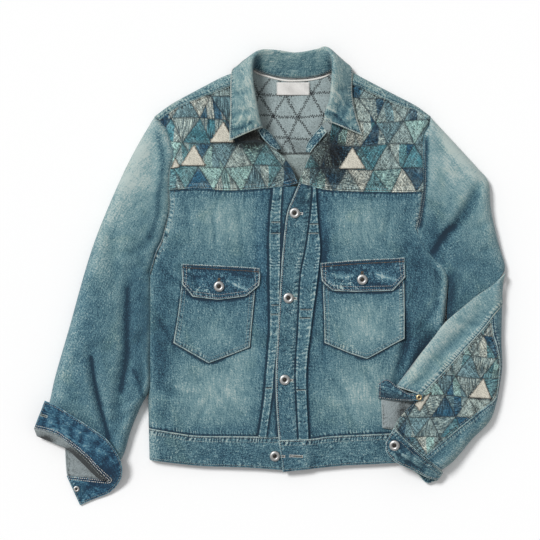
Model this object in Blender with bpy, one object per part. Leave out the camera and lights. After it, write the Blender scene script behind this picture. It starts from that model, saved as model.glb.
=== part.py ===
"""Patched work jacket of worn denim, laid flat and front up, cut and sewn piece by piece.

Metres, +Z up, +Y to the collar and +X to the wearer's left. The jacket lies on the plane z = 0.
The tables below are in millimetres on the same axes. Each seam line is written once, and the pieces
on both sides of it are worked out from it. Each cloth piece is a wall about its middle surface.
"""
from collections import namedtuple
from math import cos, pi, radians, sin

import bpy
import numpy as np
from mathutils import Vector

# ---------------------------------------------------------------- driving sizes (mm)
MM = 0.001
MIDDLE = (-0.14, 0.47)       # middle of the laid outline, which goes over the origin
DENIM = 1.2                 # wall of one layer of denim
BAND = 2.0                  # wall of the doubled waistband and cuffs
COLLAR = 2.2                # wall of the doubled collar
TRIM = 0.8                  # wall of tape, label and patches
SEAM = 0.25                 # each piece stops this far short of a shared seam line
STACK = 1.9                 # between the middles of two layers that lie on each other
FLOOR = DENIM / 2           # middle of a layer that lies on the floor
HIP = 7.0                   # height of the fold line along a side edge
BUTTON = 8.6                # radius of a jacket button
RIVET = 5.0                 # radius of the small rivet at the cuff opening


def rows(names, *values):
    """Short table with named columns."""
    row = namedtuple("Row", names)
    return [row(*value) for value in values]


# ---------------------------------------------------------------- outlines, from hem to shoulder
# z is the height of the edge line, reach is how far inwards the roll beside it runs
RIGHT_SIDE = rows(
    "x y z reach",
    (-196, -298, 6, 10), (-197, -260, 7, 10), (-198, -195, HIP, 10), (-198, -100, HIP, 10),
    (-198, -20, HIP, 10), (-198, 5, 9, 12))
RIGHT_ARMHOLE = rows(
    "x y z reach",
    (-198, 5, 9, 12), (-187, 41, 13, 14), (-177, 61, 15, 14), (-166, 100, 19, 14),
    (-164, 120, 20, 14), (-165, 141, 20, 14), (-164, 170, 20, 14), (-158, 200, 19, 14),
    (-161, 215, 18, 14), (-168, 238, 15, 14), (-178, 252, 12, 12), (-189, 262, 7, 10))
LEFT_SIDE = rows(
    "x y z reach",
    (288, -298, 6, 10), (288, -247, HIP, 10), (287, -150, HIP, 10), (286, -72, HIP, 10),
    (289, -30, HIP, 10), (290, 0, HIP, 10), (280, 20, 8, 10), (263, 36, 9, 11), (250, 55, 11, 12),
    (240, 80, 14, 14))
LEFT_ARMHOLE = rows(
    "x y z reach",
    (240, 80, 14, 14), (244, 100, 16, 14), (250, 139, 20, 14), (251, 160, 20, 14),
    (249, 200, 18, 14), (249, 220, 16, 14), (252, 235, 14, 14), (258, 246, 11, 12),
    (262, 262, 7, 10))
RIGHT_SHOULDER_FOLD = rows(
    "x y z reach",
    (-189, 262, 7, 10), (-160, 283, 6, 16), (-120, 305, 6, 16), (-80, 326, 6, 16),
    (-62, 333, 6, 16))
LEFT_SHOULDER_FOLD = rows(
    "x y z reach",
    (262, 262, 7, 10), (240, 279, 6, 16), (200, 300, 6, 16), (160, 321, 6, 16), (134, 335, 6, 16))

# ---------------------------------------------------------------- seam lines on the front
RIGHT_WAIST = rows("x y", (-198, -247), (-150, -255), (-120, -259), (-60, -260), (49, -261))
LEFT_WAIST = rows("x y", (14, -266), (70, -264), (100, -260), (185, -256), (288, -252))
RIGHT_YOKE_HEM = rows("x y", (-165, 141), (-120, 144), (-60, 141), (20, 147), (46, 153))
LEFT_YOKE_HEM = rows("x y", (46, 153), (60, 150), (100, 141), (200, 138), (250, 139))
RIGHT_SHOULDER = rows("x y", (-174, 258), (-150, 277), (-110, 294), (-65, 312), (-31, 324))
LEFT_SHOULDER = rows("x y", (105, 330), (140, 313), (200, 285), (240, 271), (256, 258))
RIGHT_NECKLINE = rows(
    "x y", (46, 153), (35, 178), (20, 198), (0, 212), (-15, 225), (-22, 240), (-24, 262),
    (-31, 324))
LEFT_NECKLINE = rows(
    "x y", (46, 153), (57, 180), (70, 205), (85, 222), (96, 236), (102, 262), (105, 330))
RIGHT_PLEAT_OUTER = rows(
    "x y", (-20, -260), (-11, -200), (-4, -120), (-1, -80), (-2, 0), (-2, 80), (4, 145))
RIGHT_PLEAT_INNER = rows(
    "x y", (-5, -260), (5, -190), (7, -160), (13, -100), (17, 0), (18, 90), (21, 147))
LEFT_FRONT_EDGE = rows(
    "x y", (13, -266), (9, -200), (9, -140), (17, 0), (20, 40), (27, 100), (38, 130), (47, 152))
LEFT_PLACKET_SEAM = rows(
    "x y", (46, -265), (41, -160), (45, -80), (49, 0), (60, 60), (68, 130), (68, 148))
LEFT_PLEAT_OUTER = rows(
    "x y", (64, -264), (60, -160), (68, -80), (80, 10), (83, 50), (79, 95), (76, 146))

RIGHT_HEM = rows("x y", (42, -314), (18, -315), (-40, -311), (-120, -308), (-196, -299))
LEFT_HEM = rows("x y", (288, -299), (200, -304), (120, -308), (60, -314), (21, -318))
BACK_WAIST = -251.5

# ---------------------------------------------------------------- back of the neck and back yoke
NECK_SEAM = rows(
    "x y", (-62, 333), (-31, 341), (-15, 334.5), (20, 325.5), (45, 324.5), (70, 326.5),
    (90, 331.5), (103, 337), (134, 335))
BACK_YOKE_SEAM = rows("x y", (-153.8, 201), (244.8, 201))

# ---------------------------------------------------------------- sleeve edges, armhole to cuff
RIGHT_SLEEVE_OUTER = rows(
    "x y z reach",
    (-189, 262, 7, 12), (-213, 222, 8, 16), (-236, 178, 8, 18), (-262, 120, 8, 18),
    (-286, 60, 8, 18), (-305, 0, 8, 18), (-327, -80, 8, 18), (-350, -160, 8, 18),
    (-360, -204, 8, 18), (-372, -246, 9, 16))
RIGHT_SLEEVE_INNER = rows(
    "x y z reach",
    (-200.6, 5, 9, 12), (-200.6, -20, 8, 12), (-200.4, -195, 7, 12), (-213, -214, 8, 14),
    (-228, -250, 8, 14), (-243, -296, 8, 14), (-268, -314, 9, 12))
RIGHT_SLEEVE_MOUTH = rows(
    "x y", (-372, -246), (-350, -251), (-325, -267), (-300, -287), (-282, -303), (-268, -314))
RIGHT_SLEEVE_UNDER_END = rows(
    "x y", (-372, -246), (-350, -262), (-336, -277), (-335, -300), (-333, -324), (-300, -325),
    (-276, -322), (-268, -314))
LEFT_SLEEVE_INNER = rows(
    "x y z reach",
    (240, 80, 14, 14), (252, 56, 11, 12), (265.5, 38, 9, 12), (282, 22.5, 8, 12),
    (293, 1, 7, 12), (300, -16, 8, 12), (300, -50, 8, 12), (296, -82, 8, 12))
LEFT_SLEEVE_OUTER = rows(
    "x y z reach",
    (262, 262, 7, 12), (300, 221, 8, 16), (340, 177, 8, 18), (357, 155, 8, 18),
    (361, 110, 8, 18), (372, 60, 8, 18), (383, 22, 8, 16), (383, 10, 8, 14))
LEFT_SLEEVE_END = rows("x y", (296, -82), (328, -49), (348, -32), (366, -13), (383, 10))

# ---------------------------------------------------------------- forearm, folded over at the elbow
FOREARM_FOLD = rows(
    "x y z reach",
    (384, 6, 14, 8), (376, -1, 23, 8), (360, -15, 25, 12), (340, -28, 26, 12), (320, -44, 28, 12),
    (285, -74, 29.5, 12), (265, -100, 30, 12), (245, -125, 29, 12), (228, -150, 28, 12),
    (205, -178, 28, 10))
FOREARM_OUTER = rows(
    "x y z reach",
    (384, 6, 14, 8), (380, -20, 9, 14), (378, -100, 8, 16), (379, -140, 8, 18),
    (375, -175, 8, 18), (362, -230, 8, 18), (330, -265, 8, 18), (300, -300, 10, 16),
    (279, -315, 14, 12))
FELLED_SEAM = rows(
    "x y", (246, -192), (280, -158), (320, -115), (350, -82), (365, -62), (379, -45))
PATCHWORK_OUTER = rows(
    "x y", (370, -188), (374, -145), (370, -118), (362, -90), (360, -69))
PATCHWORK_LOWER = rows("x y", (250, -291), (280, -266), (330, -226), (365, -200), (370, -188))
OPENING_EDGE = rows("x y", (201, -243), (210, -228), (230, -207), (246, -192))
FOREARM_CUFF_SEAM = rows("x y", (201, -243), (215, -258), (230, -272), (250, -291), (279, -315))
FOREARM_UNDER_FOLD = rows("x y", (181, -200), (205, -178), (245, -125), (285, -74))
FOREARM_UNDER_OUTER = rows(
    "x y", (275, -310), (297, -296), (326, -261), (357, -227), (369, -175), (373, -140),
    (371, -100), (365, -50), (354, -22))
FOREARM_UNDER_END = rows(
    "x y", (181, -200), (183, -246), (204, -250), (250, -291), (275, -310))

# ---------------------------------------------------------------- heights of the laid layers
BODY_CROWN = rows(
    "y z", (-320, 11), (-300, 13), (-255, 17), (-200, 22), (-100, 24), (100, 25), (180, 24),
    (240, 22), (320, 18))
BODY_SWELLS = rows(
    "x y reach_x reach_y rise",
    (250, -190, 62, 95, -6), (262, -290, 60, 50, -3), (-110, 60, 70, 90, 2), (150, 80, 70, 60, 2))
RIGHT_SLEEVE_CROWN = rows("y z", (-320, 22), (-240, 25), (-150, 28), (0, 29), (150, 27), (262, 20))
LEFT_SLEEVE_CROWN = rows("y z", (-80, 15), (-40, 17), (0, 20), (60, 25), (150, 26), (262, 20))
FOREARM_CROWN = rows("x z", (200, 35), (250, 35), (300, 31), (340, 27), (385, 26))

# ---------------------------------------------------------------- largest folds
# each fold is a trough along its points: half width and depth at its deepest, fading at both ends
Fold = namedtuple("Fold", "half_width depth path")
BODY_FOLDS = [
    Fold(9, 5, rows("x y", (222, -60), (222, -100), (214, -140), (203, -175))),
    Fold(10, 4, rows("x y", (262, -95), (240, -140), (218, -182))),
    Fold(11, 4, rows("x y", (262, 34), (276, -10), (272, -60))),
]
RIGHT_SLEEVE_FOLDS = [
    Fold(11, 8, rows("x y", (-230, 10), (-234, -60), (-233, -120), (-243, -180), (-252, -250))),
    Fold(8, 8, rows("x y", (-292, -115), (-288, -160), (-278, -205), (-262, -268))),
    Fold(12, 4, rows("x y", (-262, 110), (-256, 40), (-250, -30))),
]
LEFT_SLEEVE_FOLDS = [
    Fold(9, 6, rows("x y", (350, 165), (325, 120), (300, 82), (268, 42))),
    Fold(10, 4, rows("x y", (258, 245), (275, 220), (305, 182))),
]
FOREARM_FOLDS = [
    Fold(10, 4, rows("x y", (255, -150), (300, -105), (345, -60))),
]

# ---------------------------------------------------------------- pockets, cuffs and collar
Sides = namedtuple("Sides", "left bottom right top")
RIGHT_POCKET = Sides(
    rows("x y", (-157, -107), (-148, -50), (-143, -5)),
    rows("x y", (-157, -107), (-140, -117), (-100, -140), (-60, -125), (-33, -114)),
    rows("x y", (-33, -114), (-28, -60), (-23, -6)),
    rows("x y", (-143, -5), (-23, -6)))
LEFT_POCKET = Sides(
    rows("x y", (89, -107), (88, -60), (86, -5)),
    rows("x y", (89, -107), (130, -124), (158, -133), (200, -110), (219, -100)),
    rows("x y", (219, -100), (219, -50), (218, -2)),
    rows("x y", (86, -5), (218, -2)))
RIGHT_FLAP = Sides(
    rows("x y", (-142, -12), (-143, 5), (-144, 22)),
    rows("x y", (-142, -12), (-126, -32), (-83, -37), (-39, -31), (-18, -14)),
    rows("x y", (-18, -14), (-16, 0), (-17, 15)),
    rows("x y", (-144, 22), (-80, 19), (-17, 15)))
LEFT_FLAP = Sides(
    rows("x y", (84, -6), (83, 8), (82, 23)),
    rows("x y", (84, -6), (102, -22), (140, -24), (200, -22), (220, 0)),
    rows("x y", (220, 0), (219, 16), (219, 32)),
    rows("x y", (82, 23), (140, 28), (219, 32)))
# cuff sections: seam edge (sx, sy, sz) and hem edge (hx, hy, hz)
RIGHT_CUFF = rows(
    "sx sy sz hx hy hz",
    (-384, -246, 23, -366, -201, 30), (-350, -255, 27, -345, -210, 33),
    (-325, -272, 25.8, -318, -227, 34), (-300, -293, 25.2, -290, -245, 34),
    (-280, -315, 24, -262, -267, 32), (-268, -327, 20, -243, -300, 25),
    (-264, -331, 14, -243, -328, 16), (-270, -332, 6, -262, -352, 6),
    (-300, -329, 4, -290, -364, 4), (-333, -326, 3, -311, -374, 3))
# inner edge of the facing that turns down from the right cuff's first sections, and its height
RIGHT_FACING = rows(
    "x y z", (-381, -260, 11), (-352, -272, 13), (-331, -281, 18), (-307, -303, 18),
    (-287, -323, 16), (-275, -333, 12))
LEFT_CUFF = rows(
    "sx sy sz hx hy hz",
    (200.9, -244.1, 36, 188, -268, 33), (214.9, -259.1, 35.6, 189, -284, 32),
    (229.9, -273.1, 35.6, 203, -300, 30), (249.9, -292.1, 34, 230, -313, 27),
    (268.8, -307.2, 28, 255, -326, 21), (280.2, -317.6, 18.4, 271, -331, 15),
    (279, -316, 12, 269, -334, 8), (262, -305, 13, 255, -336, 9), (240, -290, 15, 240, -321, 13),
    (215, -272, 17, 215, -300, 16))
# the free end of the left cuff stands up as a fold: near edge, ridge and far edge
LEFT_CUFF_FLAP = rows(
    "x near_y near_z ridge_y ridge_z far_y far_z",
    (176, -197, 25.5, -179, 36, -173, 32), (190, -199, 26, -182, 38, -165, 31),
    (204, -200, 27, -186, 39, -176, 33), (222, -201, 30, -192, 39, -188, 36),
    (236, -200.5, 39, -195, 40.5, -189, 39.5), (248, -200, 39, -194.5, 40.2, -189, 39))
# collar sections: neck seam n, ridge r where it turns, outer edge e
COLLAR_SECTIONS = rows(
    "nx ny nz rx ry rz ex ey ez",
    (-12, 243, 27, -21, 241, 34, -66, 221, 36), (-17, 258, 27, -24, 262, 40, -65, 250, 27),
    (-21, 275, 26, -28, 290, 44, -64, 285, 25), (-26, 300, 24, -32, 318, 44, -64, 312, 22),
    (-29, 333, 14, -32, 345, 38, -62, 336, 14), (-26, 340, 8, -26, 360, 28, -54, 344, 7),
    (-14, 336, 5, -12, 369, 18, -33, 357, 3), (10, 329, 4.5, 15, 369, 14, 8, 340, 1.2),
    (45, 326, 4.5, 42, 366, 12, 42, 335, 1.2), (75, 329, 4.5, 75, 371, 14, 75, 342, 1.2),
    (92, 334, 5, 90, 374, 18, 104, 362, 3), (102, 339, 8, 101, 362, 28, 124, 350, 7),
    (104, 334, 14, 104, 345, 38, 134, 338, 14), (101, 305, 22, 103, 318, 44, 133, 312, 22),
    (97, 280, 26, 101, 290, 44, 135, 285, 25), (91, 262, 27, 95, 268, 38, 142, 256, 27),
    (86, 250, 27, 97, 252, 32, 151, 230, 26))
NECK_FACINGS = {
    "right_neck_facing": (rows("x y", (-20, 240), (-12, 226.5), (2, 213), (11, 207.5)),
                          rows("x y", (-12, 241), (-3, 232), (8, 219), (16, 208))),
    "left_neck_facing": (rows("x y", (93, 236.5), (82, 223.5), (69.5, 208.5), (66, 203)),
                         rows("x y", (87, 245), (75, 229), (64.5, 214), (62, 204))),
}
# cream patches: corners on the patchwork, and the surface that each lies on
CREAM_PATCHES = rows(
    "name corners",
    ("cream_patch_1", ((-146, 181), (-124, 216), (-104, 181))),
    ("cream_patch_2", ((-99, 219), (-76, 254), (-57, 219))),
    ("cream_patch_3", ((112, 176), (134, 212), (156, 176))),
    ("cream_patch_4", ((-161, 176), (-146, 179), (-154, 194))),
    ("cream_patch_5", ((322, -196), (347, -164), (360, -198))),
    ("cream_patch_6", ((262, -186), (234, -206), (243, -218))))
FRONT_BUTTONS = rows(
    "name x y layers", ("button_1", 40, 104, 2), ("button_2", 30, -34, 2), ("button_3", 24, -167, 2),
    ("right_flap_button", -83, -15, 2), ("left_flap_button", 150, -4, 2))


class Curve:
    """Line through the points of a table, read by its share of the length."""

    def __init__(self, points, smooth=True):
        points = np.array([tuple(point) for point in points], dtype=float)
        self.points = self.rounded(points) if smooth and len(points) > 2 else points
        steps = np.linalg.norm(np.diff(self.points[:, :2], axis=0), axis=1)
        self.length = steps.sum()
        self.shares = np.concatenate([[0.0], np.cumsum(steps)]) / self.length

    @staticmethod
    def rounded(points, steps=6):
        """Catmull-Rom points through the given ones."""
        padded = np.vstack([2 * points[0] - points[1], points, 2 * points[-1] - points[-2]])
        line = []
        for a, b, c, d in zip(padded, padded[1:], padded[2:], padded[3:]):
            for t in np.arange(steps) / steps:
                line.append(0.5 * (2 * b + (c - a) * t + (2 * a - 5 * b + 4 * c - d) * t ** 2
                                   + (3 * b - a - 3 * c + d) * t ** 3))
        return np.array(line + [points[-1]])

    def at(self, shares):
        """Points at the given shares of the length."""
        return np.stack([np.interp(shares, self.shares, column) for column in self.points.T], -1)

    def nearest(self, places):
        """Distance to the line, and the line's own row at the nearest point, for each place."""
        flat = places.reshape(-1, 1, 2)
        start, run = self.points[:-1], np.diff(self.points, axis=0)
        along = ((flat - start[:, :2]) * run[:, :2]).sum(-1) / (run[:, :2] ** 2).sum(-1)
        along = np.clip(along, 0, 1)
        gaps = np.linalg.norm(flat - start[:, :2] - along[..., None] * run[:, :2], axis=-1)
        best = gaps.argmin(1)
        index = np.arange(len(best))
        found = start[best] + along[index, best][:, None] * run[best]
        shape = places.shape[:-1]
        return gaps[index, best].reshape(shape), found.reshape(*shape, -1)

    def share_near(self, place):
        """Share of the length at the point of the line nearest to a place."""
        start, run = self.points[:-1, :2], np.diff(self.points[:, :2], axis=0)
        along = np.clip(((place - start) * run).sum(-1) / (run ** 2).sum(-1), 0, 1)
        gaps = np.linalg.norm(place - start - along[:, None] * run, axis=-1)
        best = int(gaps.argmin())
        return self.shares[best] + along[best] * (self.shares[best + 1] - self.shares[best])

    def between(self, first, last):
        """The stretch from the point nearest to first to the point nearest to last."""
        shares = np.linspace(self.share_near(first), self.share_near(last), 40)
        return Curve(self.at(shares), smooth=False)


class Surface:
    """Height of the top layer over the floor: its crown, rolled down at its edges, less its folds."""

    def __init__(self, edges, crown, swells=(), folds=()):
        self.edges = [Curve(edge) for edge in edges]
        self.crown = np.array([tuple(row) for row in crown], dtype=float)
        self.crown_axis = 0 if crown[0]._fields[0] == "x" else 1
        self.swells = swells
        self.folds = [(fold, Curve(fold.path)) for fold in folds]

    def __call__(self, places):
        order = self.crown[:, 0].argsort()
        crown = np.interp(places[..., self.crown_axis], self.crown[order, 0], self.crown[order, 1])
        for swell in self.swells:
            x = (places[..., 0] - swell.x) / swell.reach_x
            y = (places[..., 1] - swell.y) / swell.reach_y
            crown = crown + swell.rise * np.exp(-x * x - y * y)
        height = crown
        for edge in self.edges:
            gap, row = edge.nearest(places)
            rise = np.sqrt(1 - (1 - np.clip(gap / row[..., 3], 0, 1)) ** 2)
            height = np.minimum(height, row[..., 2] + (crown - row[..., 2]) * rise)
        for fold, path in self.folds:
            gap, row = path.nearest(places)
            along = np.linalg.norm(row - path.points[0], axis=-1) / np.linalg.norm(
                path.points[-1] - path.points[0])
            fade = np.sin(pi * np.clip(along * 0.8 + 0.1, 0, 1))
            height = height - fold.depth * fade * np.exp(-(gap / fold.half_width) ** 2)
        return height


def eased(value):
    """Smooth step from 0 to 1."""
    value = np.clip(value, 0, 1)
    return value * value * (3 - 2 * value)


BODY = Surface(
    [RIGHT_SIDE, RIGHT_ARMHOLE, LEFT_SIDE, LEFT_ARMHOLE, RIGHT_SHOULDER_FOLD, LEFT_SHOULDER_FOLD],
    BODY_CROWN, BODY_SWELLS, BODY_FOLDS)
BODY_UNFOLDED = Surface(
    [RIGHT_SIDE, RIGHT_ARMHOLE, LEFT_SIDE, LEFT_ARMHOLE, RIGHT_SHOULDER_FOLD, LEFT_SHOULDER_FOLD],
    BODY_CROWN, BODY_SWELLS)
RIGHT_SLEEVE = Surface(
    [RIGHT_SLEEVE_OUTER, RIGHT_SLEEVE_INNER], RIGHT_SLEEVE_CROWN, folds=RIGHT_SLEEVE_FOLDS)
LEFT_SLEEVE = Surface(
    [LEFT_SLEEVE_OUTER, LEFT_SLEEVE_INNER], LEFT_SLEEVE_CROWN, folds=LEFT_SLEEVE_FOLDS)
FOREARM = Surface([FOREARM_FOLD, FOREARM_OUTER], FOREARM_CROWN, folds=FOREARM_FOLDS)
ELBOW_FOLD = Curve(FOREARM_FOLD).between((384, 6), (285, -74))


def flat(places):
    """Height of a layer that lies on the floor."""
    return np.full(places.shape[:-1], FLOOR)


def under_forearm(places):
    """Height of the forearm's lower layer: over the front, over the upper arm, then on the floor."""
    front_edge = 297
    x, y = places[..., 0], places[..., 1]
    inboard = np.stack([np.minimum(x, front_edge - 24), np.maximum(y, -292)], -1)
    clear = STACK + 1.0 + 1.6 * eased((x - 250) / 20)
    over_front = (BODY_UNFOLDED(inboard) + clear) * (1 - eased((x - front_edge) / 26))
    over_arm = 23.5 * (1 - eased((ELBOW_FOLD.nearest(places)[0] - 10) / 28))
    over_arm = over_arm * eased((x - 240) / 40)
    return np.maximum(np.maximum(over_front, over_arm), FLOOR)


# ---------------------------------------------------------------- making a grid of middle points
def spread(width, cells, near=0.0, far=0.0):
    """Shares across a piece: close together over a rolled edge, even over the rest."""
    roll = [1 - cos(radians(angle)) for angle in (0, 38, 62)]
    start = [near * step for step in roll] if near else [0.0]
    end = [width - far * step for step in roll] if far else [width]
    middle = np.linspace(near, width - far, cells + 1)
    if not near:
        middle = middle[1:]
    if not far:
        middle = middle[:-1]
    return np.concatenate([start, middle, end[::-1]]) / width


def stretched(points, start, end):
    """Points of a side, moved so that its ends meet the given corners."""
    share = np.linspace(0, 1, len(points))[:, None]
    return points + (1 - share) * (start - points[0]) + share * (end - points[-1])


def across(left, right, bottom, top, columns, heights):
    """Places inside four sides, as rows from bottom to top; columns and heights are shares."""
    low, high = bottom.at(columns)[:, :2], top.at(columns)[:, :2]
    side_a = stretched(left.at(heights)[:, :2], low[0], high[0])
    side_b = stretched(right.at(heights)[:, :2], low[-1], high[-1])
    u, v = columns[None, :, None], heights[:, None, None]
    corners = ((1 - u) * (1 - v) * low[0] + u * (1 - v) * low[-1]
               + (1 - u) * v * high[0] + u * v * high[-1])
    return ((1 - u) * side_a[:, None] + u * side_b[:, None]
            + (1 - v) * low[None] + v * high[None] - corners)


def clear_of_body(places, *edges):
    """Places of a sleeve kept outside the body's edge, apart from the row on the armhole."""
    edge = joined(*edges).points
    limit = np.interp(places[1:, :, 1], edge[:, 1], edge[:, 0])
    outside = 1.6 if edge[:, 0].mean() > 0 else -1.6
    keep = np.maximum if outside > 0 else np.minimum
    near = places[1:, :, 1] > -200
    places[1:, :, 0] = np.where(near, keep(places[1:, :, 0], limit + outside), places[1:, :, 0])
    return places


def laid(places, surface, lift=0.0):
    """Grid of points on a surface, moved out from it by lift along its normal."""
    step = 1.0
    x_slope = (surface(places + (step, 0)) - surface(places - (step, 0))) / (2 * step)
    y_slope = (surface(places + (0, step)) - surface(places - (0, step))) / (2 * step)
    normal = np.stack([-x_slope, -y_slope, np.ones_like(x_slope)], -1)
    normal /= np.linalg.norm(normal, axis=-1, keepdims=True)
    points = np.concatenate([places, surface(places)[..., None]], -1)
    if np.ndim(lift):
        lift = np.asarray(lift)[..., None]
    return points + normal * lift


def drawn_in(grid, gap=SEAM, sides="lrbt"):
    """Grid whose border stops short of its seam lines."""
    grid = grid.copy()
    for side, rank in (("b", 0), ("t", -1), ("l", 0), ("r", -1)):
        if side not in sides:
            continue
        lines = grid if side in "bt" else grid.swapaxes(0, 1)
        inner = lines[1] if rank == 0 else lines[-2]
        away = inner - lines[rank]
        lines[rank] += gap * away / np.linalg.norm(away, axis=-1, keepdims=True)
    return grid


def tucked(grid, side, inwards=3.4, height=2.5):
    """Grid with one more line at a side, turned under towards the floor."""
    lines = grid if side in "bt" else grid.swapaxes(0, 1)
    edge, inner = (lines[0], lines[1]) if side in "bl" else (lines[-1], lines[-2])
    away = (inner - edge)[:, :2]
    away /= np.linalg.norm(away, axis=-1, keepdims=True)
    under = np.concatenate([edge[:, :2] + away * inwards, np.full((len(edge), 1), height)], -1)
    parts = [under[None], lines] if side in "bl" else [lines, under[None]]
    lines = np.concatenate(parts)
    return lines if side in "bt" else lines.swapaxes(0, 1)


def sections(table, steps, across_steps):
    """Grid from a table of cross sections, smooth along the piece; each section is a few points."""
    table = np.array([tuple(row) for row in table], dtype=float)
    count = table.shape[1] // 3
    lines = []
    places = np.linspace(0, len(table) - 1, steps)
    for part in range(count):
        line = Curve.rounded(table[:, 3 * part:3 * part + 3], steps=8)
        marks = np.arange(len(line)) / 8
        lines.append(np.stack([np.interp(places, marks, column) for column in line.T], -1))
    shares = np.linspace(0, count - 1, across_steps + 1)
    grid = np.empty((steps, across_steps + 1, 3))
    for index, share in enumerate(shares):
        first = min(int(share), count - 2)
        grid[:, index] = lines[first] + (lines[first + 1] - lines[first]) * (share - first)
    return grid


# ---------------------------------------------------------------- making objects
def material(name, colour, roughness=0.9, metallic=0.0):
    """Principled finish of one colour."""
    made = bpy.data.materials.new(name)
    made.use_nodes = True
    shader = made.node_tree.nodes["Principled BSDF"]
    shader.inputs["Base Color"].default_value = (*colour, 1.0)
    shader.inputs["Roughness"].default_value = roughness
    shader.inputs["Metallic"].default_value = metallic
    return made


def add(name, points, faces, finish, wall=0.0):
    """One named object; a wall turns an open sheet into cloth of that thickness."""
    points = (np.asarray(points) - (*MIDDLE, 0)) * MM
    mesh = bpy.data.meshes.new(name)
    mesh.from_pydata([tuple(point) for point in points], [], faces)
    mesh.materials.append(finish)
    thing = bpy.data.objects.new(name, mesh)
    bpy.context.collection.objects.link(thing)
    if wall:
        shell = thing.modifiers.new("wall", "SOLIDIFY")
        shell.thickness = wall * MM
        shell.offset = 0
        shell.use_even_offset = False
    mesh.shade_smooth()
    return thing


def grid_faces(height, width, first=0, ring=False):
    """Faces of a grid of height rows by width columns; a ring also joins its last and first column."""
    columns = width if ring else width - 1
    return [(first + r * width + c, first + r * width + (c + 1) % width,
             first + (r + 1) * width + (c + 1) % width, first + (r + 1) * width + c)
            for r in range(height - 1) for c in range(columns)]


def sheet(name, grid, finish, wall=DENIM):
    """Cloth piece from one grid of middle points."""
    height, width = grid.shape[:2]
    return add(name, grid.reshape(-1, 3), grid_faces(height, width), finish, wall)


def tube(name, top, under, finish, wall=DENIM):
    """Cloth tube from a top grid and an under grid that share their first and last columns."""
    ring = np.concatenate([top, under[:, -2:0:-1]], 1)
    height, width = ring.shape[:2]
    return add(name, ring.reshape(-1, 3), grid_faces(height, width, ring=True), finish, wall)


def turned(name, profile, place, normal, finish, sides=10):
    """Round piece turned from a profile of (radius, height) rows, closed at both ends."""
    turn = Vector((0, 0, 1)).rotation_difference(Vector(normal).normalized())
    points = []
    for radius, height in profile:
        for side in range(sides):
            angle = 2 * pi * side / sides
            points.append(turn @ Vector((radius * cos(angle), radius * sin(angle), height)))
    faces = grid_faces(len(profile), sides, ring=True)
    faces.append(tuple(reversed(range(sides))))
    last = (len(profile) - 1) * sides
    faces.append(tuple(range(last, last + sides)))
    return add(name, [point + Vector(place) for point in points], faces, finish)


def joined(*tables):
    """One smooth line through tables that follow each other; shared points are written once."""
    points = []
    for table in tables:
        for row in table:
            if not points or tuple(row) != tuple(points[-1]):
                points.append(row)
    return Curve(points)


FINISH = {
    "denim": material("denim", (0.12, 0.22, 0.28)),
    "denim_pale": material("denim_pale", (0.30, 0.40, 0.40)),
    "denim_dark": material("denim_dark", (0.05, 0.14, 0.22)),
    "denim_inside": material("denim_inside", (0.38, 0.41, 0.41)),
    "patchwork": material("patchwork", (0.14, 0.28, 0.33)),
    "cream": material("cream", (0.62, 0.57, 0.47)),
    "silver": material("silver", (0.55, 0.54, 0.52), 0.35, 1.0),
    "brass": material("brass", (0.60, 0.50, 0.32), 0.4, 1.0),
}


# ---------------------------------------------------------------- the body
def make_fronts():
    """Fronts: from side fold and armhole to the pleats, between the waist seam and the yoke."""
    rows_up = np.linspace(0, 1, 13)
    right = Curve(RIGHT_PLEAT_OUTER)
    right.points = right.points + (6, 0)
    side = joined(RIGHT_SIDE, RIGHT_ARMHOLE).between((-198, -247), (-165, 141))
    bottom = Curve(RIGHT_WAIST).between((-198, -247), (-14, -260))
    top = Curve(RIGHT_YOKE_HEM).between((-165, 141), (10, 146))
    places = across(side, right, bottom, top, spread(185, 5, near=12), rows_up)
    sheet("right_front", tucked(drawn_in(laid(places, BODY)), "l"), FINISH["denim"])

    left = Curve(LEFT_PLEAT_OUTER)
    left.points = left.points - (8, 0)
    side = joined(LEFT_SIDE, LEFT_ARMHOLE).between((288, -252), (250, 139))
    bottom = Curve(LEFT_WAIST).between((56, -264.5), (288, -252))
    top = Curve(LEFT_YOKE_HEM).between((68, 148), (250, 139))
    armpit = side.share_near((240, 80))
    rows_up = np.concatenate([np.linspace(0, armpit, 10), np.linspace(armpit, 1, 4)[1:]])
    places = across(left, side, bottom, top, spread(205, 6, far=12), rows_up)
    sheet("left_front", tucked(drawn_in(laid(places, BODY)), "r"), FINISH["denim"])


def make_yokes():
    """Front yokes of patchwork, between armhole, shoulder seam, neckline and yoke hem."""
    heights = np.linspace(0, 1, 8)
    side = joined(RIGHT_SIDE, RIGHT_ARMHOLE).between((-165, 141), (-174, 258))
    places = across(side, Curve(RIGHT_NECKLINE), Curve(RIGHT_YOKE_HEM), Curve(RIGHT_SHOULDER),
                    spread(170, 7, near=12), heights)
    sheet("right_yoke", drawn_in(laid(places, BODY)), FINISH["patchwork"])
    side = joined(LEFT_SIDE, LEFT_ARMHOLE).between((250, 139), (256, 258))
    places = across(Curve(LEFT_NECKLINE), side, Curve(LEFT_YOKE_HEM), Curve(LEFT_SHOULDER),
                    spread(180, 7, far=12), heights)
    sheet("left_yoke", drawn_in(laid(places, BODY)), FINISH["patchwork"])


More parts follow.
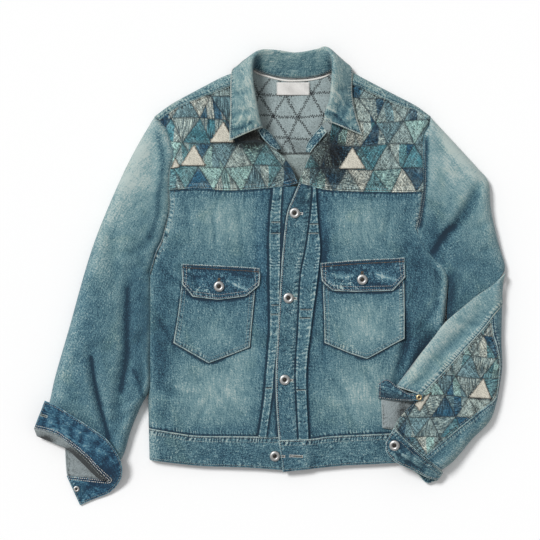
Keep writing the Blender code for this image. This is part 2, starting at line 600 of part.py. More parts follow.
def make_strips():
    """Stitched pleats and the two button strips, which lie on each other down the front."""
    rows_up = np.linspace(0, 1, 17)
    waist_right, waist_left = Curve(RIGHT_WAIST), Curve(LEFT_WAIST)
    hem_right, hem_left = Curve(RIGHT_YOKE_HEM), Curve(LEFT_YOKE_HEM)
    outer, inner = Curve(RIGHT_PLEAT_OUTER), Curve(RIGHT_PLEAT_INNER)
    edge, seam = Curve(LEFT_FRONT_EDGE), Curve(LEFT_PLACKET_SEAM)
    places = across(outer, inner, waist_right.between((-20, -260), (-5, -260)),
                    hem_right.between((4, 145), (21, 147)), np.linspace(0, 1, 3), rows_up)
    sheet("right_pleat", drawn_in(laid(places, BODY_UNFOLDED, STACK)), FINISH["denim"])
    places = across(seam, Curve(LEFT_PLEAT_OUTER), waist_left.between((46, -265), (64, -264)),
                    hem_left.between((68, 148), (76, 146)), np.linspace(0, 1, 3), rows_up)
    sheet("left_pleat", drawn_in(laid(places, BODY_UNFOLDED, STACK)), FINISH["denim"])

    hidden = Curve(LEFT_PLACKET_SEAM)
    hidden.points = hidden.points - (12, 0)
    places = across(inner, hidden, waist_right.between((-5, -260), (34, -261)),
                    Curve([(21, 147), (56, 148)]), np.linspace(0, 1, 3), rows_up)
    sheet("right_placket", drawn_in(laid(places, BODY_UNFOLDED, STACK)), FINISH["denim_dark"])
    places = across(edge, seam, waist_left.between((13, -266), (46, -265)),
                    hem_left.between((47, 152.5), (68, 148)), np.array([0, 0.38, 0.76, 1]), rows_up)
    lift = 2 * STACK * np.ones(places.shape[:2])
    lift[:, -1] = STACK
    sheet("left_placket", drawn_in(laid(places, BODY_UNFOLDED, lift)), FINISH["denim_pale"])


def make_back():
    """Back panel on the floor and the back yoke, which comes over both shoulders."""
    inset = 5.0
    right = joined(RIGHT_SIDE, RIGHT_ARMHOLE).between((-198, -250), (-158, 201))
    right.points = right.points[:, :2] + (inset, 0)
    left = joined(LEFT_SIDE, LEFT_ARMHOLE).between((288, -250), (249, 201))
    left.points = left.points[:, :2] - (inset, 0)
    armpits = right.share_near((-193, 5)), left.share_near((235, 80))
    rows_up = np.concatenate([np.linspace(0, armpits[0], 4), np.linspace(*armpits, 4)[1:],
                              np.linspace(armpits[1], 1, 4)[1:]])
    places = across(right, left, Curve([(-193.8, -250), (283.8, -250)]),
                    Curve(BACK_YOKE_SEAM), np.linspace(0, 1, 9), rows_up)
    sheet("back_body", drawn_in(laid(places, flat)), FINISH["denim_inside"])

    folds = 7
    right_fold = Curve(RIGHT_SHOULDER_FOLD).at(np.linspace(0, 1, folds + 1))[:, :2]
    left_fold = Curve(LEFT_SHOULDER_FOLD).at(np.linspace(1, 0, folds + 1))[:, :2]
    neck = Curve(NECK_SEAM).at(np.linspace(0, 1, 8))[1:-1, :2]
    top = Curve(np.vstack([right_fold, neck, left_fold]), smooth=False)
    columns = top.shares
    right = joined(RIGHT_SIDE, RIGHT_ARMHOLE).between((-158, 201), (-189, 262))
    left = joined(LEFT_SIDE, LEFT_ARMHOLE).between((249, 201), (262, 262))
    places = across(right, left, Curve(BACK_YOKE_SEAM), top, columns,
                    np.array([0, 0.5, 0.9, 1]))
    grid = drawn_in(drawn_in(laid(places, flat), sides="b"), 0.9, "lr")
    count = len(columns)
    rise = np.zeros(count)
    rise[:folds + 1] = rise[-folds - 1:] = 6 - FLOOR
    down = grid[-3, :, :2] - grid[-1, :, :2]
    grid[-2, :, :2] = grid[-1, :, :2] + 6 * down / np.linalg.norm(down, axis=-1, keepdims=True)
    grid[-1, :, 2] += rise
    points, faces = list(grid.reshape(-1, 3)), grid_faces(len(grid), count)
    for seam, first in ((RIGHT_SHOULDER, 0), (LEFT_SHOULDER, count - folds - 1)):
        fold_row = grid[-1, first:first + folds + 1, :2]
        ends = [(-174, 258), (-62, 313)] if first == 0 else [(133, 317), (256, 258)]
        seam_row = Curve(seam).between(*ends).at(np.linspace(0, 1, folds + 1))[:, :2]
        start = len(points)
        for share in (0.18, 0.5, 1.0):
            places = fold_row + (seam_row - fold_row) * share
            lines = np.concatenate([places, BODY(places)[:, None]], -1)
            if share == 1.0:
                away = fold_row - seam_row
                away /= np.linalg.norm(away, axis=-1, keepdims=True)
                lines[:, :2] += 4 * SEAM * away
            points.extend(lines)
        shared = [(len(grid) - 1) * count + first + index for index in range(folds + 1)]
        lines = [shared] + [[start + r * (folds + 1) + c for c in range(folds + 1)] for r in range(3)]
        for low, high in zip(lines, lines[1:]):
            faces += [(low[c], low[c + 1], high[c + 1], high[c]) for c in range(folds)]
    add("back_yoke", points, faces, FINISH["patchwork"], DENIM)


def make_waistband():
    """One strip round the hem, from the right front edge round the back to the left front edge."""
    shares = (0.01, 0.5, 1)
    rise, over_rise, fold_depth = 0.4, 2 * STACK + 0.6, 2.2

    def front_part(seam, hem, count):
        points = np.array([[(1 - v) * seam.at(share)[:2] + v * hem.at(share)[:2] for v in shares]
                           for share in np.linspace(0, 1, count)])
        return np.concatenate([points, BODY(points)[..., None] + rise], -1)

    def folded(section, inwards):
        near = section + (inwards, 0, 0)
        section = section.copy()
        section[:, 2], near[:, 2] = HIP - 1.5, HIP + 2
        return section, near

    right = front_part(Curve(RIGHT_WAIST).between((42, -261), (-197.5, -248)), Curve(RIGHT_HEM), 11)
    edge, near = folded(right[-1], fold_depth)
    right = [*right[:-1], near, edge]
    left = front_part(Curve(LEFT_WAIST).between((288, -252), (14, -266)), Curve(LEFT_HEM), 12)
    left[..., 2] += (over_rise - rise) * np.clip((75 - left[..., 0]) / 20, 0, 1)
    edge, near = folded(left[0], -fold_depth)
    left = [edge, near, *left[1:]]
    back = []
    for x in np.linspace(-193, 283, 9):
        hem = np.interp(x, [-193, 20, 283], [-299, -311, -299])
        back.append([(x, BACK_WAIST + (hem - BACK_WAIST) * v, BAND / 2) for v in shares])
    sheet("waistband", np.array([*right, *back, *left]), FINISH["denim"], BAND)


# ---------------------------------------------------------------- sleeves and cuffs
def make_right_sleeve():
    """Right sleeve, one tube from the armhole to its mouth under the turned-back cuff."""
    heights = np.linspace(0, 1, 17)
    columns = spread(155, 8, near=17, far=13)
    armhole = Curve(RIGHT_ARMHOLE).between((-189, 262), (-198, 5))
    armhole.points[:, 0] -= np.interp(armhole.points[:, 1], [5, 30, 60], [2.6, 1.6, 0])
    places = across(Curve(RIGHT_SLEEVE_OUTER), Curve(RIGHT_SLEEVE_INNER), armhole,
                    Curve(RIGHT_SLEEVE_MOUTH), columns, heights)
    places = clear_of_body(places, RIGHT_SIDE, RIGHT_ARMHOLE)
    top = drawn_in(laid(places, RIGHT_SLEEVE), sides="b")
    top[:, 0, 2], top[:, -1, 2] = 8, 8
    under_columns = np.array([0, 0.035, 0.3, 0.65, 0.83, 0.93, 0.972, 1])
    end = Curve(RIGHT_SLEEVE_UNDER_END, smooth=False)
    places = across(Curve(RIGHT_SLEEVE_OUTER), Curve(RIGHT_SLEEVE_INNER), armhole, end,
                    under_columns, heights)
    places = clear_of_body(places, RIGHT_SIDE, RIGHT_ARMHOLE)
    under = drawn_in(laid(places, flat), sides="b")
    under[:, 0], under[:, -1] = top[:, 0], top[:, -1]
    tube("right_sleeve", top, under, FINISH["denim"])


def make_left_sleeve():
    """Left upper arm, a tube that ends under the folded forearm."""
    heights = np.linspace(0, 1, 12)
    armhole = Curve(LEFT_ARMHOLE).between((240, 80), (262, 262))
    armhole.points[:, 0] += np.interp(armhole.points[:, 1], [80, 95, 115], [2.2, 1.2, 0])
    places = across(Curve(LEFT_SLEEVE_INNER), Curve(LEFT_SLEEVE_OUTER), armhole, Curve(LEFT_SLEEVE_END),
                    spread(130, 6, near=12, far=17), heights)
    places = clear_of_body(places, LEFT_SIDE, LEFT_ARMHOLE)
    top = drawn_in(laid(places, LEFT_SLEEVE), sides="b")
    under_columns = np.array([0, 0.04, 0.5, 0.96, 1])
    places = across(Curve(LEFT_SLEEVE_INNER), Curve(LEFT_SLEEVE_OUTER), armhole, Curve(LEFT_SLEEVE_END),
                    under_columns, heights)
    places = clear_of_body(places, LEFT_SIDE, LEFT_ARMHOLE)
    under = drawn_in(laid(places, flat), sides="b")
    under[:, 0], under[:, -1] = top[:, 0], top[:, -1]
    tube("left_sleeve", top, under, FINISH["denim"])


def make_forearm():
    """Forearm over the front: pale strip, patchwork panel, outer edge and the layer below."""
    along = np.linspace(0, 1, 12)
    fold, outer, felled = Curve(FOREARM_FOLD), Curve(FOREARM_OUTER), Curve(FELLED_SEAM)
    places = across(Curve([(246, -192), (205, -178)]), outer.between((379, -45), (384, 6)),
                    felled, fold.between((205, -178), (384, 6)), along,
                    np.array([0, 0.35, 0.7, 0.91, 1]))
    sheet("left_forearm_strip", drawn_in(laid(places, FOREARM), 0.4), FINISH["denim_pale"])

    upper = joined(OPENING_EDGE, FELLED_SEAM).between((201, -243), (360, -69))
    places = across(Curve(FOREARM_CUFF_SEAM).between((250, -291), (201, -243)), Curve(PATCHWORK_OUTER),
                    Curve(PATCHWORK_LOWER), upper, np.linspace(0, 1, 9), np.linspace(0, 1, 7))
    sheet("left_forearm_patchwork", drawn_in(laid(places, FOREARM)), FINISH["patchwork"])

    lower, side = Curve(PATCHWORK_LOWER).at(np.linspace(0, 1, 9)), Curve(PATCHWORK_OUTER)
    inner = Curve(np.vstack([lower, side.at(np.linspace(0, 1, 7))[1:]]), smooth=False)
    places = across(Curve(FOREARM_CUFF_SEAM).between((279, -315), (250, -291)),
                    felled.between((379, -45), (360, -69)), outer.between((279, -315), (379, -45)),
                    inner, inner.shares, np.array([0, 0.12, 0.4, 1]))
    grid = tucked(drawn_in(laid(places, FOREARM), 0.6), "b")
    sheet("left_forearm_edge", grid, FINISH["denim"])

    columns = np.linspace(0, 1, 8)
    elbow = fold.between((285, -74), (354, -20))
    places = across(Curve(FOREARM_UNDER_FOLD), Curve(FOREARM_UNDER_OUTER),
                    Curve(FOREARM_UNDER_END, smooth=False), elbow, columns, np.linspace(0, 1, 10))
    grid = drawn_in(laid(places, under_forearm), 2.5, "t")
    grid[-1, :, 2] = elbow.at(columns)[:, 2] - 2.5
    sheet("left_forearm_under", grid, FINISH["denim_inside"])


def make_cuffs():
    """Cuffs: the right one open and turned back, the left one buttoned, with its free end."""
    sheet("right_cuff", sections(RIGHT_CUFF, 20, 2), FINISH["denim_dark"], BAND)
    turned_in = []
    for cuff, inner in zip(RIGHT_CUFF, RIGHT_FACING):
        seam, hem = np.array(cuff[:3]), np.array(cuff[3:])
        turned_in.append((*(seam + 3 * SEAM * (seam - hem) / np.linalg.norm(seam - hem)), *inner))
    sheet("right_sleeve_facing", sections(turned_in, 13, 2), FINISH["denim_inside"], TRIM)
    sheet("left_cuff", sections(LEFT_CUFF, 20, 2), FINISH["denim"], BAND)
    points = np.array([[(row.x, row.near_y, row.near_z), (row.x, row.ridge_y, row.ridge_z),
                        (row.x, row.far_y, row.far_z)] for row in LEFT_CUFF_FLAP])
    sheet("left_cuff_flap", points, FINISH["denim"], BAND)


# ---------------------------------------------------------------- collar, neck and pockets
def make_collar():
    """Collar: stand up from the neck seam, fold ridge, and the fall down to its outer edge."""
    grid = sections(COLLAR_SECTIONS, 33, 4)
    fall = grid[:, 3:]
    over_front = (fall[..., 1] < 322)
    clear = BODY(fall[..., :2]) + DENIM / 2 + COLLAR / 2 + 0.7
    fall[..., 2] = np.where(over_front, np.maximum(fall[..., 2], clear), fall[..., 2])
    sheet("collar", grid, FINISH["denim_pale"], COLLAR)


def make_neck():
    """Tape along the back of the neck, the blank label and the turned facings at the front."""
    seam = Curve(NECK_SEAM).between((-28, 339), (100, 335))
    upper = seam.at(np.linspace(0, 1, 15))[:, :2] - (0, 1)
    grid = np.stack([upper - (0, 3.2), upper], 0)
    grid = np.concatenate([grid, np.full((2, 15, 1), FLOOR + 1.3)], -1)
    sheet("neck_tape", grid, FINISH["cream"], TRIM)
    grid = np.array([[(x, y, FLOOR + 1.3) for x in (11, 29, 47, 65)] for y in (298, 319)], dtype=float)
    sheet("label", grid, FINISH["cream"], TRIM)
    for name, (edge, inner) in NECK_FACINGS.items():
        shares = np.linspace(0, 1, 7)
        high, low = Curve(edge).at(shares), Curve(inner).at(shares)
        rows_of = []
        for share, drop in ((0.0, 0.5), (0.5, 3.5), (1.0, 9.0)):
            places = high + (low - high) * share
            rows_of.append(np.concatenate([places, (BODY(places) - drop)[:, None]], -1))
        sheet(name, np.array(rows_of), FINISH["patchwork"], TRIM)


def make_pockets():
    """Patch pockets on the fronts and the pointed flaps over them."""
    for name, sides, columns, heights in (("right_pocket", RIGHT_POCKET, 6, 6),
                                          ("left_pocket", LEFT_POCKET, 6, 6)):
        places = across(Curve(sides.left), Curve(sides.right), Curve(sides.bottom, False),
                        Curve(sides.top), np.linspace(0, 1, columns), np.linspace(0, 1, heights))
        sheet(name, laid(places, BODY_UNFOLDED, STACK), FINISH["denim"], 1.0)
    heights = np.array([0, 0.3, 0.6, 1])
    lifts = np.array([2 * STACK, 2 * STACK, 2 * STACK, STACK])
    for name, sides in (("right_pocket_flap", RIGHT_FLAP), ("left_pocket_flap", LEFT_FLAP)):
        places = across(Curve(sides.left), Curve(sides.right), Curve(sides.bottom, False),
                        Curve(sides.top), np.linspace(0, 1, 7), heights)
        lift = np.repeat(lifts[:, None], 7, 1)
        sheet(name, laid(places, BODY_UNFOLDED, lift), FINISH["denim_dark"], DENIM)


def make_patches():
    """Cream patches sewn on the patchwork."""
    for patch in CREAM_PATCHES:
        surface = FOREARM if patch.name in ("cream_patch_5", "cream_patch_6") else BODY_UNFOLDED
        a, b, c = (np.array(corner, dtype=float) for corner in patch.corners)
        places = np.array([a, (a + b) / 2, b, (b + c) / 2, c, (a + c) / 2, (a + b + c) / 3])
        grid = laid(places[None], surface, STACK)[0]
        faces = [(index, (index + 1) % 6, 6) for index in range(6)]
        if (b - a)[0] * (c - a)[1] - (b - a)[1] * (c - a)[0] < 0:
            faces = [tuple(reversed(face)) for face in faces]
        add(patch.name, grid, faces, FINISH["cream"], TRIM)


# ---------------------------------------------------------------- buttons
def button_profile(radius):
    """Rows of radius and height of a hollow-faced jacket button."""
    return [(0.94 * radius, 0.0), (radius, 0.22 * radius), (0.66 * radius, 0.40 * radius),
            (0.30 * radius, 0.16 * radius)]


def make_buttons():
    """Buttons on the front, the flaps, the waistband and the cuffs, and the small rivet."""
    def on_surface(name, x, y, surface, lift, radius=BUTTON, finish="silver"):
        place = np.array([[x, y]], dtype=float)
        base = laid(place, surface, lift)[0]
        top = laid(place, surface, lift + 1.0)[0]
        turned(name, button_profile(radius), base, top - base, FINISH[finish])

    for row in FRONT_BUTTONS:
        on_surface(row.name, row.x, row.y, BODY_UNFOLDED, row.layers * STACK + DENIM / 2 + 0.3)
    on_surface("waist_button", 8, -292, BODY, 0.4 + BAND / 2 + 0.3)
    turned("left_cuff_button", button_profile(BUTTON), (202, -273, 35.6), (-0.15, -0.1, 1),
           FINISH["silver"])
    turned("left_cuff_rivet", button_profile(RIVET), (241.5, -194.8, 41.7), (0, 0, 1), FINISH["brass"])
    turned("right_cuff_tack", button_profile(RIVET), (-317, -347, 4.85), (0, 0, 1), FINISH["silver"])


def main():
    """Clear the scene and make every piece, from the layers on the floor upwards."""
    for thing in list(bpy.data.objects):
        bpy.data.objects.remove(thing)
    make_back()
    make_fronts()
    make_strips()
    make_yokes()
    make_waistband()
    make_right_sleeve()
    make_left_sleeve()
    make_forearm()
    make_cuffs()
    make_collar()
    make_neck()
    make_pockets()
    make_patches()
    make_buttons()


main()
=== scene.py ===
import logging
from collections import namedtuple
from dataclasses import dataclass, field
from enum import Enum
from functools import cached_property
from math import cos, pi, radians, sin

import bpy
import numpy as np
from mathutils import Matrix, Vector
from mathutils.bvhtree import BVHTree


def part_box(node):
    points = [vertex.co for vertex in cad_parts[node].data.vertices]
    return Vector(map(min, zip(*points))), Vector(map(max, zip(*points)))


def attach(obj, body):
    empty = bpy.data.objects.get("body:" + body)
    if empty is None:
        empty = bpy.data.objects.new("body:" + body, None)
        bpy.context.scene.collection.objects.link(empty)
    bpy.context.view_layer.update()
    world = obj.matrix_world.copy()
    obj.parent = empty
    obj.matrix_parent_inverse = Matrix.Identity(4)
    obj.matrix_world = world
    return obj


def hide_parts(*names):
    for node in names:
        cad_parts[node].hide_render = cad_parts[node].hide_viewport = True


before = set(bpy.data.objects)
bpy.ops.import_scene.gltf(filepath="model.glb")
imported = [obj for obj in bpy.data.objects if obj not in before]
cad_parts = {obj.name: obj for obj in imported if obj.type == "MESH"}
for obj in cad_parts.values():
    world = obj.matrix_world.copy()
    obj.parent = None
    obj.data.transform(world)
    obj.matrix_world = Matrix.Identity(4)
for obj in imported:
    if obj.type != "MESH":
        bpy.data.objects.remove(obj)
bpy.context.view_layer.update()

LOG = logging.getLogger("jacket")

# ---------------------------------------------------------------- driving sizes (mm)
MM = 0.001
MIDDLE = (-0.14, 0.47)      # middle of the laid outline, which lies over the origin
DENIM = 1.2                 # wall of one layer of denim
BAND = 2.0                  # wall of the doubled waistband and cuffs
COLLAR = 2.2                # wall of the doubled collar
TRIM = 0.8                  # wall of tape, label and patches
POCKET = 1.0                # wall of a patch pocket
SEAM = 0.15                 # each piece stops this far short of a shared seam line
STACK = 1.9                 # between the middles of two layers that lie on each other
FLOOR = DENIM / 2           # middle of a layer that lies on the floor
HIP = 7.0                   # height of the fold line along a side edge
CELL = 2.3                  # spacing of the points of a cloth piece that shows
HIDDEN_CELL = 7.0           # the same where the piece lies under another


def rows(names: str, *values) -> list:
    """Short table with named columns.

    Args:
        names: the column names, parted by spaces.
        values: one tuple for each row.

    Returns:
        The rows as named tuples.
    """
    row = namedtuple("Row", names)
    return [row(*value) for value in values]


@dataclass(frozen=True)
class Crease:
    """One fold of the laid cloth: a trough along its path that fades at both ends."""

    half_width: float
    depth: float
    lean: float                 # above 0, the side on the left of the path is steeper
    path: list


def crease_rows(*table: tuple) -> list:
    """Creases from rows of half width, depth, lean, and x and y of each point of the path."""
    return [Crease(half_width, depth, lean, rows("x y", *path))
            for half_width, depth, lean, *path in table]


def shade_rows(*table: tuple) -> tuple:
    """Lines of shade from rows of reach, depth, and x and y of each point of the line."""
    return tuple((rows("x y", *line), reach, depth) for reach, depth, *line in table)


# ---------------------------------------------------------------- outlines, from hem to shoulder
# z is the height of the edge line, reach is how far inwards the roll beside it runs
RIGHT_SIDE = rows(
    "x y z reach",
    (-196, -298, 6, 10), (-197, -260, HIP, 10), (-198, -215, HIP, 10), (-198, -180, 12, 8),
    (-198, -130, 16, 8), (-198, -90, 21.5, 9), (-198, -20, 22.5, 9), (-198, 5, 22.5, 9))
RIGHT_ARMHOLE = rows(
    "x y z reach",
    (-198, 5, 22.5, 9), (-187, 41, 21, 10), (-177, 61, 20, 10), (-166, 100, 20, 12),
    (-164, 120, 20, 14), (-165, 141, 20, 14), (-164, 170, 20, 14), (-158, 200, 19, 14),
    (-161, 215, 18, 14), (-168, 238, 15, 14), (-178, 252, 12, 12), (-189, 262, 7, 10))
LEFT_SIDE = rows(
    "x y z reach",
    (288, -298, 6, 10), (288, -247, HIP, 10), (287, -150, HIP, 10), (286, -72, HIP, 10),
    (289, -30, 9, 10), (290, 0, 13, 9), (280, 20, 17, 9), (263, 36, 20, 9), (250, 55, 21, 9),
    (240, 80, 21, 10))
LEFT_ARMHOLE = rows(
    "x y z reach",
    (240, 80, 21, 10), (244, 100, 20, 12), (250, 139, 20, 14), (251, 160, 20, 14),
    (249, 200, 18, 14), (249, 220, 16, 14), (252, 235, 14, 14), (258, 246, 11, 12),
    (262, 262, 7, 10))
RIGHT_SHOULDER_FOLD = rows(
    "x y z reach",
    (-189, 262, 7, 10), (-160, 283, 6, 16), (-120, 305, 6, 16), (-80, 326, 6, 16),
    (-62, 333, 6, 16))
LEFT_SHOULDER_FOLD = rows(
    "x y z reach",
    (262, 262, 7, 10), (240, 279, 6, 16), (200, 300, 6, 16), (160, 321, 6, 16), (134, 335, 6, 16))

# ---------------------------------------------------------------- seam lines on the front
RIGHT_WAIST = rows("x y", (-198, -247), (-150, -255), (-120, -259), (-60, -260), (49, -261))
LEFT_WAIST = rows("x y", (14, -266), (70, -264), (100, -260), (185, -256), (288, -252))
RIGHT_YOKE_HEM = rows("x y", (-165, 141), (-120, 144), (-60, 141), (20, 147), (46, 153))
LEFT_YOKE_HEM = rows("x y", (46, 153), (60, 150), (100, 141), (200, 138), (250, 139))
RIGHT_SHOULDER = rows("x y", (-181, 255), (-150, 277), (-110, 294), (-65, 312), (-31, 324))
LEFT_SHOULDER = rows("x y", (105, 330), (140, 313), (200, 285), (240, 271), (261, 257))
RIGHT_NECKLINE = rows(
    "x y", (46, 153), (35, 178), (20, 198), (0, 212), (-15, 225), (-22, 240), (-24, 262),
    (-31, 324))
LEFT_NECKLINE = rows(
    "x y", (46, 153), (57, 180), (70, 205), (85, 222), (96, 236), (102, 262), (105, 330))
RIGHT_PLEAT_OUTER = rows(
    "x y", (-20, -260), (-11, -200), (-4, -120), (-1, -80), (-2, 0), (-2, 80), (4, 145))
RIGHT_PLEAT_INNER = rows(
    "x y", (-5, -260), (5, -190), (7, -160), (13, -100), (17, 0), (18, 90), (21, 147))
LEFT_FRONT_EDGE = rows(
    "x y", (13, -266), (9, -200), (9, -140), (17, 0), (20, 40), (27, 100), (38, 130), (47, 152))
LEFT_PLACKET_SEAM = rows(
    "x y", (46, -265), (41, -160), (45, -80), (49, 0), (60, 60), (68, 130), (68, 148))
LEFT_PLEAT_OUTER = rows(
    "x y", (64, -264), (60, -160), (68, -80), (80, 10), (83, 50), (79, 95), (76, 146))

RIGHT_HEM = rows("x y", (42, -314), (18, -315), (-40, -311), (-120, -308), (-196, -299))
LEFT_HEM = rows("x y", (288, -299), (200, -304), (120, -308), (60, -314), (21, -318))
BACK_HEM = rows("x y", (-193, -299), (20, -311), (283, -299))
BACK_WAIST = -251.5         # height on the back of the seam that joins the waistband

# ---------------------------------------------------------------- back of the neck and back yoke
NECK_SEAM = rows(
    "x y", (-62, 333), (-31, 341), (-15, 334.5), (20, 325.5), (45, 324.5), (70, 326.5),
    (90, 331.5), (103, 337), (134, 335))
BACK_YOKE_SEAM = rows("x y", (-153.8, 201), (244.8, 201))

# ---------------------------------------------------------------- sleeve edges, armhole to cuff
RIGHT_SLEEVE_OUTER = rows(
    "x y z reach",
    (-189, 262, 7, 12), (-213, 222, 8, 16), (-236, 178, 8, 18), (-262, 120, 8, 18),
    (-286, 60, 8, 18), (-305, 0, 8, 18), (-327, -80, 8, 18), (-350, -160, 8, 18),
    (-360, -204, 8, 18), (-372, -246, 9, 16))
RIGHT_SLEEVE_INNER = rows(
    "x y z reach",
    (-195, 5, 22, 9), (-195, -20, 22, 9), (-195, -90, 21, 9), (-195.6, -130, 16, 8),
    (-197, -180, 13, 6), (-213, -214, 8, 14),
    (-228, -250, 8, 14), (-243, -296, 8, 14), (-268, -314, 9, 12))
RIGHT_SLEEVE_MOUTH = rows(
    "x y", (-372, -246), (-350, -251), (-325, -267), (-300, -287), (-282, -303), (-268, -314))
RIGHT_SLEEVE_UNDER_END = rows(
    "x y", (-372, -246), (-350, -262), (-336, -277), (-335, -300), (-333, -328), (-300, -332),
    (-274, -330), (-268, -314))
LEFT_SLEEVE_INNER = rows(
    "x y z reach",
    (237, 80, 20.5, 9), (246, 55, 20.5, 8), (259, 35, 19.5, 8), (276, 18, 16.5, 8),
    (286, 1, 12, 10), (288, -16, 3, 18), (285, -50, 2, 20), (284, -82, 2, 20))
LEFT_SLEEVE_OUTER = rows(
    "x y z reach",
    (262, 262, 7, 12), (300, 221, 8, 16), (340, 177, 8, 18), (357, 155, 8, 18),
    (361, 110, 8, 18), (372, 60, 8, 18), (383, 22, 8, 16), (383, 10, 8, 14))
LEFT_SLEEVE_END = rows("x y", (290, -82), (328, -49), (348, -32), (366, -13), (383, 10))

# ---------------------------------------------------------------- forearm, folded over at the elbow
FOREARM_FOLD = rows(
    "x y z reach",
    (384, 6, 14, 8), (376, -1, 23, 8), (360, -15, 25, 12), (340, -28, 26, 12), (320, -44, 28, 12),
    (285, -74, 29.5, 12), (265, -100, 30, 12), (245, -125, 29, 12), (228, -150, 28, 12),
    (205, -178, 28, 10))
FOREARM_OUTER = rows(
    "x y z reach",
    (384, 6, 14, 8), (380, -20, 9, 14), (378, -100, 8, 16), (379, -140, 8, 18),
    (375, -175, 8, 18), (362, -230, 8, 18), (330, -265, 8, 18), (300, -300, 10, 16),
    (279, -315, 14, 12))
FELLED_SEAM = rows(
    "x y", (246, -192), (280, -158), (320, -115), (350, -82), (365, -62), (379, -45))
PATCHWORK_OUTER = rows(
    "x y", (370, -188), (374, -145), (370, -118), (362, -90), (360, -69))
PATCHWORK_LOWER = rows("x y", (250, -291), (280, -266), (330, -226), (365, -200), (370, -188))
OPENING_EDGE = rows("x y", (201, -243), (210, -228), (230, -207), (246, -192))
FOREARM_CUFF_SEAM = rows("x y", (201, -243), (215, -258), (230, -272), (250, -291), (279, -315))
FOREARM_UNDER_FOLD = rows("x y", (181, -200), (205, -178), (245, -125), (285, -74))
FOREARM_UNDER_OUTER = rows(
    "x y", (275, -310), (297, -296), (326, -261), (357, -227), (369, -175), (373, -140),
    (371, -100), (365, -50), (354, -22))
FOREARM_UNDER_END = rows(
    "x y", (181, -200), (183, -246), (204, -250), (250, -291), (275, -310))

# ---------------------------------------------------------------- heights of the laid layers
BODY_CROWN = rows(
    "y z", (-320, 11), (-300, 13), (-255, 17), (-200, 22), (-100, 24), (100, 25), (180, 24),
    (240, 22), (320, 18))
BODY_SWELLS = rows(
    "x y reach_x reach_y rise",
    (250, -190, 62, 95, -6), (262, -290, 60, 50, -3), (-110, 60, 70, 90, 2), (150, 80, 70, 60, 2))
RIGHT_SLEEVE_CROWN = rows("y z", (-320, 22), (-240, 25), (-150, 28), (0, 29), (150, 27), (262, 20))
LEFT_SLEEVE_CROWN = rows("y z", (-80, 15), (-40, 17), (0, 20), (60, 25), (150, 26), (262, 20))
FOREARM_CROWN = rows("x z", (200, 35), (250, 35), (300, 31), (340, 27), (385, 26))

# ---------------------------------------------------------------- largest folds
BODY_FOLDS = crease_rows(
    (9, 5, 0, (222, -60), (222, -100), (214, -140), (203, -175)),
    (10, 4, 0, (262, -95), (240, -140), (218, -182)),
    (11, 4, 0, (262, 34), (276, -10), (272, -60)))
RIGHT_SLEEVE_FOLDS = crease_rows(
    (11, 8, 0, (-230, 10), (-234, -60), (-233, -120), (-243, -180), (-252, -250)),
    (8, 8, 0, (-292, -115), (-288, -160), (-278, -205), (-262, -268)),
    (12, 4, 0, (-262, 110), (-256, 40), (-250, -30)))
LEFT_SLEEVE_FOLDS = crease_rows(
    (9, 6, 0, (350, 165), (325, 120), (300, 82), (268, 42)),
    (10, 4, 0, (258, 245), (275, 220), (305, 182)))
FOREARM_FOLDS = crease_rows(
    (10, 4, 0, (255, -150), (300, -105), (345, -60)))

# ---------------------------------------------------------------- pockets, cuffs and collar
@dataclass(frozen=True)
class Sides:
    """Tables of the four sides of a pocket or a flap, whose bottom is pointed."""

    left: list
    bottom: list
    right: list
    top: list

    def places(self, columns: np.ndarray, heights: np.ndarray) -> np.ndarray:
        """Places inside the sides, at shares across and upwards."""
        return across(Curve(self.left), Curve(self.right), Curve(self.bottom, smooth=False),
                      Curve(self.top), columns, heights)


RIGHT_POCKET = Sides(
    rows("x y", (-157, -107), (-148, -50), (-143, -5)),
    rows("x y", (-157, -107), (-140, -117), (-100, -140), (-60, -125), (-33, -114)),
    rows("x y", (-33, -114), (-28, -60), (-23, -6)),
    rows("x y", (-143, -5), (-23, -6)))
LEFT_POCKET = Sides(
    rows("x y", (89, -107), (88, -60), (86, -5)),
    rows("x y", (89, -107), (130, -124), (158, -133), (200, -110), (219, -100)),
    rows("x y", (219, -100), (219, -50), (218, -2)),
    rows("x y", (86, -5), (218, -2)))
RIGHT_FLAP = Sides(
    rows("x y", (-142, -12), (-143, 5), (-144, 22)),
    rows("x y", (-142, -12), (-126, -32), (-83, -37), (-39, -31), (-18, -14)),
    rows("x y", (-18, -14), (-16, 0), (-17, 15)),
    rows("x y", (-144, 22), (-80, 19), (-17, 15)))
LEFT_FLAP = Sides(
    rows("x y", (84, -6), (83, 8), (82, 23)),
    rows("x y", (84, -6), (102, -22), (140, -24), (200, -22), (220, 0)),
    rows("x y", (220, 0), (219, 16), (219, 32)),
    rows("x y", (82, 23), (140, 28), (219, 32)))
# cuff sections: seam edge (sx, sy, sz) and hem edge (hx, hy, hz)
RIGHT_CUFF = rows(
    "sx sy sz hx hy hz",
    (-384, -246, 23, -366, -201, 30), (-350, -255, 27, -345, -210, 33),
    (-325, -272, 25.8, -318, -227, 34), (-300, -293, 25.2, -290, -245, 34),
    (-280, -315, 24, -262, -267, 32), (-268, -327, 20, -243, -300, 25),
    (-264, -331, 14, -243, -328, 16), (-270, -332, 6, -262, -352, 6),
    (-300, -329, 4, -290, -364, 4), (-333, -326, 3, -311, -374, 3))
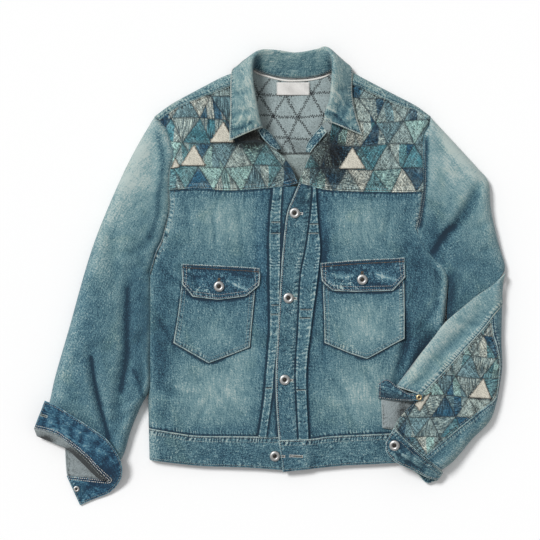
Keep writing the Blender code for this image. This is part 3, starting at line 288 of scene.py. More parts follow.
# inner edge of the facing that turns down from the right cuff's first sections, and its height
RIGHT_FACING = rows(
    "x y z", (-381, -260, 11), (-352, -272, 13), (-331, -281, 18), (-307, -303, 18),
    (-287, -323, 16), (-275, -333, 12))
LEFT_CUFF = rows(
    "sx sy sz hx hy hz",
    (200.9, -244.1, 36, 188, -268, 33), (214.9, -259.1, 35.6, 189, -284, 32),
    (229.9, -273.1, 35.6, 203, -300, 30), (249.9, -292.1, 34, 230, -313, 27),
    (268.8, -307.2, 28, 255, -326, 21), (280.2, -317.6, 18.4, 271, -331, 15),
    (279, -316, 12, 269, -334, 8), (262, -305, 13, 255, -336, 9), (240, -290, 15, 240, -321, 13),
    (215, -272, 17, 215, -300, 16))
# the free end of the left cuff stands up as a fold: near edge, ridge and far edge
LEFT_CUFF_FLAP = rows(
    "x near_y near_z ridge_y ridge_z far_y far_z",
    (176, -197, 25.5, -179, 36, -173, 32), (190, -199, 26, -182, 38, -165, 31),
    (204, -200, 27, -186, 39, -176, 33), (222, -201, 30, -192, 39, -188, 36),
    (236, -200.5, 39, -195, 40.5, -189, 39.5), (248, -200, 39, -194.5, 40.2, -189, 39))
# collar sections: neck seam n, ridge r where it turns, outer edge e
COLLAR_SECTIONS = rows(
    "nx ny nz rx ry rz ex ey ez",
    (-12, 243, 27, -21, 241, 34, -66, 221, 36), (-17, 258, 27, -24, 262, 40, -65, 250, 27),
    (-21, 275, 26, -28, 290, 44, -64, 285, 25), (-26, 300, 24, -32, 318, 44, -64, 312, 22),
    (-29, 333, 14, -32, 345, 38, -62, 336, 14), (-26, 340, 8, -26, 360, 28, -54, 344, 7),
    (-14, 336, 5, -12, 369, 18, -33, 357, 3), (10, 329, 4.5, 15, 369, 14, 8, 340, 1.2),
    (45, 326, 4.5, 42, 366, 12, 42, 335, 1.2), (75, 329, 4.5, 75, 371, 14, 75, 342, 1.2),
    (92, 334, 5, 90, 374, 18, 104, 362, 3), (102, 339, 8, 101, 362, 28, 124, 350, 7),
    (104, 334, 14, 104, 345, 38, 134, 338, 14), (101, 305, 22, 103, 318, 44, 133, 312, 22),
    (97, 280, 26, 101, 290, 44, 135, 285, 25), (91, 262, 27, 95, 268, 38, 142, 256, 27),
    (86, 250, 27, 97, 252, 32, 151, 230, 26))
NECK_FACINGS = {
    "right_neck_facing": (rows("x y", (-20, 240), (-12, 226.5), (2, 213), (11, 207.5)),
                          rows("x y", (-9, 244), (1, 235), (12, 221), (19, 209))),
    "left_neck_facing": (rows("x y", (93, 236.5), (82, 223.5), (69.5, 208.5), (66, 203)),
                         rows("x y", (84, 248), (71, 232), (60, 216), (58, 204))),
}
# cream patches: their corners, on the patchwork of a yoke or of the forearm
CREAM_PATCHES = rows(
    "name corners",
    ("cream_patch_1", ((-146, 181), (-124, 216), (-104, 181))),
    ("cream_patch_2", ((-99, 219), (-76, 254), (-57, 219))),
    ("cream_patch_3", ((112, 176), (134, 212), (156, 176))),
    ("cream_patch_4", ((-161, 176), (-146, 179), (-154, 194))),
    ("cream_patch_5", ((322, -196), (347, -164), (360, -198))),
    ("cream_patch_6", ((262, -186), (234, -206), (243, -218))))
WAIST_BUTTON = (8, -292)
FRONT_BUTTONS = rows(
    "name x y", ("button_1", 40, 104), ("button_2", 30, -34), ("button_3", 24, -167),
    ("right_flap_button", -83, -15), ("left_flap_button", 150, -4))


# ---------------------------------------------------------------- smaller creases, placed one by one
BODY_CREASES = crease_rows(
    (7, 1.12, 0.3, (-182, 22), (-150, -8), (-118, -24)),
    (7, 0.98, -0.2, (-190, -58), (-167, -92), (-150, -130)),
    (5, 0.63, 0, (-96, 136), (-92, 92), (-88, 38)),
    (5, 0.56, 0.2, (-58, 136), (-50, 92), (-44, 36)),
    (6, 0.63, 0, (-142, 136), (-135, 96), (-131, 52)),
    (9, 0.91, 0.3, (-188, -168), (-150, -190), (-106, -196)),
    (8, 0.63, 0, (-104, -160), (-72, -200), (-38, -240)),
    (8, 0.7, 0.2, (-174, -240), (-166, -202), (-154, -158)),
    (6, 0.56, 0, (-120, -250), (-112, -222), (-96, -196)),
    (5, 0.49, 0, (-26, 96), (-22, 40), (-20, -6)),
    (6, 0.56, 0, (98, 136), (103, 96), (108, 42)),
    (5, 0.56, -0.2, (150, 133), (147, 96), (151, 46)),
    (6, 0.63, 0, (196, 133), (192, 92), (184, 52)),
    (8, 0.98, 0.3, (236, 66), (213, 36), (188, 14)),
    (8, 1.05, 0.3, (278, -38), (256, -68), (236, -92)),
    (9, 0.7, 0, (94, -146), (118, -190), (136, -244)),
    (8, 0.77, -0.3, (204, -248), (190, -216), (166, -188)),
    (7, 0.84, 0.2, (252, -248), (246, -216), (234, -188)),
    (6, 0.56, 0, (70, -70), (84, -106), (88, -150)),
    (7, 0.63, 0, (150, -138), (166, -176), (172, -226)),
    (5, 0.56, 0, (88, 60), (90, 10), (84, -40)),
    (2.2, 0.8, 0, (-42, 141), (-40, 130), (-44, 116)),
    (2.0, 0.9, 0, (-26, 142), (-25, 132), (-22, 121)),
    (2.0, 0.8, 0, (-12, 143), (-11, 133), (-14, 122)),
    (2.2, 0.9, 0, (86, 144), (90, 132), (96, 119)),
    (2.0, 0.8, 0, (100, 142), (104, 131), (110, 120)),
    (2.2, 0.7, 0, (118, 140), (120, 129), (126, 118)),
    (2.6, 0.7, 0, (-88, 140), (-86, 126), (-90, 110)),
    (2.6, 0.6, 0, (168, 138), (166, 124), (170, 108)))
RIGHT_SLEEVE_CREASES = crease_rows(
    (7, 1.4, 0, (-216, -128), (-208, -150), (-203, -172)),
    (8, 1.26, 0.3, (-184, 66), (-214, 44), (-248, 38)),
    (6, 0.84, 0, (-204, -28), (-225, -44), (-242, -48)),
    (8, 1.26, -0.3, (-302, 2), (-280, -30), (-254, -46)),
    (9, 1.54, 0.2, (-334, -106), (-308, -130), (-284, -142)),
    (9, 1.68, -0.3, (-350, -176), (-322, -194), (-298, -200)),
    (8, 0.98, 0, (-246, 206), (-216, 190), (-188, 168)),
    (8, 0.84, 0.3, (-274, 106), (-250, 130), (-222, 152)),
    (8, 1.4, 0.3, (-358, -214), (-330, -226), (-298, -236)),
    (8, 1.54, -0.2, (-216, -214), (-244, -230), (-272, -234)),
    (7, 1.05, 0, (-324, -56), (-300, -74), (-276, -80)),
    (7, 0.91, 0, (-300, 54), (-276, 42), (-252, 38)),
    (6, 0.84, 0, (-200, 226), (-192, 190), (-190, 150)),
    (6, 0.91, 0, (-222, -190), (-236, -206), (-256, -206)),
    (6, 0.77, 0, (-206, -80), (-214, -98), (-214, -120)))
LEFT_SLEEVE_CREASES = crease_rows(
    (7, 1.4, 0.3, (372, 96), (346, 84), (322, 76)),
    (7, 1.12, -0.2, (378, 42), (355, 46), (332, 34)),
    (7, 1.19, 0, (366, 12), (338, 26), (308, 24)),
    (8, 0.98, 0.3, (306, 194), (322, 162), (350, 140)),
    (7, 0.91, 0, (254, 184), (274, 172), (298, 150)),
    (7, 1.05, 0.2, (252, 124), (272, 118), (296, 106)),
    (7, 1.12, -0.3, (258, 72), (280, 62), (302, 50)),
    (6, 0.91, 0, (298, 8), (312, -4), (318, -24)))
FOREARM_CREASES = crease_rows(
    (7, 1.4, 0.2, (214, -190), (236, -172), (262, -150)),
    (8, 1.6, 0.2, (332, -254), (336, -222), (330, -190)),
    (7, 1.3, 0, (374, -160), (350, -150), (326, -152)),
    (6, 1.4, 0, (378, -82), (364, -98), (352, -120)),
    (7, 1.5, -0.2, (300, -290), (306, -266), (300, -240)),
    (6, 1.0, 0, (310, -70), (334, -78), (356, -74)),
    (7, 1.3, 0, (222, -236), (244, -232), (262, -214)),
    (6, 1.1, 0, (360, -210), (346, -204), (336, -190)))
RIGHT_CUFF_CREASES = crease_rows(
    (5, 1.2, 0, (-372, -206), (-366, -226), (-368, -244)),
    (5, 1.3, 0.3, (-338, -214), (-344, -232), (-340, -254)),
    (6, 1.5, -0.2, (-312, -232), (-322, -246), (-322, -268)),
    (5, 1.1, 0, (-292, -246), (-306, -260), (-308, -282)),
    (6, 1.6, 0.3, (-268, -262), (-284, -276), (-290, -298)),
    (5, 1.2, 0, (-250, -286), (-266, -296), (-274, -314)))
LEFT_CUFF_CREASES = crease_rows(
    (7, 2.2, 0.2, (206, -290), (226, -300), (250, -312)),
    (5, 1.2, 0, (196, -262), (208, -270), (218, -282)),
    (5, 1.3, 0, (232, -280), (230, -294), (222, -306)),
    (5, 1.1, 0, (254, -296), (250, -308), (244, -318)))
COLLAR_CREASES = crease_rows(
    (6, 1.2, 0.2, (-58, 232), (-44, 246), (-28, 252)),
    (5, 1.0, 0, (-62, 262), (-46, 268), (-30, 268)),
    (6, 1.0, 0, (-64, 300), (-48, 298), (-32, 302)),
    (5, 1.2, 0.3, (96, 250), (108, 262), (114, 284)),
    (5, 1.1, 0, (106, 246), (120, 262), (126, 290)),
    (6, 0.9, 0, (134, 300), (118, 304), (106, 300)),
    (5, 0.8, 0, (140, 262), (132, 254), (118, 250)))
# short bars sewn across the pleats: height, left end and width
RIGHT_BAR_TACKS = ((90, 2, 15), (72, 2, 15), (-45, 2, 12), (-60, 1, 12), (-180, -19, 22))
LEFT_BAR_TACKS = ((87, 63, 17), (72, 62, 17), (-52, 49, 20), (-66, 48, 18), (-183, 43, 17))

# ---------------------------------------------------------------- fading, wear and painted shade, placed one by one
# soft spots: where, how far they reach, and how much they add to the fade, where some dark spots
# are painted shade, and to the blueness
TONE = "x y reach_x reach_y fade blue"
# painted shade among these: the dark spots along the waist seam and the yoke hem, beside the left
# pleat, and on the left side near the sleeve and the forearm
BODY_TONES = rows(
    TONE,
    (-75, 90, 52, 50, 0.30, -0.22), (-95, -190, 66, 56, 0.34, -0.36),
    (-182, -120, 20, 100, -0.33, 0.15), (-38, -128, 26, 46, 0.20, -0.1),
    (-178, 22, 22, 34, -0.12, 0.10),
    (-82, 1, 70, 8, -0.12, 0.1),
    (-14, 10, 13, 130, -0.10, 0.40), (-40, -180, 26, 60, 0.02, 0.10),
    (-100, -250, 130, 9, -0.10, 0.15), (150, 84, 46, 44, 0.27, -0.25),
    (155, -192, 62, 52, 0.35, -0.42),
    (246, 30, 26, 60, -0.28, 0.1), (240, -128, 22, 64, -0.46, 0.1),
    (88, 20, 11, 110, -0.14, 0.40), (268, -190, 20, 60, 0.0, 0.10),
    (180, -248, 120, 9, -0.08, 0.10), (-80, 134, 95, 6, -0.12, 0.10), (160, 131, 95, 6, -0.12, 0.1))
STRIP_TONES = rows(
    TONE,
    (8, 104, 9, 16, 0.10, -0.1), (8, 80, 12, 10, -0.14, 0.0), (72, 78, 12, 10, -0.04, 0.0),
    (10, 60, 30, 60, 0.04, -0.10), (10, -220, 40, 40, 0.06, -0.10), (68, -110, 10, 60, 0.19, -0.2),
    (-2, -120, 11, 70, 0.12, -0.1),
    (60, 125, 24, 22, -0.18, 0.1), (70, 40, 30, 60, 0.02, 0.0), (55, -120, 30, 70, 0.04, 0.0))
PLACKET_TONES = rows(
    TONE,
    (56, 122, 20, 30, -0.26, -0.1), (34, 40, 26, 50, 0.04, -0.20), (28, -100, 26, 60, 0.02, -0.15),
    (28, -235, 26, 26, 0.04, 0.0))
RIGHT_SLEEVE_SHADES = shade_rows(
    (5.0, 0.36, (-182, 232), (-175, 190), (-180, 140), (-184, 100), (-196, 66)),
    (4.6, 0.42, (-232, -20), (-234, -80), (-234, -130), (-243, -185)),
    (3.5, 0.30, (-222, -150), (-213, -172), (-208, -196)),
    (3.2, 0.50, (-291, -130), (-286, -170), (-277, -210), (-263, -262)))
LEFT_SLEEVE_SHADES = shade_rows(
    (3.8, 0.75, (255, 226), (254, 180), (252, 139), (248, 110), (244, 84)),
    (4.0, 0.55, (300, 82), (288, 76), (276, 58), (266, 40)),
    (9.0, 0.26, (336, 130), (318, 98), (300, 84), (280, 64)),
    (9.0, 0.42, (293, 0), (296, -20), (295, -50), (291, -78)))
LEFT_FRONT_SHADES = shade_rows(
    (6.0, 0.26, (92, 74), (93, 52), (90, 28)),
    (7.0, 0.26, (205, -178), (240, -140), (285, -74)))
# pale rubbed ridges at a negative depth, and painted shade in hollows and creases at a positive
# depth
COLLAR_RUBS_AND_SHADE = shade_rows(
    (1.3, -0.30, (98, 304), (110, 296), (121, 279), (130, 270)),
    (1.4, -0.42, (93, 275), (106, 268), (119, 256), (134, 238)),
    (3.6, 0.40, (93, 267), (110, 261), (125, 246), (140, 236)),
    (1.2, -0.34, (91, 258), (104, 252), (120, 242)),
    (1.2, -0.30, (-52, 250), (-46, 262), (-42, 276)),
    (1.1, -0.32, (-38, 246), (-32, 262)),
    (3.2, 0.30, (-60, 240), (-44, 243), (-30, 251)),
    (1.2, 0.22, (0, 372), (24, 364), (52, 368)),
    (1.2, -0.22, (-12, 346), (10, 338), (44, 337)))
RIGHT_CUFF_RUBS_AND_SHADE = shade_rows(
    (1.2, -0.36, (-360, -235), (-346, -240), (-332, -250)),
    (1.3, -0.40, (-352, -246), (-338, -252), (-311, -271), (-286, -276)),
    (1.2, -0.38, (-298, -279), (-280, -282), (-264, -290), (-249, -306)),
    (1.2, -0.34, (-270, -301), (-282, -310), (-291, -322)),
    (1.3, -0.40, (-322, -332), (-304, -337), (-286, -345)),
    (1.2, -0.36, (-283, -338), (-291, -356)),
    (1.3, -0.36, (-300, -358), (-309, -371)),
    (1.0, -0.26, (-326, -240), (-306, -254), (-284, -262)),
    (3.0, 0.16, (-344, -262), (-318, -280), (-290, -302)),
    (4.0, 0.40, (-262, -316), (-276, -334), (-298, -344)))
LEFT_CUFF_RUBS_AND_SHADE = shade_rows(
    (1.4, -0.30, (190, -264), (202, -276), (222, -292), (246, -308)),
    (2.6, 0.40, (212, -268), (228, -280), (246, -292), (262, -304)),
    (2.2, 0.34, (206, -288), (226, -302), (250, -316)),
    (1.2, -0.34, (196, -284), (206, -292), (220, -296)))
FLAP_RUBS_AND_SHADE = shade_rows(
    (2.0, -0.34, (-120, -24), (-112, -10), (-108, 6)),
    (2.4, -0.50, (-66, -6), (-54, -14), (-38, -20)),
    (3.4, 0.30, (-132, 4), (-120, 0), (-106, 2)),
    (3.4, 0.30, (-60, 6), (-44, 2), (-30, 2)),
    (2.4, -0.50, (104, 4), (116, 0), (134, 2)),
    (2.0, -0.40, (96, -8), (108, -14), (120, -20)),
    (2.6, -0.52, (172, 6), (186, 0), (204, -4)),
    (3.4, 0.34, (164, -10), (180, -14), (198, -16)),
    (3.4, 0.30, (96, 10), (112, 12), (132, 10)))
# the dark spots under the collar's two points are painted shadow of the collar
YOKE_TONES = rows(
    TONE,
    (-100, 170, 70, 40, 0.06, 0.0), (-30, 235, 26, 50, -0.12, 0.0), (100, 200, 38, 42, -0.50, 0.0),
    (-36, 224, 28, 15, -0.75, 0.0),
    (150, 262, 40, 24, 0.04, 0.0), (-152, 250, 30, 16, 0.05, 0.0), (205, 170, 40, 30, 0.04, 0.0))
# the dark bands along the pocket tops are painted shade under the flaps
POCKET_TONES = rows(
    TONE,
    (-92, -92, 42, 36, 0.20, -0.20), (-85, -28, 66, 15, -0.24, 0.15),
    (152, -78, 50, 44, 0.36, -0.35), (150, -24, 66, 12, -0.06, 0.10),
    (212, -66, 9, 46, 0.18, 0.0))
FLAP_TONES = rows(
    TONE,
    (-104, -8, 18, 12, 0.06, 0.1), (-50, -10, 20, 10, 0.16, 0.0), (122, 2, 20, 12, 0.14, 0.0),
    (186, 2, 20, 12, 0.18, 0.0), (-66, 8, 12, 8, -0.10, 0.0),
    (154, 10, 14, 8, -0.10, 0.0), (-83, 17, 80, 4, 0.16, -0.3), (150, 27, 80, 4, 0.16, -0.3))
# the dark strips along the right sleeve's inner edge and beside the body on the left sleeve are
# painted shade
SLEEVE_TONES = rows(
    TONE,
    (-208, 186, 62, 100, 0.41, -0.50), (-252, 50, 40, 80, 0.15, -0.25),
    (-304, -30, 22, 110, -0.09, 0.1), (-310, -180, 44, 60, 0.06, 0.05),
    (-214, -60, 20, 140, -0.17, 0.15), (-262, -268, 32, 26, -0.05, 0.2),
    (-250, -90, 20, 90, 0.06, -0.1), (290, 196, 70, 88, 0.43, -0.50),
    (348, 96, 34, 66, 0.16, -0.25), (300, 20, 44, 36, -0.02, 0.10),
    (266, 44, 16, 54, -0.27, 0.1))
BAND_TONES = rows(
    TONE,
    (-150, -280, 50, 26, 0.01, -0.1), (-60, -286, 36, 20, -0.08, 0.2),
    (30, -290, 34, 26, -0.06, 0.1), (120, -286, 44, 26, 0.03, -0.1),
    (230, -280, 40, 26, 0.02, 0.0))
FOREARM_TONES = rows(
    TONE,
    (300, -90, 50, 40, 0.09, -0.1), (220, -185, 26, 22, -0.10, 0.10),
    (372, -20, 16, 30, -0.14, 0.2), (330, -262, 40, 24, 0.02, 0.1),
    (368, -120, 10, 50, -0.06, 0.2), (290, -230, 40, 30, 0.05, 0.0))
# the darkest spot, where the right cuff turns under, is painted shade of that hollow
CUFF_TONES = rows(
    TONE,
    (-340, -232, 26, 20, -0.06, 0.0), (-278, -320, 26, 22, -0.50, 0.0),
    (-316, -352, 20, 18, 0.02, -0.5), (-300, -262, 24, 20, 0.02, 0.0),
    (-262, -300, 20, 30, -0.08, 0.0), (206, -272, 15, 13, -0.26, 0.4),
    (240, -304, 26, 8, -0.16, 0.0), (230, -284, 22, 6, -0.22, 0.1), (190, -188, 20, 10, -0.10, 0.0))
COLLAR_TONES = rows(
    TONE,
    (-48, 236, 16, 14, -0.08, 0.1), (-60, 300, 14, 30, 0.06, 0.0), (35, 366, 60, 10, 0.06, 0.0),
    (116, 268, 12, 30, -0.12, 0.25), (140, 240, 16, 16, 0.05, 0.0), (35, 338, 60, 8, -0.14, 0.1),
    (-24, 350, 7, 22, -0.34, 0.0), (97, 350, 8, 20, -0.34, 0.0), (66, 360, 10, 16, -0.14, -0.2),
    (20, 352, 14, 12, -0.14, -0.1))
NECK_TONES = rows(
    TONE,
    (-12, 238, 9, 9, -0.30, 0.3), (4, 222, 7, 7, -0.22, 0.5), (76, 222, 9, 9, -0.30, 0.4),
    (90, 238, 8, 8, 0.10, 0.0), (64, 208, 7, 7, 0.14, 0.0))
# the last spot is painted shade inside the opening of the left sleeve
INSIDE_TONES = rows(
    TONE,
    (30, 310, 60, 14, -0.08, 0.0), (40, 214, 34, 16, -0.16, 0.0), (216, -222, 9, 22, -0.35, 0.0))
# painted shade in the hollow of the right sleeve's mouth, under the turned-back cuff
FACING_SHADE_SPOTS = rows(
    TONE,
    (-367, -266, 11, 7, -0.9, 0.0), (-330, -284, 16, 9, -0.45, 0.0),
    (-306, -300, 20, 16, -0.9, 0.0), (-284, -318, 24, 20, -0.9, 0.0))


# ---------------------------------------------------------------- lines and surfaces
def run_along(line: np.ndarray) -> np.ndarray:
    """Length of a polyline up to each of its points."""
    return np.concatenate([[0.0], np.cumsum(np.linalg.norm(np.diff(line, axis=0), axis=1))])


def read_at(marks: np.ndarray, run: np.ndarray, line: np.ndarray) -> np.ndarray:
    """Rows of a line, read where its run reaches the marks."""
    return np.stack([np.interp(marks, run, column) for column in line.T], -1)


def unit(vectors: np.ndarray) -> np.ndarray:
    """Vectors of length 1 with the same directions."""
    return vectors / np.maximum(np.linalg.norm(vectors, axis=-1, keepdims=True), 1e-9)


class Curve:
    """Line through the points of a table, read by its share of the length."""

    def __init__(self, points: list, smooth: bool = True) -> None:
        """Round off the points unless smooth is false."""
        points = np.array([tuple(point) for point in points], dtype=float)
        self.points = self.rounded(points) if smooth and len(points) > 2 else points
        steps = np.linalg.norm(np.diff(self.points[:, :2], axis=0), axis=1)
        self.shares = np.concatenate([[0.0], np.cumsum(steps)]) / steps.sum()

    @staticmethod
    def rounded(points: np.ndarray, steps: int = 6) -> np.ndarray:
        """Catmull-Rom points through the given ones."""
        padded = np.vstack([2 * points[0] - points[1], points, 2 * points[-1] - points[-2]])
        line = []
        for a, b, c, d in zip(padded, padded[1:], padded[2:], padded[3:]):
            for t in np.arange(steps) / steps:
                line.append(0.5 * (2 * b + (c - a) * t + (2 * a - 5 * b + 4 * c - d) * t ** 2
                                   + (3 * b - a - 3 * c + d) * t ** 3))
        return np.array(line + [points[-1]])

    def at(self, shares: np.ndarray) -> np.ndarray:
        """Points at the given shares of the length."""
        return read_at(shares, self.shares, self.points)

    def shifted(self, x: float, y: float = 0.0) -> "Curve":
        """The same line moved sideways."""
        return Curve(self.points[:, :2] + (x, y), smooth=False)

    def nearest(self, places: np.ndarray) -> tuple:
        """Find the point of the line that is nearest to each place.

        Args:
            places: points, of which x and y are read.

        Returns:
            The distance, negative on the line's right hand, and the line's own row there.
        """
        flat = places[..., :2].reshape(-1, 1, 2)
        start, run = self.points[:-1], np.diff(self.points, axis=0)
        along = ((flat - start[:, :2]) * run[:, :2]).sum(-1) / (run[:, :2] ** 2).sum(-1)
        along = np.clip(along, 0, 1)
        away = flat - start[:, :2] - along[..., None] * run[:, :2]
        gaps = np.linalg.norm(away, axis=-1)
        best = gaps.argmin(1)
        index = np.arange(len(best))
        found = start[best] + along[index, best][:, None] * run[best]
        turn = run[best, 0] * away[index, best, 1] - run[best, 1] * away[index, best, 0]
        shape = places.shape[:-1]
        signed = gaps[index, best] * np.where(turn < 0, -1, 1)
        return signed.reshape(shape), found.reshape(*shape, -1)

    def share_near(self, place: tuple) -> float:
        """Share of the length at the point of the line nearest to a place."""
        start, run = self.points[:-1, :2], np.diff(self.points[:, :2], axis=0)
        along = np.clip(((place - start) * run).sum(-1) / (run ** 2).sum(-1), 0, 1)
        gaps = np.linalg.norm(place - start - along[:, None] * run, axis=-1)
        best = int(gaps.argmin())
        return self.shares[best] + along[best] * (self.shares[best + 1] - self.shares[best])

    def between(self, first: tuple, last: tuple) -> "Curve":
        """The stretch from the point nearest to first to the point nearest to last."""
        shares = np.linspace(self.share_near(first), self.share_near(last), 60)
        return Curve(self.at(shares), smooth=False)


def joined(first: list, second: list) -> Curve:
    """One smooth line through two tables, of which the second starts where the first ends."""
    return Curve(first + second[1:])


def eased(value: np.ndarray) -> np.ndarray:
    """Smooth step from 0 to 1."""
    value = np.clip(value, 0, 1)
    return value * value * (3 - 2 * value)


def bell(places: np.ndarray, spot: tuple) -> np.ndarray:
    """Soft round weight of a spot, whose first values are x, y, reach_x and reach_y."""
    x = (places[..., 0] - spot[0]) / spot[2]
    y = (places[..., 1] - spot[1]) / spot[3]
    return np.exp(-x * x - y * y)


def slack(places: np.ndarray, size: float) -> np.ndarray:
    """Shallow, uneven waves of cloth that lies loose."""
    x, y = places[..., 0], places[..., 1]
    broad = np.sin(x / 19 + 1.7 * np.sin(y / 41)) * np.sin(y / 27 + 1.3 * np.sin(x / 36 + 1))
    drag = np.sin((x + 0.55 * y) / 9.5 + 2.1 * np.sin(y / 33)) * np.sin((y - 0.4 * x) / 24 + 0.7)
    fine = np.sin((0.8 * x - y) / 5.3 + 1.6 * np.sin(x / 17)) * np.sin((x + y) / 14)
    return size * (broad + 0.45 * drag + 0.16 * fine)


def gap_and_fade(path: Curve, places: np.ndarray) -> tuple:
    """Signed distance to a crease's path, and the share of its depth that it has there."""
    gap, row = path.nearest(places)
    run = np.linalg.norm(row[..., :2] - path.points[0, :2], axis=-1)
    run = run / np.linalg.norm(path.points[-1, :2] - path.points[0, :2])
    return gap, np.sin(pi * np.clip(run * 0.8 + 0.1, 0, 1))


def trough(crease: Crease, path: Curve, places: np.ndarray) -> np.ndarray:
    """How far a crease takes each place down, or below 0 how far its ridges lift it."""
    gap, fade = gap_and_fade(path, places)
    share = gap / crease.half_width * (1 + crease.lean * np.sign(gap))
    shape = 1.4 * np.exp(-share ** 2) - 0.4 * np.exp(-(share / 2.1) ** 2)
    return crease.depth * fade * shape


class Surface:
    """Height of the top layer over the floor: its crown, rolled down at its edges, and creased."""

    def __init__(self, edges: list, crown: list, swells: tuple = (), folds: tuple = (),
                 creases: tuple = (), loose: float = 0.0) -> None:
        """Keep the tables that shape the layer.

        Args:
            edges: tables of rolled edge lines.
            crown: height against x or y, away from the edges.
            swells: soft rises and hollows.
            folds: the largest troughs.
            creases: smaller creases with a ridge beside the trough.
            loose: height of the shallow waves.
        """
        self.edges = [Curve(edge) for edge in edges]
        self.crown = np.array([tuple(row) for row in crown], dtype=float)
        self.crown_axis = 0 if crown[0]._fields[0] == "x" else 1
        self.swells = swells
        self.folds = [(fold, Curve(fold.path)) for fold in folds]
        self.creases = [(crease, Curve(crease.path)) for crease in creases]
        self.loose = loose

    def smooth(self, places: np.ndarray, raised: np.ndarray = 0.0) -> np.ndarray:
        """Heights without folds and creases, the crown raised by the given amount."""
        order = self.crown[:, 0].argsort()
        crown = np.interp(places[..., self.crown_axis], self.crown[order, 0], self.crown[order, 1])
        for swell in self.swells:
            crown = crown + swell.rise * bell(places, swell)
        height = crown = crown + raised
        for edge in self.edges:
            gap, row = edge.nearest(places)
            rise = np.sqrt(1 - (1 - np.clip(np.abs(gap) / row[..., 3], 0, 1)) ** 2)
            height = np.minimum(height, row[..., 2] + (crown - row[..., 2]) * rise)
        return height

    def __call__(self, places: np.ndarray) -> np.ndarray:
        """Heights at the given places."""
        height = self.smooth(places, slack(places, self.loose))
        for fold, path in self.folds:
            gap, fade = gap_and_fade(path, places)
            height = height - fold.depth * fade * np.exp(-(gap / fold.half_width) ** 2)
        for crease, path in self.creases:
            height = height - trough(crease, path, places)
        return height


# ---------------------------------------------------------------- making a grid of middle points
SEWN_STEPS = np.array([0, 0.7, 1.6, 2.8, 4.2])  # places of the first points beside a sewn edge, mm
TUCK_SHARES = (1.0, 0.6, 0.3)   # how far under the lines are that a tuck adds


def even(length: float, cell: float = CELL, fine: str = "") -> np.ndarray:
    """Shares along a side that is cut into cells.

    Args:
        length: the side in mm.
        cell: the spacing in mm.
        fine: which ends, of "<" and ">", are cut finer for a seam.

    Returns:
        Shares from 0 to 1.
    """
    start = SEWN_STEPS if "<" in fine else SEWN_STEPS[:1]
    end = SEWN_STEPS if ">" in fine else SEWN_STEPS[:1]
    inner = length - start[-1] - end[-1]
    middle = start[-1] + np.linspace(0, inner, max(2, round(inner / cell) + 1))
    return np.concatenate([start[:-1], middle, length - end[-2::-1]]) / length


def rolled(width: float, cell: float = CELL, near: float = 0.0, far: float = 0.0) -> np.ndarray:
    """Shares across a piece: close together over a rolled edge, cut fine at a sewn one.

    Args:
        width: about how wide the piece is in mm.
        cell: the spacing in mm.
        near: width of the roll at the start, or 0 for a sewn edge.
        far: the same at the end.

    Returns:
        Shares from 0 to 1.
    """
    turn = 1 - np.cos(np.linspace(0, pi / 2, 8)[:-1])
    inner = even(width - near - far, cell, ("" if near else "<") + ("" if far else ">"))
    middle = near + inner * (width - near - far)
    start = near * turn if near else []
    end = width - far * turn[::-1] if far else []
    return np.concatenate([start, middle, end]) / width


def stretched(points: np.ndarray, start: np.ndarray, end: np.ndarray) -> np.ndarray:
    """Points of a side, moved so that its ends meet the given corners."""
    share = np.linspace(0, 1, len(points))[:, None]
    return points + (1 - share) * (start - points[0]) + share * (end - points[-1])


def across(left: Curve, right: Curve, bottom: Curve, top: Curve, columns: np.ndarray,
           heights: np.ndarray) -> np.ndarray:
    """Places inside four sides.

    Args:
        left, right: the sides, from bottom to top.
        bottom, top: the sides, from left to right.
        columns: shares across.
        heights: shares upwards.

    Returns:
        Rows of places, from bottom to top.
    """
    low, high = bottom.at(columns)[:, :2], top.at(columns)[:, :2]
    side_a = stretched(left.at(heights)[:, :2], low[0], high[0])
    side_b = stretched(right.at(heights)[:, :2], low[-1], high[-1])
    u, v = columns[None, :, None], heights[:, None, None]
    corners = ((1 - u) * (1 - v) * low[0] + u * (1 - v) * low[-1]
               + (1 - u) * v * high[0] + u * v * high[-1])
    return ((1 - u) * side_a[:, None] + u * side_b[:, None]
            + (1 - v) * low[None] + v * high[None] - corners)


def normals(grid: np.ndarray, ring: bool = False) -> np.ndarray:
    """Normals of a grid; a ring's first and last columns are neighbours."""
    wide = np.concatenate([grid[:, -1:], grid, grid[:, :1]], 1) if ring else grid
    u, v = np.gradient(wide, axis=1), np.gradient(wide, axis=0)
    out = unit(np.cross(u, v))
    return out[:, 1:-1] if ring else out


def laid(places: np.ndarray, surface: Surface, lift: float = 0.0) -> np.ndarray:
    """Grid of points on a surface, moved out from it by lift along its normal."""
    points = np.concatenate([places[..., :2], surface(places)[..., None]], -1)
    if np.any(lift):
        points = points + normals(points) * (np.ones(places.shape[:-1]) * lift)[..., None]
    return points


def drawn_in(grid: np.ndarray, gap: float = SEAM, sides: str = "lrbt") -> np.ndarray:
    """Grid whose border stops short of its seam lines."""
    grid = grid.copy()
    for side, rank in (("b", 0), ("t", -1), ("l", 0), ("r", -1)):
        if side not in sides:
            continue
        lines = grid if side in "bt" else grid.swapaxes(0, 1)
        inner = lines[1] if rank == 0 else lines[-2]
        away = inner - lines[rank]
        lines[rank] += gap * away / np.linalg.norm(away, axis=-1, keepdims=True)
    return grid


def tucked(grid: np.ndarray, side: str, inwards: float = 3.4, height: float = 2.5) -> np.ndarray:
    """Grid with more lines at a side, turned under towards the floor."""
    lines = grid if side in "bt" else grid.swapaxes(0, 1)
    edge, inner = (lines[0], lines[3]) if side in "bl" else (lines[-1], lines[-4])
    away = unit((inner - edge)[:, :2])
    under = []
    for share in TUCK_SHARES:
        low = edge[:, 2:] + (height - edge[:, 2:]) * np.sin(share * pi / 2)
        under.append(np.concatenate([edge[:, :2] + away * inwards * share ** 2, low], -1)[None])
    parts = [*under, lines] if side in "bl" else [lines, *reversed(under)]
    lines = np.concatenate(parts)
    return lines if side in "bt" else lines.swapaxes(0, 1)


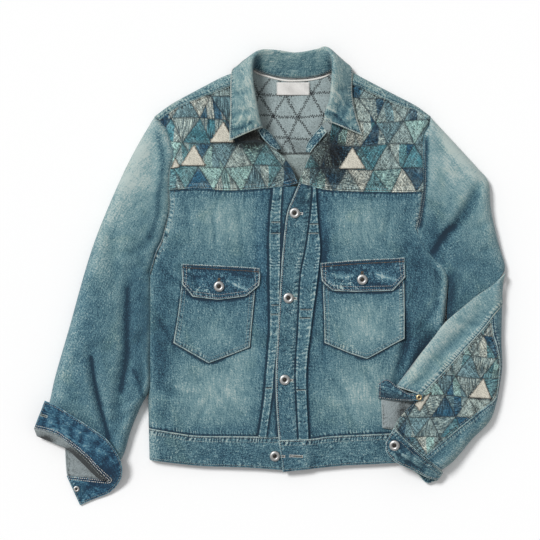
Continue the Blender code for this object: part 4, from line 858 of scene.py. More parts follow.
def sections(table: list, steps: int, across_steps: int) -> np.ndarray:
    """Grid from a table of cross sections, smooth along the piece and across it.

    Args:
        table: rows that each hold the points of one section.
        steps: how many sections the grid has.
        across_steps: how many cells each section has.

    Returns:
        One row of points for each section.
    """
    table = np.array([tuple(row) for row in table], dtype=float)
    count = table.shape[1] // 3
    places = np.linspace(0, len(table) - 1, steps)
    lines = []
    for part in range(count):
        line = Curve.rounded(table[:, 3 * part:3 * part + 3], steps=8)
        marks = np.arange(len(line)) / 8
        lines.append(read_at(places, marks, line))
    lines = np.array(lines)
    if count > 2:
        bent = [Curve.rounded(lines[:, step], steps=8) for step in range(steps)]
        lines = np.array(bent).swapaxes(0, 1)
    marks = np.linspace(0, len(lines) - 1, across_steps + 1)
    low = np.minimum(marks.astype(int), len(lines) - 2)
    share = (marks - low)[:, None, None]
    return (lines[low] * (1 - share) + lines[low + 1] * share).swapaxes(0, 1)


def blurred(grid: np.ndarray, radius: int) -> np.ndarray:
    """Grid of values averaged twice over a square of the given radius."""
    for _ in range(2):
        for axis in (0, 1):
            pad = [(0, 0)] * grid.ndim
            pad[axis] = (radius + 1, radius)
            total = np.cumsum(np.pad(grid, pad, mode="edge"), axis=axis)
            count = grid.shape[axis]
            high = np.take(total, range(2 * radius + 1, 2 * radius + 1 + count), axis=axis)
            low = np.take(total, range(count), axis=axis)
            grid = (high - low) / (2 * radius + 1)
    return grid


# ---------------------------------------------------------------- cloth pieces and their sewing
ABOVE = 200                 # threads are dropped onto the cloth from this height
PROUD = 0.05                # threads lie this far over the face of the cloth
SEAM_DEPTH = 34             # a seam is worked into the cloth this far from its edge
NO_SEAM = 99.0              # gap noted where no seam is near
SHORTEST_CUT = 0.0101       # least side of a cut sheet, in metres


class Thread(Enum):
    """Colours of sewing thread; the dark one also draws the painted shade inside buttonhole slits.
    """

    PALE = (0.40, 0.46, 0.44)
    CREAM = (0.76, 0.72, 0.60)
    BROWN = (0.20, 0.13, 0.07)
    DARK = (0.020, 0.024, 0.030)


@dataclass(frozen=True)
class Edge:
    """How one side of a cloth piece is sewn, in mm."""

    pucker: float = 0.0         # height of the puckers
    pitch: float = 6.2          # from one pucker to the next
    reach: float = 12.0         # how far in from the seam they run
    band: float = 0.0           # width of the doubled strip along the seam
    rise: float = 0.0           # how far that strip stands up
    rope: float = 0.0           # strength of the worn light and dark bars
    bare: float = 0.0           # how pale the very edge is rubbed, and below 0 how dark it is painted as shade at a fold
    rows: tuple = ()            # distances of the stitch rows from the edge
    thread: Thread = Thread.PALE
    span: tuple = (0.0, 1.0)    # the stretch of the side that is sewn so
    skip: int = 0               # lines of the grid that are turned under
    weight: float = 0.34        # half the thickness of its thread


def unevenly(run: np.ndarray, pitch: float) -> np.ndarray:
    """Phase of the puckers along a seam, in turns, never even."""
    return (run / pitch + 0.5 * np.sin(run / 11.7) + 0.3 * np.sin(run / 5.1 + 1)
            + 0.6 * np.sin(run / 29 + 2))


def thinned(line: np.ndarray, spacing: float = 3.0) -> np.ndarray:
    """A polyline with its points spread further apart."""
    run = run_along(line)
    return read_at(np.linspace(0, run[-1], max(2, int(run[-1] / spacing))), run, line)


def gap_to(line: np.ndarray, points: np.ndarray) -> tuple:
    """Distance from points to a polyline in space, and the run along it to the nearest place."""
    start, step = line[:-1], np.diff(line, axis=0)
    length = np.linalg.norm(step, axis=1)
    run = np.concatenate([[0.0], np.cumsum(length)[:-1]])
    flat = points.reshape(-1, 1, 3)
    along = np.clip(((flat - start) * step).sum(-1) / np.maximum(length, 1e-9) ** 2, 0, 1)
    gaps = np.linalg.norm(flat - start - along[..., None] * step, axis=-1)
    best = gaps.argmin(1)
    index = np.arange(len(best))
    found = run[best] + along[index, best] * length[best]
    return gaps[index, best].reshape(points.shape[:-1]), found.reshape(points.shape[:-1])


class Sewing:
    """Threads of one colour on one part of the jacket, gathered stitch by stitch."""

    SIDES = 5

    def __init__(self, name: str, thread: Thread) -> None:
        """Start with no stitches."""
        self.name, self.thread = name, thread
        self.starts, self.ends, self.ups, self.radii = [], [], [], []
        self.chance = np.random.default_rng(len(name) * 31 + ord(name[0]))

    def stitches(self, starts: np.ndarray, ends: np.ndarray, ups: np.ndarray,
                 radius: float) -> None:
        """Add stitches from starts to ends, standing on a surface whose normals are ups."""
        self.starts.append(starts)
        self.ends.append(ends)
        self.ups.append(ups)
        self.radii.append(np.full(len(starts), radius))

    def row(self, line: np.ndarray, ups: np.ndarray, pitch: float = 3.3, length: float = 2.5,
            radius: float = 0.34) -> None:
        """Sew a row of even stitches.

        Args:
            line: points of the row on the surface.
            ups: normals there.
            pitch: from one stitch to the next.
            length: how long each shows.
            radius: half the thread's thickness.
        """
        run = run_along(line)
        marks = np.arange(pitch / 2, run[-1] - length, pitch)
        if not len(marks):
            return
        marks = marks + self.chance.uniform(-0.15, 0.15, len(marks)) * pitch
        lengths = length * self.chance.uniform(0.85, 1.1, len(marks))
        self.stitches(read_at(marks, run, line), read_at(marks + lengths, run, line),
                      read_at(marks + lengths / 2, run, ups), radius)

    def zigzag(self, line: np.ndarray, ups: np.ndarray, width: float, pitch: float,
               radius: float = 0.2, ragged: float = 0.25) -> None:
        """Sew a zigzag row.

        Args:
            line: points of the row on the surface.
            ups: normals there.
            width: from side to side.
            pitch: how far each stroke advances.
            radius: half the thread's thickness.
            ragged: share by which the strokes vary.
        """
        run = run_along(line)
        count = int(run[-1] / pitch)
        if count < 2:
            return
        marks = np.linspace(0, run[-1], count + 1)
        marks[1:-1] += self.chance.uniform(-ragged, ragged, count - 1) * pitch
        spots, normal = read_at(marks, run, line), read_at(marks, run, ups)
        aside = unit(np.cross(normal, np.gradient(spots, axis=0)))
        swing = np.where(np.arange(count + 1) % 2, 0.5, -0.5) * width
        swing = swing * self.chance.uniform(1 - ragged, 1 + ragged, count + 1)
        spots = spots + aside * swing[:, None]
        self.stitches(spots[:-1], spots[1:], normal[1:], radius)

    def build(self, finish: "ThreadFinish") -> None:
        """Make one object of all the stitches: each a short rod, pinched at both ends."""
        if not self.starts:
            return
        a, b = np.concatenate(self.starts), np.concatenate(self.ends)
        up, radius = unit(np.concatenate(self.ups)), np.concatenate(self.radii)[:, None]
        aside = unit(np.cross(up, b - a))
        points = [a - up * radius]
        for share in (0.2, 0.8):
            for side in range(self.SIDES):
                angle = 2 * pi * side / self.SIDES
                points.append(a + (b - a) * share + up * radius * (0.45 + sin(angle))
                              + aside * radius * cos(angle))
        points.append(b - up * radius)
        points = np.stack(points, 1)
        ring = range(self.SIDES)
        first = [1 + side for side in ring]
        second = [1 + self.SIDES + side for side in ring]
        last = 1 + 2 * self.SIDES
        faces = []
        for side in ring:
            after = (side + 1) % self.SIDES
            faces += [(0, first[side], first[after]), (last, second[after], second[side]),
                      (first[side], second[side], second[after]),
                      (first[side], second[after], first[after])]
        faces = np.array(faces)[None] + (np.arange(len(a)) * points.shape[1])[:, None, None]
        thing = make_object(self.name, points.reshape(-1, 3), faces.reshape(-1, 3),
                            finish.material())
        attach(thing, "root")
        LOG.info("%s: %d stitches", self.name, len(a))


def make_object(name: str, points: np.ndarray, faces: np.ndarray,
                finish: bpy.types.Material) -> bpy.types.Object:
    """Make one smooth mesh object at the origin from points in mm on the jacket's axes.

    Args:
        name: the object's name.
        points: one row for each point.
        faces: point numbers of each face.
        finish: its material.

    Returns:
        The object.
    """
    mesh = bpy.data.meshes.new(name)
    mesh.from_pydata((points - (*MIDDLE, 0)) * MM, [], faces)
    mesh.materials.append(finish)
    mesh.shade_smooth()
    thing = bpy.data.objects.new(name, mesh)
    bpy.context.collection.objects.link(thing)
    return thing


@dataclass
class Cloth:
    """One cut piece: a grid of middle points with a wall, sewn edges, and a worn surface with
    painted shade.
    """

    name: str
    grid: np.ndarray
    finish: "ClothFinish"
    wall: float = DENIM
    edges: dict = field(default_factory=dict)
    ring: bool = False
    tones: tuple = ()
    rests_on: tuple = ()
    bends: float = 1.0          # how strongly ridges show as wear and troughs as painted shade
    extra: bool = False         # part of a CAD node that another piece already replaces
    shades: tuple = ()          # lines of painted shade, and at a depth below 0 paler rubbed lines: table of points, reach in mm, and depth
    inside: "ClothFinish" = None    # finish of the other face, where it differs
    WEAR = ((2, 1.1), (7, 0.16))    # cells across half a ridge or trough, and how strongly ridges show as wear and troughs as painted shade

    def lines(self, side: str, values: np.ndarray) -> np.ndarray:
        """Values of the grid with the lines beside a side first, from the edge inwards."""
        turned = values if side in "bt" else values.swapaxes(0, 1)
        return turned if side in "bl" else turned[::-1]

    def finish_edges(self, sewing: dict) -> None:
        """Raise the doubled bands, pucker the cloth beside each seam and sew its rows.

        Args:
            sewing: the part's Sewing for each thread.
        """
        self.seam = np.zeros((*self.grid.shape[:2], 4))
        self.seam[..., 1] = NO_SEAM
        lift = np.zeros(self.grid.shape[:2])
        for side, edge in self.edges.items():
            lines = self.lines(side, self.grid)[edge.skip:]
            deep = np.linalg.norm(np.diff(lines, axis=0), axis=-1).mean(1).cumsum()
            near = 1 + int((deep < SEAM_DEPTH).sum())
            border = lines[0][slice(*(int(share * (lines.shape[1] - 1)) + end
                                      for share, end in zip(edge.span, (0, 1))))]
            gap, run = gap_to(thinned(border), lines[:near])
            turns = unevenly(run, edge.pitch)
            strength = 0.5 + 0.35 * np.sin(run / 13 + 2) * np.sin(run / 31 + 0.7)
            strength = strength + 0.2 * np.sin(run / 5.9)
            peak = edge.reach / 3.2
            hump = gap / peak * np.exp(1 - gap / peak)
            raised = edge.rise * eased((edge.band + 0.7 - gap) / 1.4)
            part = self.lines(side, lift)[edge.skip:][:near]
            part += edge.pucker * strength * hump * np.sin(2 * pi * turns) + raised
            seam = self.lines(side, self.seam)[edge.skip:][:near]
            closer = (gap < seam[..., 1]) & (edge.rope + abs(edge.bare) > 0)
            ones = np.ones_like(gap)
            turns = turns + 0.05 * gap
            seam[closer] = np.stack([turns, gap, edge.rope * ones, edge.bare * ones], -1)[closer]
        self.grid = self.grid + normals(self.grid, self.ring) * lift[..., None]
        self.out = normals(self.grid, self.ring)
        for side, edge in self.edges.items():
            for offset in edge.rows:
                sewing[edge.thread].row(*self.inset(side, offset, edge), radius=edge.weight)

    def inset(self, side: str, offset: float, edge: Edge = Edge()) -> tuple:
        """Line on the outer face at a distance from a side.

        Args:
            side: l, r, b or t.
            offset: the distance in mm.
            edge: gives the stretch of the side and the lines to leave out.

        Returns:
            Its points and normals.
        """
        lines = self.lines(side, self.grid)[edge.skip:]
        out = self.lines(side, self.out)[edge.skip:]
        steps = np.linalg.norm(np.diff(lines, axis=0), axis=-1)
        depth = np.concatenate([np.zeros((1, steps.shape[1])), np.cumsum(steps, axis=0)])
        low = np.clip((depth < offset).sum(0) - 1, 0, len(lines) - 2)
        index = np.arange(lines.shape[1])
        share = ((offset - depth[low, index]) / np.maximum(steps[low, index], 1e-9))[:, None]
        line = lines[low, index] * (1 - share) + lines[low + 1, index] * share
        up = out[low, index] * (1 - share) + out[low + 1, index] * share
        count = len(index) - 1
        kept = slice(int(edge.span[0] * count), int(edge.span[1] * count) + 1)
        return (line + up * (self.wall / 2 + PROUD))[kept], up[kept]

    @cached_property
    def tree(self) -> BVHTree:
        """Search tree of the middle surface, for dropping threads onto the cloth."""
        height, width = self.grid.shape[:2]
        faces = grid_faces(height, width, self.ring)[0]
        return BVHTree.FromPolygons(self.grid.reshape(-1, 3).tolist(), faces.tolist())

    def dropped(self, places: np.ndarray) -> list:
        """Runs of points where a line of places meets the outer face from above.

        Args:
            places: the line's x and y.

        Returns:
            Pairs of points and normals, one for each unbroken run.
        """
        runs, points, ups = [], [], []
        for x, y in places:
            spot, up = self.tree.ray_cast(Vector((x, y, ABOVE)), Vector((0, 0, -1)))[:2]
            if spot is None:
                if len(points) > 2:
                    runs.append((np.array(points), np.array(ups)))
                points, ups = [], []
                continue
            up = up if up.z > 0 else -up
            points.append(spot + up * (self.wall / 2 + PROUD))
            ups.append(up)
        if len(points) > 2:
            runs.append((np.array(points), np.array(ups)))
        return runs

    def tone(self) -> np.ndarray:
        """Fade of each point, with the spots and the lines of painted shade and rubbing; its
        blueness; and ridge wear with painted shade in troughs.
        """
        values = np.zeros((*self.grid.shape[:2], 4))
        values[..., 0], values[..., 1], values[..., 3] = self.finish.fade, self.finish.blue, 1.0
        for spot in self.tones:
            weight = bell(self.grid, spot)
            values[..., 0] += spot[4] * weight
            values[..., 1] += spot[5] * weight
        # lines of painted shade lower the fade; at a depth below 0 they are paler rubbed lines
        for path, reach, depth in self.shades:
            gap = Curve(path).nearest(self.grid)[0]
            values[..., 0] -= depth * np.exp(-(gap / reach) ** 2)
        # ridges come out paler as wear, troughs darker as painted shade
        for radius, gain in self.WEAR:
            proud = (self.out * (self.grid - blurred(self.grid, radius))).sum(-1)
            values[..., 2] += self.bends * gain * proud
        values[..., 2] = np.tanh(values[..., 2])
        return values

    def build(self) -> None:
        height, width = self.grid.shape[:2]
        faces, corners = grid_faces(height, width, self.ring)
        thing = make_object(self.name + "_cloth", self.grid.reshape(-1, 3), faces,
                            self.finish.material())
        mesh = thing.data
        tone = mesh.attributes.new("tone", "FLOAT_COLOR", "POINT")
        tone.data.foreach_set("color", self.tone().ravel())
        seam = mesh.attributes.new("seam", "FLOAT_COLOR", "POINT")
        seam.data.foreach_set("color", self.seam.ravel())
        closed = np.concatenate([self.grid, self.grid[:, :1]], 1) if self.ring else self.grid
        steps_u = np.linalg.norm(np.diff(closed, axis=1), axis=-1)
        steps_v = np.linalg.norm(np.diff(closed, axis=0), axis=-1)
        u = np.concatenate([np.zeros((height, 1)), np.cumsum(steps_u, axis=1)], 1)
        v = np.concatenate([np.zeros((1, closed.shape[1])), np.cumsum(steps_v, axis=0)], 0)
        grain = np.stack([u - u.mean(1, keepdims=True), v], -1) * MM
        layer = mesh.uv_layers.new(name="grain")
        layer.uv.foreach_set("vector", grain.reshape(-1, 2)[corners.ravel()].ravel())
        shell = thing.modifiers.new("wall", "SOLIDIFY")
        shell.thickness = self.wall * MM
        shell.offset = 0
        shell.use_even_offset = False
        if self.inside:
            mesh.materials.append(self.inside.material())
            shell.material_offset = 1
        area = 0.5 * MM * MM * np.linalg.norm(np.cross(
            closed[1:, 1:] - closed[:-1, :-1], closed[1:, :-1] - closed[:-1, 1:]), axis=-1).sum()
        wide, long = u[:, -1].max() * MM, v[-1].max() * MM
        cut = float(wide), max(float(min(long, area / (0.45 * wide))), SHORTEST_CUT)
        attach(thing, "root")
        if not self.extra:
            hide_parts(self.name)
        list(self.rests_on)
        LOG.info("%s: %d points, cut %.0f x %.0f mm", self.name, height * width,
                 cut[0] / MM, cut[1] / MM)


def grid_faces(height: int, width: int, ring: bool = False) -> tuple:
    """Faces of a grid of points.

    Args:
        height: its rows.
        width: its columns.
        ring: whether the last column also joins the first.

    Returns:
        The point numbers of each face, and the same for a map that has one more column on a ring.
    """
    across_count = width if ring else width - 1
    row, column = np.meshgrid(np.arange(height - 1), np.arange(across_count), indexing="ij")
    row, column = row.ravel(), column.ravel()
    corner_rows = np.stack([row, row, row + 1, row + 1], -1)
    corner_columns = np.stack([column, column + 1, column + 1, column], -1)
    points = corner_rows * width + corner_columns % width
    corners = corner_rows * (width + 1 if ring else width) + corner_columns
    return points, corners


# ---------------------------------------------------------------- finishes
class Graph:
    """Short way to wire the nodes of a material or a group."""

    def __init__(self, tree: bpy.types.NodeTree) -> None:
        """Keep the tree."""
        self.tree = tree

    def add(self, kind: str, values: dict = None, **settings) -> bpy.types.Node:
        """Add a node.

        Args:
            kind: the node's type, without ShaderNode.
            values: numbers, colours or sockets for its inputs, by name or number.
            settings: its own properties.

        Returns:
            The node.
        """
        node = self.tree.nodes.new("ShaderNode" + kind)
        for name, value in settings.items():
            setattr(node, name, value)
        for name, value in (values or {}).items():
            self.put(value, node.inputs[name])
        return node

    def put(self, value, socket: bpy.types.NodeSocket) -> None:
        """Link a socket to the given one, or set its value."""
        if isinstance(value, bpy.types.NodeSocket):
            self.tree.links.new(value, socket)
        elif isinstance(value, tuple) and len(value) == 3 and socket.type == "RGBA":
            socket.default_value = (*value, 1.0)
        else:
            socket.default_value = value

    def math(self, operation: str, *values, clamp: bool = False) -> bpy.types.NodeSocket:
        """One step of arithmetic on numbers or sockets."""
        node = self.add("Math", dict(enumerate(values)), operation=operation, use_clamp=clamp)
        return node.outputs[0]

    def total(self, *terms) -> bpy.types.NodeSocket:
        """Sum of terms, each a socket or a pair of a socket and its weight."""
        result = 0.0
        for term in terms:
            value, weight = term if isinstance(term, tuple) else (term, 1.0)
            result = self.math("MULTIPLY_ADD", value, weight, result)
        return result

    def times(self, *values) -> bpy.types.NodeSocket:
        """Product of numbers or sockets."""
        result = values[0]
        for value in values[1:]:
            result = self.math("MULTIPLY", result, value)
        return result

    def mix(self, factor, a, b, blend: str = "MIX") -> bpy.types.NodeSocket:
        """Mix of two colours."""
        node = self.add("Mix", {0: factor, 6: a, 7: b}, data_type="RGBA", blend_type=blend)
        return node.outputs[2]

    def tinted(self, colour, tint) -> bpy.types.NodeSocket:
        """Colour multiplied by a tint."""
        return self.mix(1.0, colour, tint, "MULTIPLY")

    def turned(self, vector, degrees: float) -> bpy.types.NodeSocket:
        """Vector turned about Z."""
        node = self.add("Mapping", {"Vector": vector, "Rotation": (0, 0, radians(degrees))})
        return node.outputs[0]

    def chance(self, key, shift) -> bpy.types.NodeSocket:
        """Random number for a key, another one for each shift."""
        moved = self.add("VectorMath", {0: key, 1: shift}).outputs[0]
        return self.add("TexWhiteNoise", {"Vector": moved}).outputs["Value"]

    def span(self, value, low: float, high: float, start: float = 0.0,
             end: float = 1.0) -> bpy.types.NodeSocket:
        """Value moved from one span to another, kept inside it, with a smooth step."""
        node = self.add("MapRange", {0: value, 1: low, 2: high, 3: start, 4: end},
                        interpolation_type="SMOOTHSTEP")
        return node.outputs[0]

    def noise(self, vector, scale: float, detail: float = 2.0, distortion: float = 0.0,
              stretch: tuple = (1, 1, 1)) -> bpy.types.NodeSocket:
        """Noise about zero, reaching about one either way, stretched along the axes."""
        if stretch != (1, 1, 1):
            vector = self.add("Mapping", {"Vector": vector, "Scale": stretch}).outputs[0]
        node = self.add("TexNoise", {"Vector": vector, "Scale": scale, "Detail": detail,
                                     "Distortion": distortion})
        return self.math("MULTIPLY_ADD", node.outputs[0], 4.0, -2.0)

    def ramp(self, factor, stops: tuple, constant: bool = False) -> bpy.types.NodeSocket:
        """Colour from a ramp.

        Args:
            factor: a socket from 0 to 1.
            stops: pairs of a place and a colour.
            constant: whether the colours change in steps.

        Returns:
            The colour socket.
        """
        node = self.add("ValToRGB", {0: factor})
        band = node.color_ramp
        band.interpolation = "CONSTANT" if constant else "LINEAR"
        while len(band.elements) < len(stops):
            band.elements.new(0.5)
        for element, (place, colour) in zip(band.elements, stops):
            element.position = place
            element.color = (*colour, 1.0)
        return node.outputs[0]

    def parts(self, vector) -> tuple:
        """The three parts of a vector."""
        node = self.add("SeparateXYZ", {0: vector})
        return tuple(node.outputs)

    def vector(self, *parts) -> bpy.types.NodeSocket:
        """Vector from its parts."""
        return self.add("CombineXYZ", dict(enumerate(parts))).outputs[0]

    def effect(self, maker, **values) -> dict:
        """Place a shared effect and return its outputs by name."""
        node = self.add("Group", node_tree=effect_group(maker))
        for name, value in values.items():
            self.put(value, node.inputs[name])
        return {socket.name: socket for socket in node.outputs}


def effect_group(maker) -> bpy.types.NodeTree:
    """The node group of an effect, built the first time it is asked for."""
    name = maker.__name__
    if name in bpy.data.node_groups:
        return bpy.data.node_groups[name]
    tree = bpy.data.node_groups.new(name, "ShaderNodeTree")
    inputs, outputs = maker.sockets
    for label, kind, value in inputs:
        socket = tree.interface.new_socket(label, in_out="INPUT", socket_type="NodeSocket" + kind)
        if kind == "Float":
            socket.default_value = value
    for label, kind in outputs:
        tree.interface.new_socket(label, in_out="OUTPUT", socket_type="NodeSocket" + kind)
    source, sink = tree.nodes.new("NodeGroupInput"), tree.nodes.new("NodeGroupOutput")
    graph = Graph(tree)
    made = maker(graph, *[source.outputs[label] for label, _, _ in inputs])
    for (label, _), value in zip(outputs, made):
        graph.put(value, sink.inputs[label])
    return tree


def sockets(inputs: tuple, outputs: tuple):
    """Name the inputs and outputs of an effect."""
    def named(maker):
        """Note them on the effect's maker."""
        maker.sockets = inputs, outputs
        return maker
    return named


@sockets((("Vector", "Vector", None),),
         (("Speck", "Float"), ("Slub", "Float"), ("Cloud", "Float"), ("Fibre", "Float"),
          ("Pit", "Float")))
def yarn_grain(graph: Graph, vector) -> tuple:
    """Uneven yarn: specks, slubs, clouds, pale scratches, and dark pits beside pale ridges."""
    speck = graph.total(
        (graph.noise(graph.turned(vector, 52), 1, 1.0, stretch=(900, 420, 1)), 0.65),
        (graph.noise(graph.turned(vector, -38), 1, 1.0, stretch=(560, 260, 1)), 0.35))
    warp = graph.noise(vector, 1, 2.0, stretch=(420, 60, 1))
    weft = graph.noise(vector, 1, 1.0, stretch=(70, 560, 1))
    cloud = graph.noise(vector, 34, 4.0)
    fibres = []
    for turn in (34, -52, 78):
        streak = graph.noise(graph.turned(vector, turn), 1, 2.0, 0.4, stretch=(70, 620, 1))
        fibres.append(graph.span(streak, 0.72, 1.35))
    wrinkle = graph.noise(vector, 52, 3.0, 1.4)
    broken = graph.span(graph.noise(vector, 44, 2.0), -0.4, 0.7)
    dark = graph.span(graph.math("ABSOLUTE", wrinkle), 0.0, 0.20, 1.0, 0.0)
    beside = graph.math("ABSOLUTE", graph.math("SUBTRACT", wrinkle, 0.26))
    pale = graph.span(beside, 0.0, 0.16, 1.0, 0.0)
    pit = graph.times(graph.total((dark, -1.1), (pale, 1.0)), broken)
    pit = graph.total(pit, (graph.noise(vector, 120, 2.0, 0.5), 0.45))
    return speck, graph.total((warp, 0.7), (weft, 0.3)), cloud, graph.total(*fibres), pit


@sockets((("Vector", "Vector", None), ("Pitch", "Float", 1.0)), (("Height", "Float"),))
def twill(graph: Graph, vector, pitch) -> tuple:
    """Diagonal ribs of twill, each rib broken where the weft passes over it."""
    u, v, _ = graph.parts(vector)
    pitch = graph.times(pitch, MM)
    rib = graph.math("PINGPONG", graph.math("DIVIDE", graph.total(u, (v, 0.62)), pitch), 0.5)
    over = graph.math("DIVIDE", graph.total((u, 0.5), (v, -1.0)), pitch)
    over = graph.math("PINGPONG", over, 0.5)
    return (graph.total((rib, 1.5), (over, 0.5)),)


@sockets((("Vector", "Vector", None), ("Turns", "Float", 0.0), ("Gap", "Float", 99.0),
          ("Rope", "Float", 0.0), ("Bare", "Float", 0.0)), (("Light", "Float"), ("Dark", "Float")))
def seam_wear(graph: Graph, vector, turns, gap, rope, bare) -> tuple:
    """Worn seam: a rubbed pale edge, which below 0 becomes a dark edge of painted shade; a line
    beside it, darker as painted shade beside a pale edge and paler beside a dark one; and ragged
    light and dark wear bars across.
    """
    ragged = graph.noise(vector, 260, 2.0)
    patchy = graph.span(graph.noise(vector, 55, 2.0), -0.8, 0.9, 0.1, 1.0)
    bars = graph.math("SINE", graph.total((turns, 2 * pi), (ragged, 1.5)))
    reach = graph.total(gap, (ragged, 2.2))
    inside = graph.times(graph.span(reach, 0.6, 2.4), graph.span(reach, 6.0, 12.0, 1.0, 0.0),
                         patchy, rope)
    light = graph.math("POWER", graph.math("MAXIMUM", bars, 0.0), 1.6)
    dark = graph.math("POWER", graph.math("MAXIMUM", graph.times(bars, -1.0), 0.0), 1.6)
    rough_gap = graph.total(gap, (ragged, 0.30))
    edge = graph.times(bare, graph.span(rough_gap, 0.6, 1.7, 1.0, 0.0),
                       graph.math("MULTIPLY_ADD", patchy, 0.6, 0.45))
    beside = graph.times(graph.span(rough_gap, 1.4, 2.2),
                        graph.span(rough_gap, 2.7, 4.0, 1.0, 0.0))
    turned = graph.math("LESS_THAN", bare, 0.0)
    shade = graph.times(graph.math("MAXIMUM", rope, bare), graph.math("SUBTRACT", 1.0, turned))
    shade = graph.total(shade, (graph.times(bare, turned), 0.8))
    return (graph.total(graph.times(light, inside), (edge, 2.0)),
            graph.total(graph.times(dark, inside), graph.times(beside, shade)))


@sockets((("Vector", "Vector", None), ("Side", "Float", 45.0), ("Row", "Float", 39.0)),
         (("Cell", "Vector"), ("Gap", "Float")))
def triangle_lattice(graph: Graph, vector, side, row) -> tuple:
    """Triangles in rows: a number for each, and the distance to the nearest seam line in mm."""
    x, y, _ = graph.parts(vector)
    v = graph.math("DIVIDE", y, row)
    s = graph.total(graph.math("DIVIDE", x, side), (v, -0.5))
    part_v, part_s = graph.math("FRACT", v), graph.math("FRACT", s)
    both = graph.total(part_v, part_s)
    upward = graph.math("LESS_THAN", both, 1.0)
    cell = graph.vector(graph.math("FLOOR", s), graph.math("FLOOR", v), upward)

    def to_line(value, size):
        """Distance in mm to the nearest whole value."""
        return graph.times(graph.math("PINGPONG", value, 0.5), size)

    gap = graph.math("MINIMUM", to_line(part_v, row), to_line(part_s, row))
    return cell, graph.math("MINIMUM", gap, to_line(both, row))


MADE = {}


@dataclass(frozen=True)
class Finish:
    """A surface finish, made into one material the first time it is used."""

    name: str
    slot: str

    def material(self) -> bpy.types.Material:
        """The material of this finish."""
        if self.name not in MADE:
            made = bpy.data.materials.new(self.name)
            made.use_nodes = True
            graph = Graph(made.node_tree)
            self.dress(graph, made.node_tree.nodes["Principled BSDF"])
            MADE[self.name] = made
        return MADE[self.name]

    def dress(self, graph: Graph, shader: bpy.types.Node) -> None:
        """Wire the finish into its shader."""
        raise NotImplementedError


@dataclass(frozen=True)
class ClothFinish(Finish):
    """Common to all cloth: grain on the piece's own map, wear and painted shade from its folds and
    its seams.
    """

    fade: float = 0.5           # from new indigo at 0 to bleached at 1
    blue: float = 0.0           # shift towards clear blue
    grain: float = 1.0          # how much the yarn varies
    pits: float = 0.06          # how much small wrinkles show as dark and pale lines
    NAP = {"Specular IOR Level": 0.25, "Sheen Weight": 0.12, "Sheen Roughness": 0.6}

    def worn(self, graph: Graph) -> dict:
        """Wire what every cloth reads.

        Args:
            graph: the material's graph.

        Returns:
            Sockets by name: the map, fade with painted shade, blue, wear with painted shade in
                troughs, the seam's light and dark with painted shade at folds, and the grain.
        """
        chart = graph.add("UVMap", uv_map="grain").outputs[0]
        tone = graph.add("Attribute", attribute_name="tone").outputs["Color"]
        tone = graph.add("SeparateColor", {0: tone})
        seam = graph.add("Attribute", attribute_name="seam")
        turns, gap, rope = graph.add("SeparateColor", {0: seam.outputs["Color"]}).outputs
        found = {"chart": chart, "fade": tone.outputs[0], "blue": tone.outputs[1],
                 "wear": tone.outputs[2]}
        found.update(graph.effect(seam_wear, Vector=chart, Turns=turns, Gap=gap, Rope=rope,
                                  Bare=seam.outputs["Alpha"]))
        found.update(graph.effect(yarn_grain, Vector=chart))
        found.update(graph.effect(twill, Vector=chart, Pitch=1.05))
        rough = graph.span(found["fade"], 0.40, 0.85, 1.15, 0.5)
        speck = graph.times(found["Speck"], rough)
        found["level"] = graph.total(
            found["fade"], (found["wear"], 0.26), (speck, 0.50 * self.grain),
            (found["Slub"], 0.18 * self.grain), (found["Cloud"], 0.11), (found["Light"], 0.34),
            (found["Dark"], -0.34), (found["Fibre"], 0.20 * self.grain),
            (found["Pit"], self.pits), (1.0, -0.04))
        return found

    def surface(self, graph: Graph, shader: bpy.types.Node, colour, found: dict,
                relief=None) -> None:
        """Wire the colour, the dry roughness and the weave's relief into the shader.

        Args:
            graph: the material's graph.
            shader: its Principled shader.
            colour: the colour socket.
            found: what worn returned.
            relief: one more height in mm, or None.
        """
        graph.put(colour, shader.inputs["Base Color"])
        rough = graph.total((found["Speck"], 0.03), (found["wear"], -0.04), 0.88)
        graph.put(rough, shader.inputs["Roughness"])
        for name, value in self.NAP.items():
            shader.inputs[name].default_value = value
        height = graph.total((found["Height"], 0.10), (found["Speck"], 0.10), (found["Slub"], 0.07))
        if relief is not None:
            height = graph.total(height, relief)
        bump = graph.add("Bump", {"Height": height, "Distance": MM, "Strength": 0.8})
        graph.put(bump.outputs[0], shader.inputs["Normal"])


@dataclass(frozen=True)
class Denim(ClothFinish):
    """Indigo denim, from clear blue to bleached grey-green, with warm patches where it is dirty."""

    FADES = ((0.0, (0.010, 0.032, 0.054)), (0.25, (0.028, 0.088, 0.126)),
             (0.5, (0.081, 0.177, 0.214)), (0.75, (0.184, 0.311, 0.334)),
             (1.0, (0.420, 0.505, 0.485)))
    cast: tuple = (1.0, 1.0, 1.0)   # tint of the whole cloth

    def dress(self, graph: Graph, shader: bpy.types.Node) -> None:
        """Fade along the ramp, shift to blue, and warm the dirtiest patches."""
        found = self.worn(graph)
        stops = [(place, tuple(np.multiply(colour, self.cast))) for place, colour in self.FADES]
        colour = graph.ramp(graph.math("ADD", found["level"], 0.0, clamp=True), stops)
        clear = graph.tinted(colour, (0.66, 0.93, 1.16))
        blue = graph.times(found["blue"], graph.span(found["level"], 0.5, 0.9, 1.0, 0.2))
        colour = graph.mix(blue, colour, clear)
        dusty = graph.tinted(colour, (1.06, 1.0, 0.90))
        patch = graph.noise(found["chart"], 19, 2.0, 0.6)
        colour = graph.mix(graph.span(patch, 0.0, 1.1, 0.0, 0.75), colour, dusty)
        self.surface(graph, shader, colour, found)


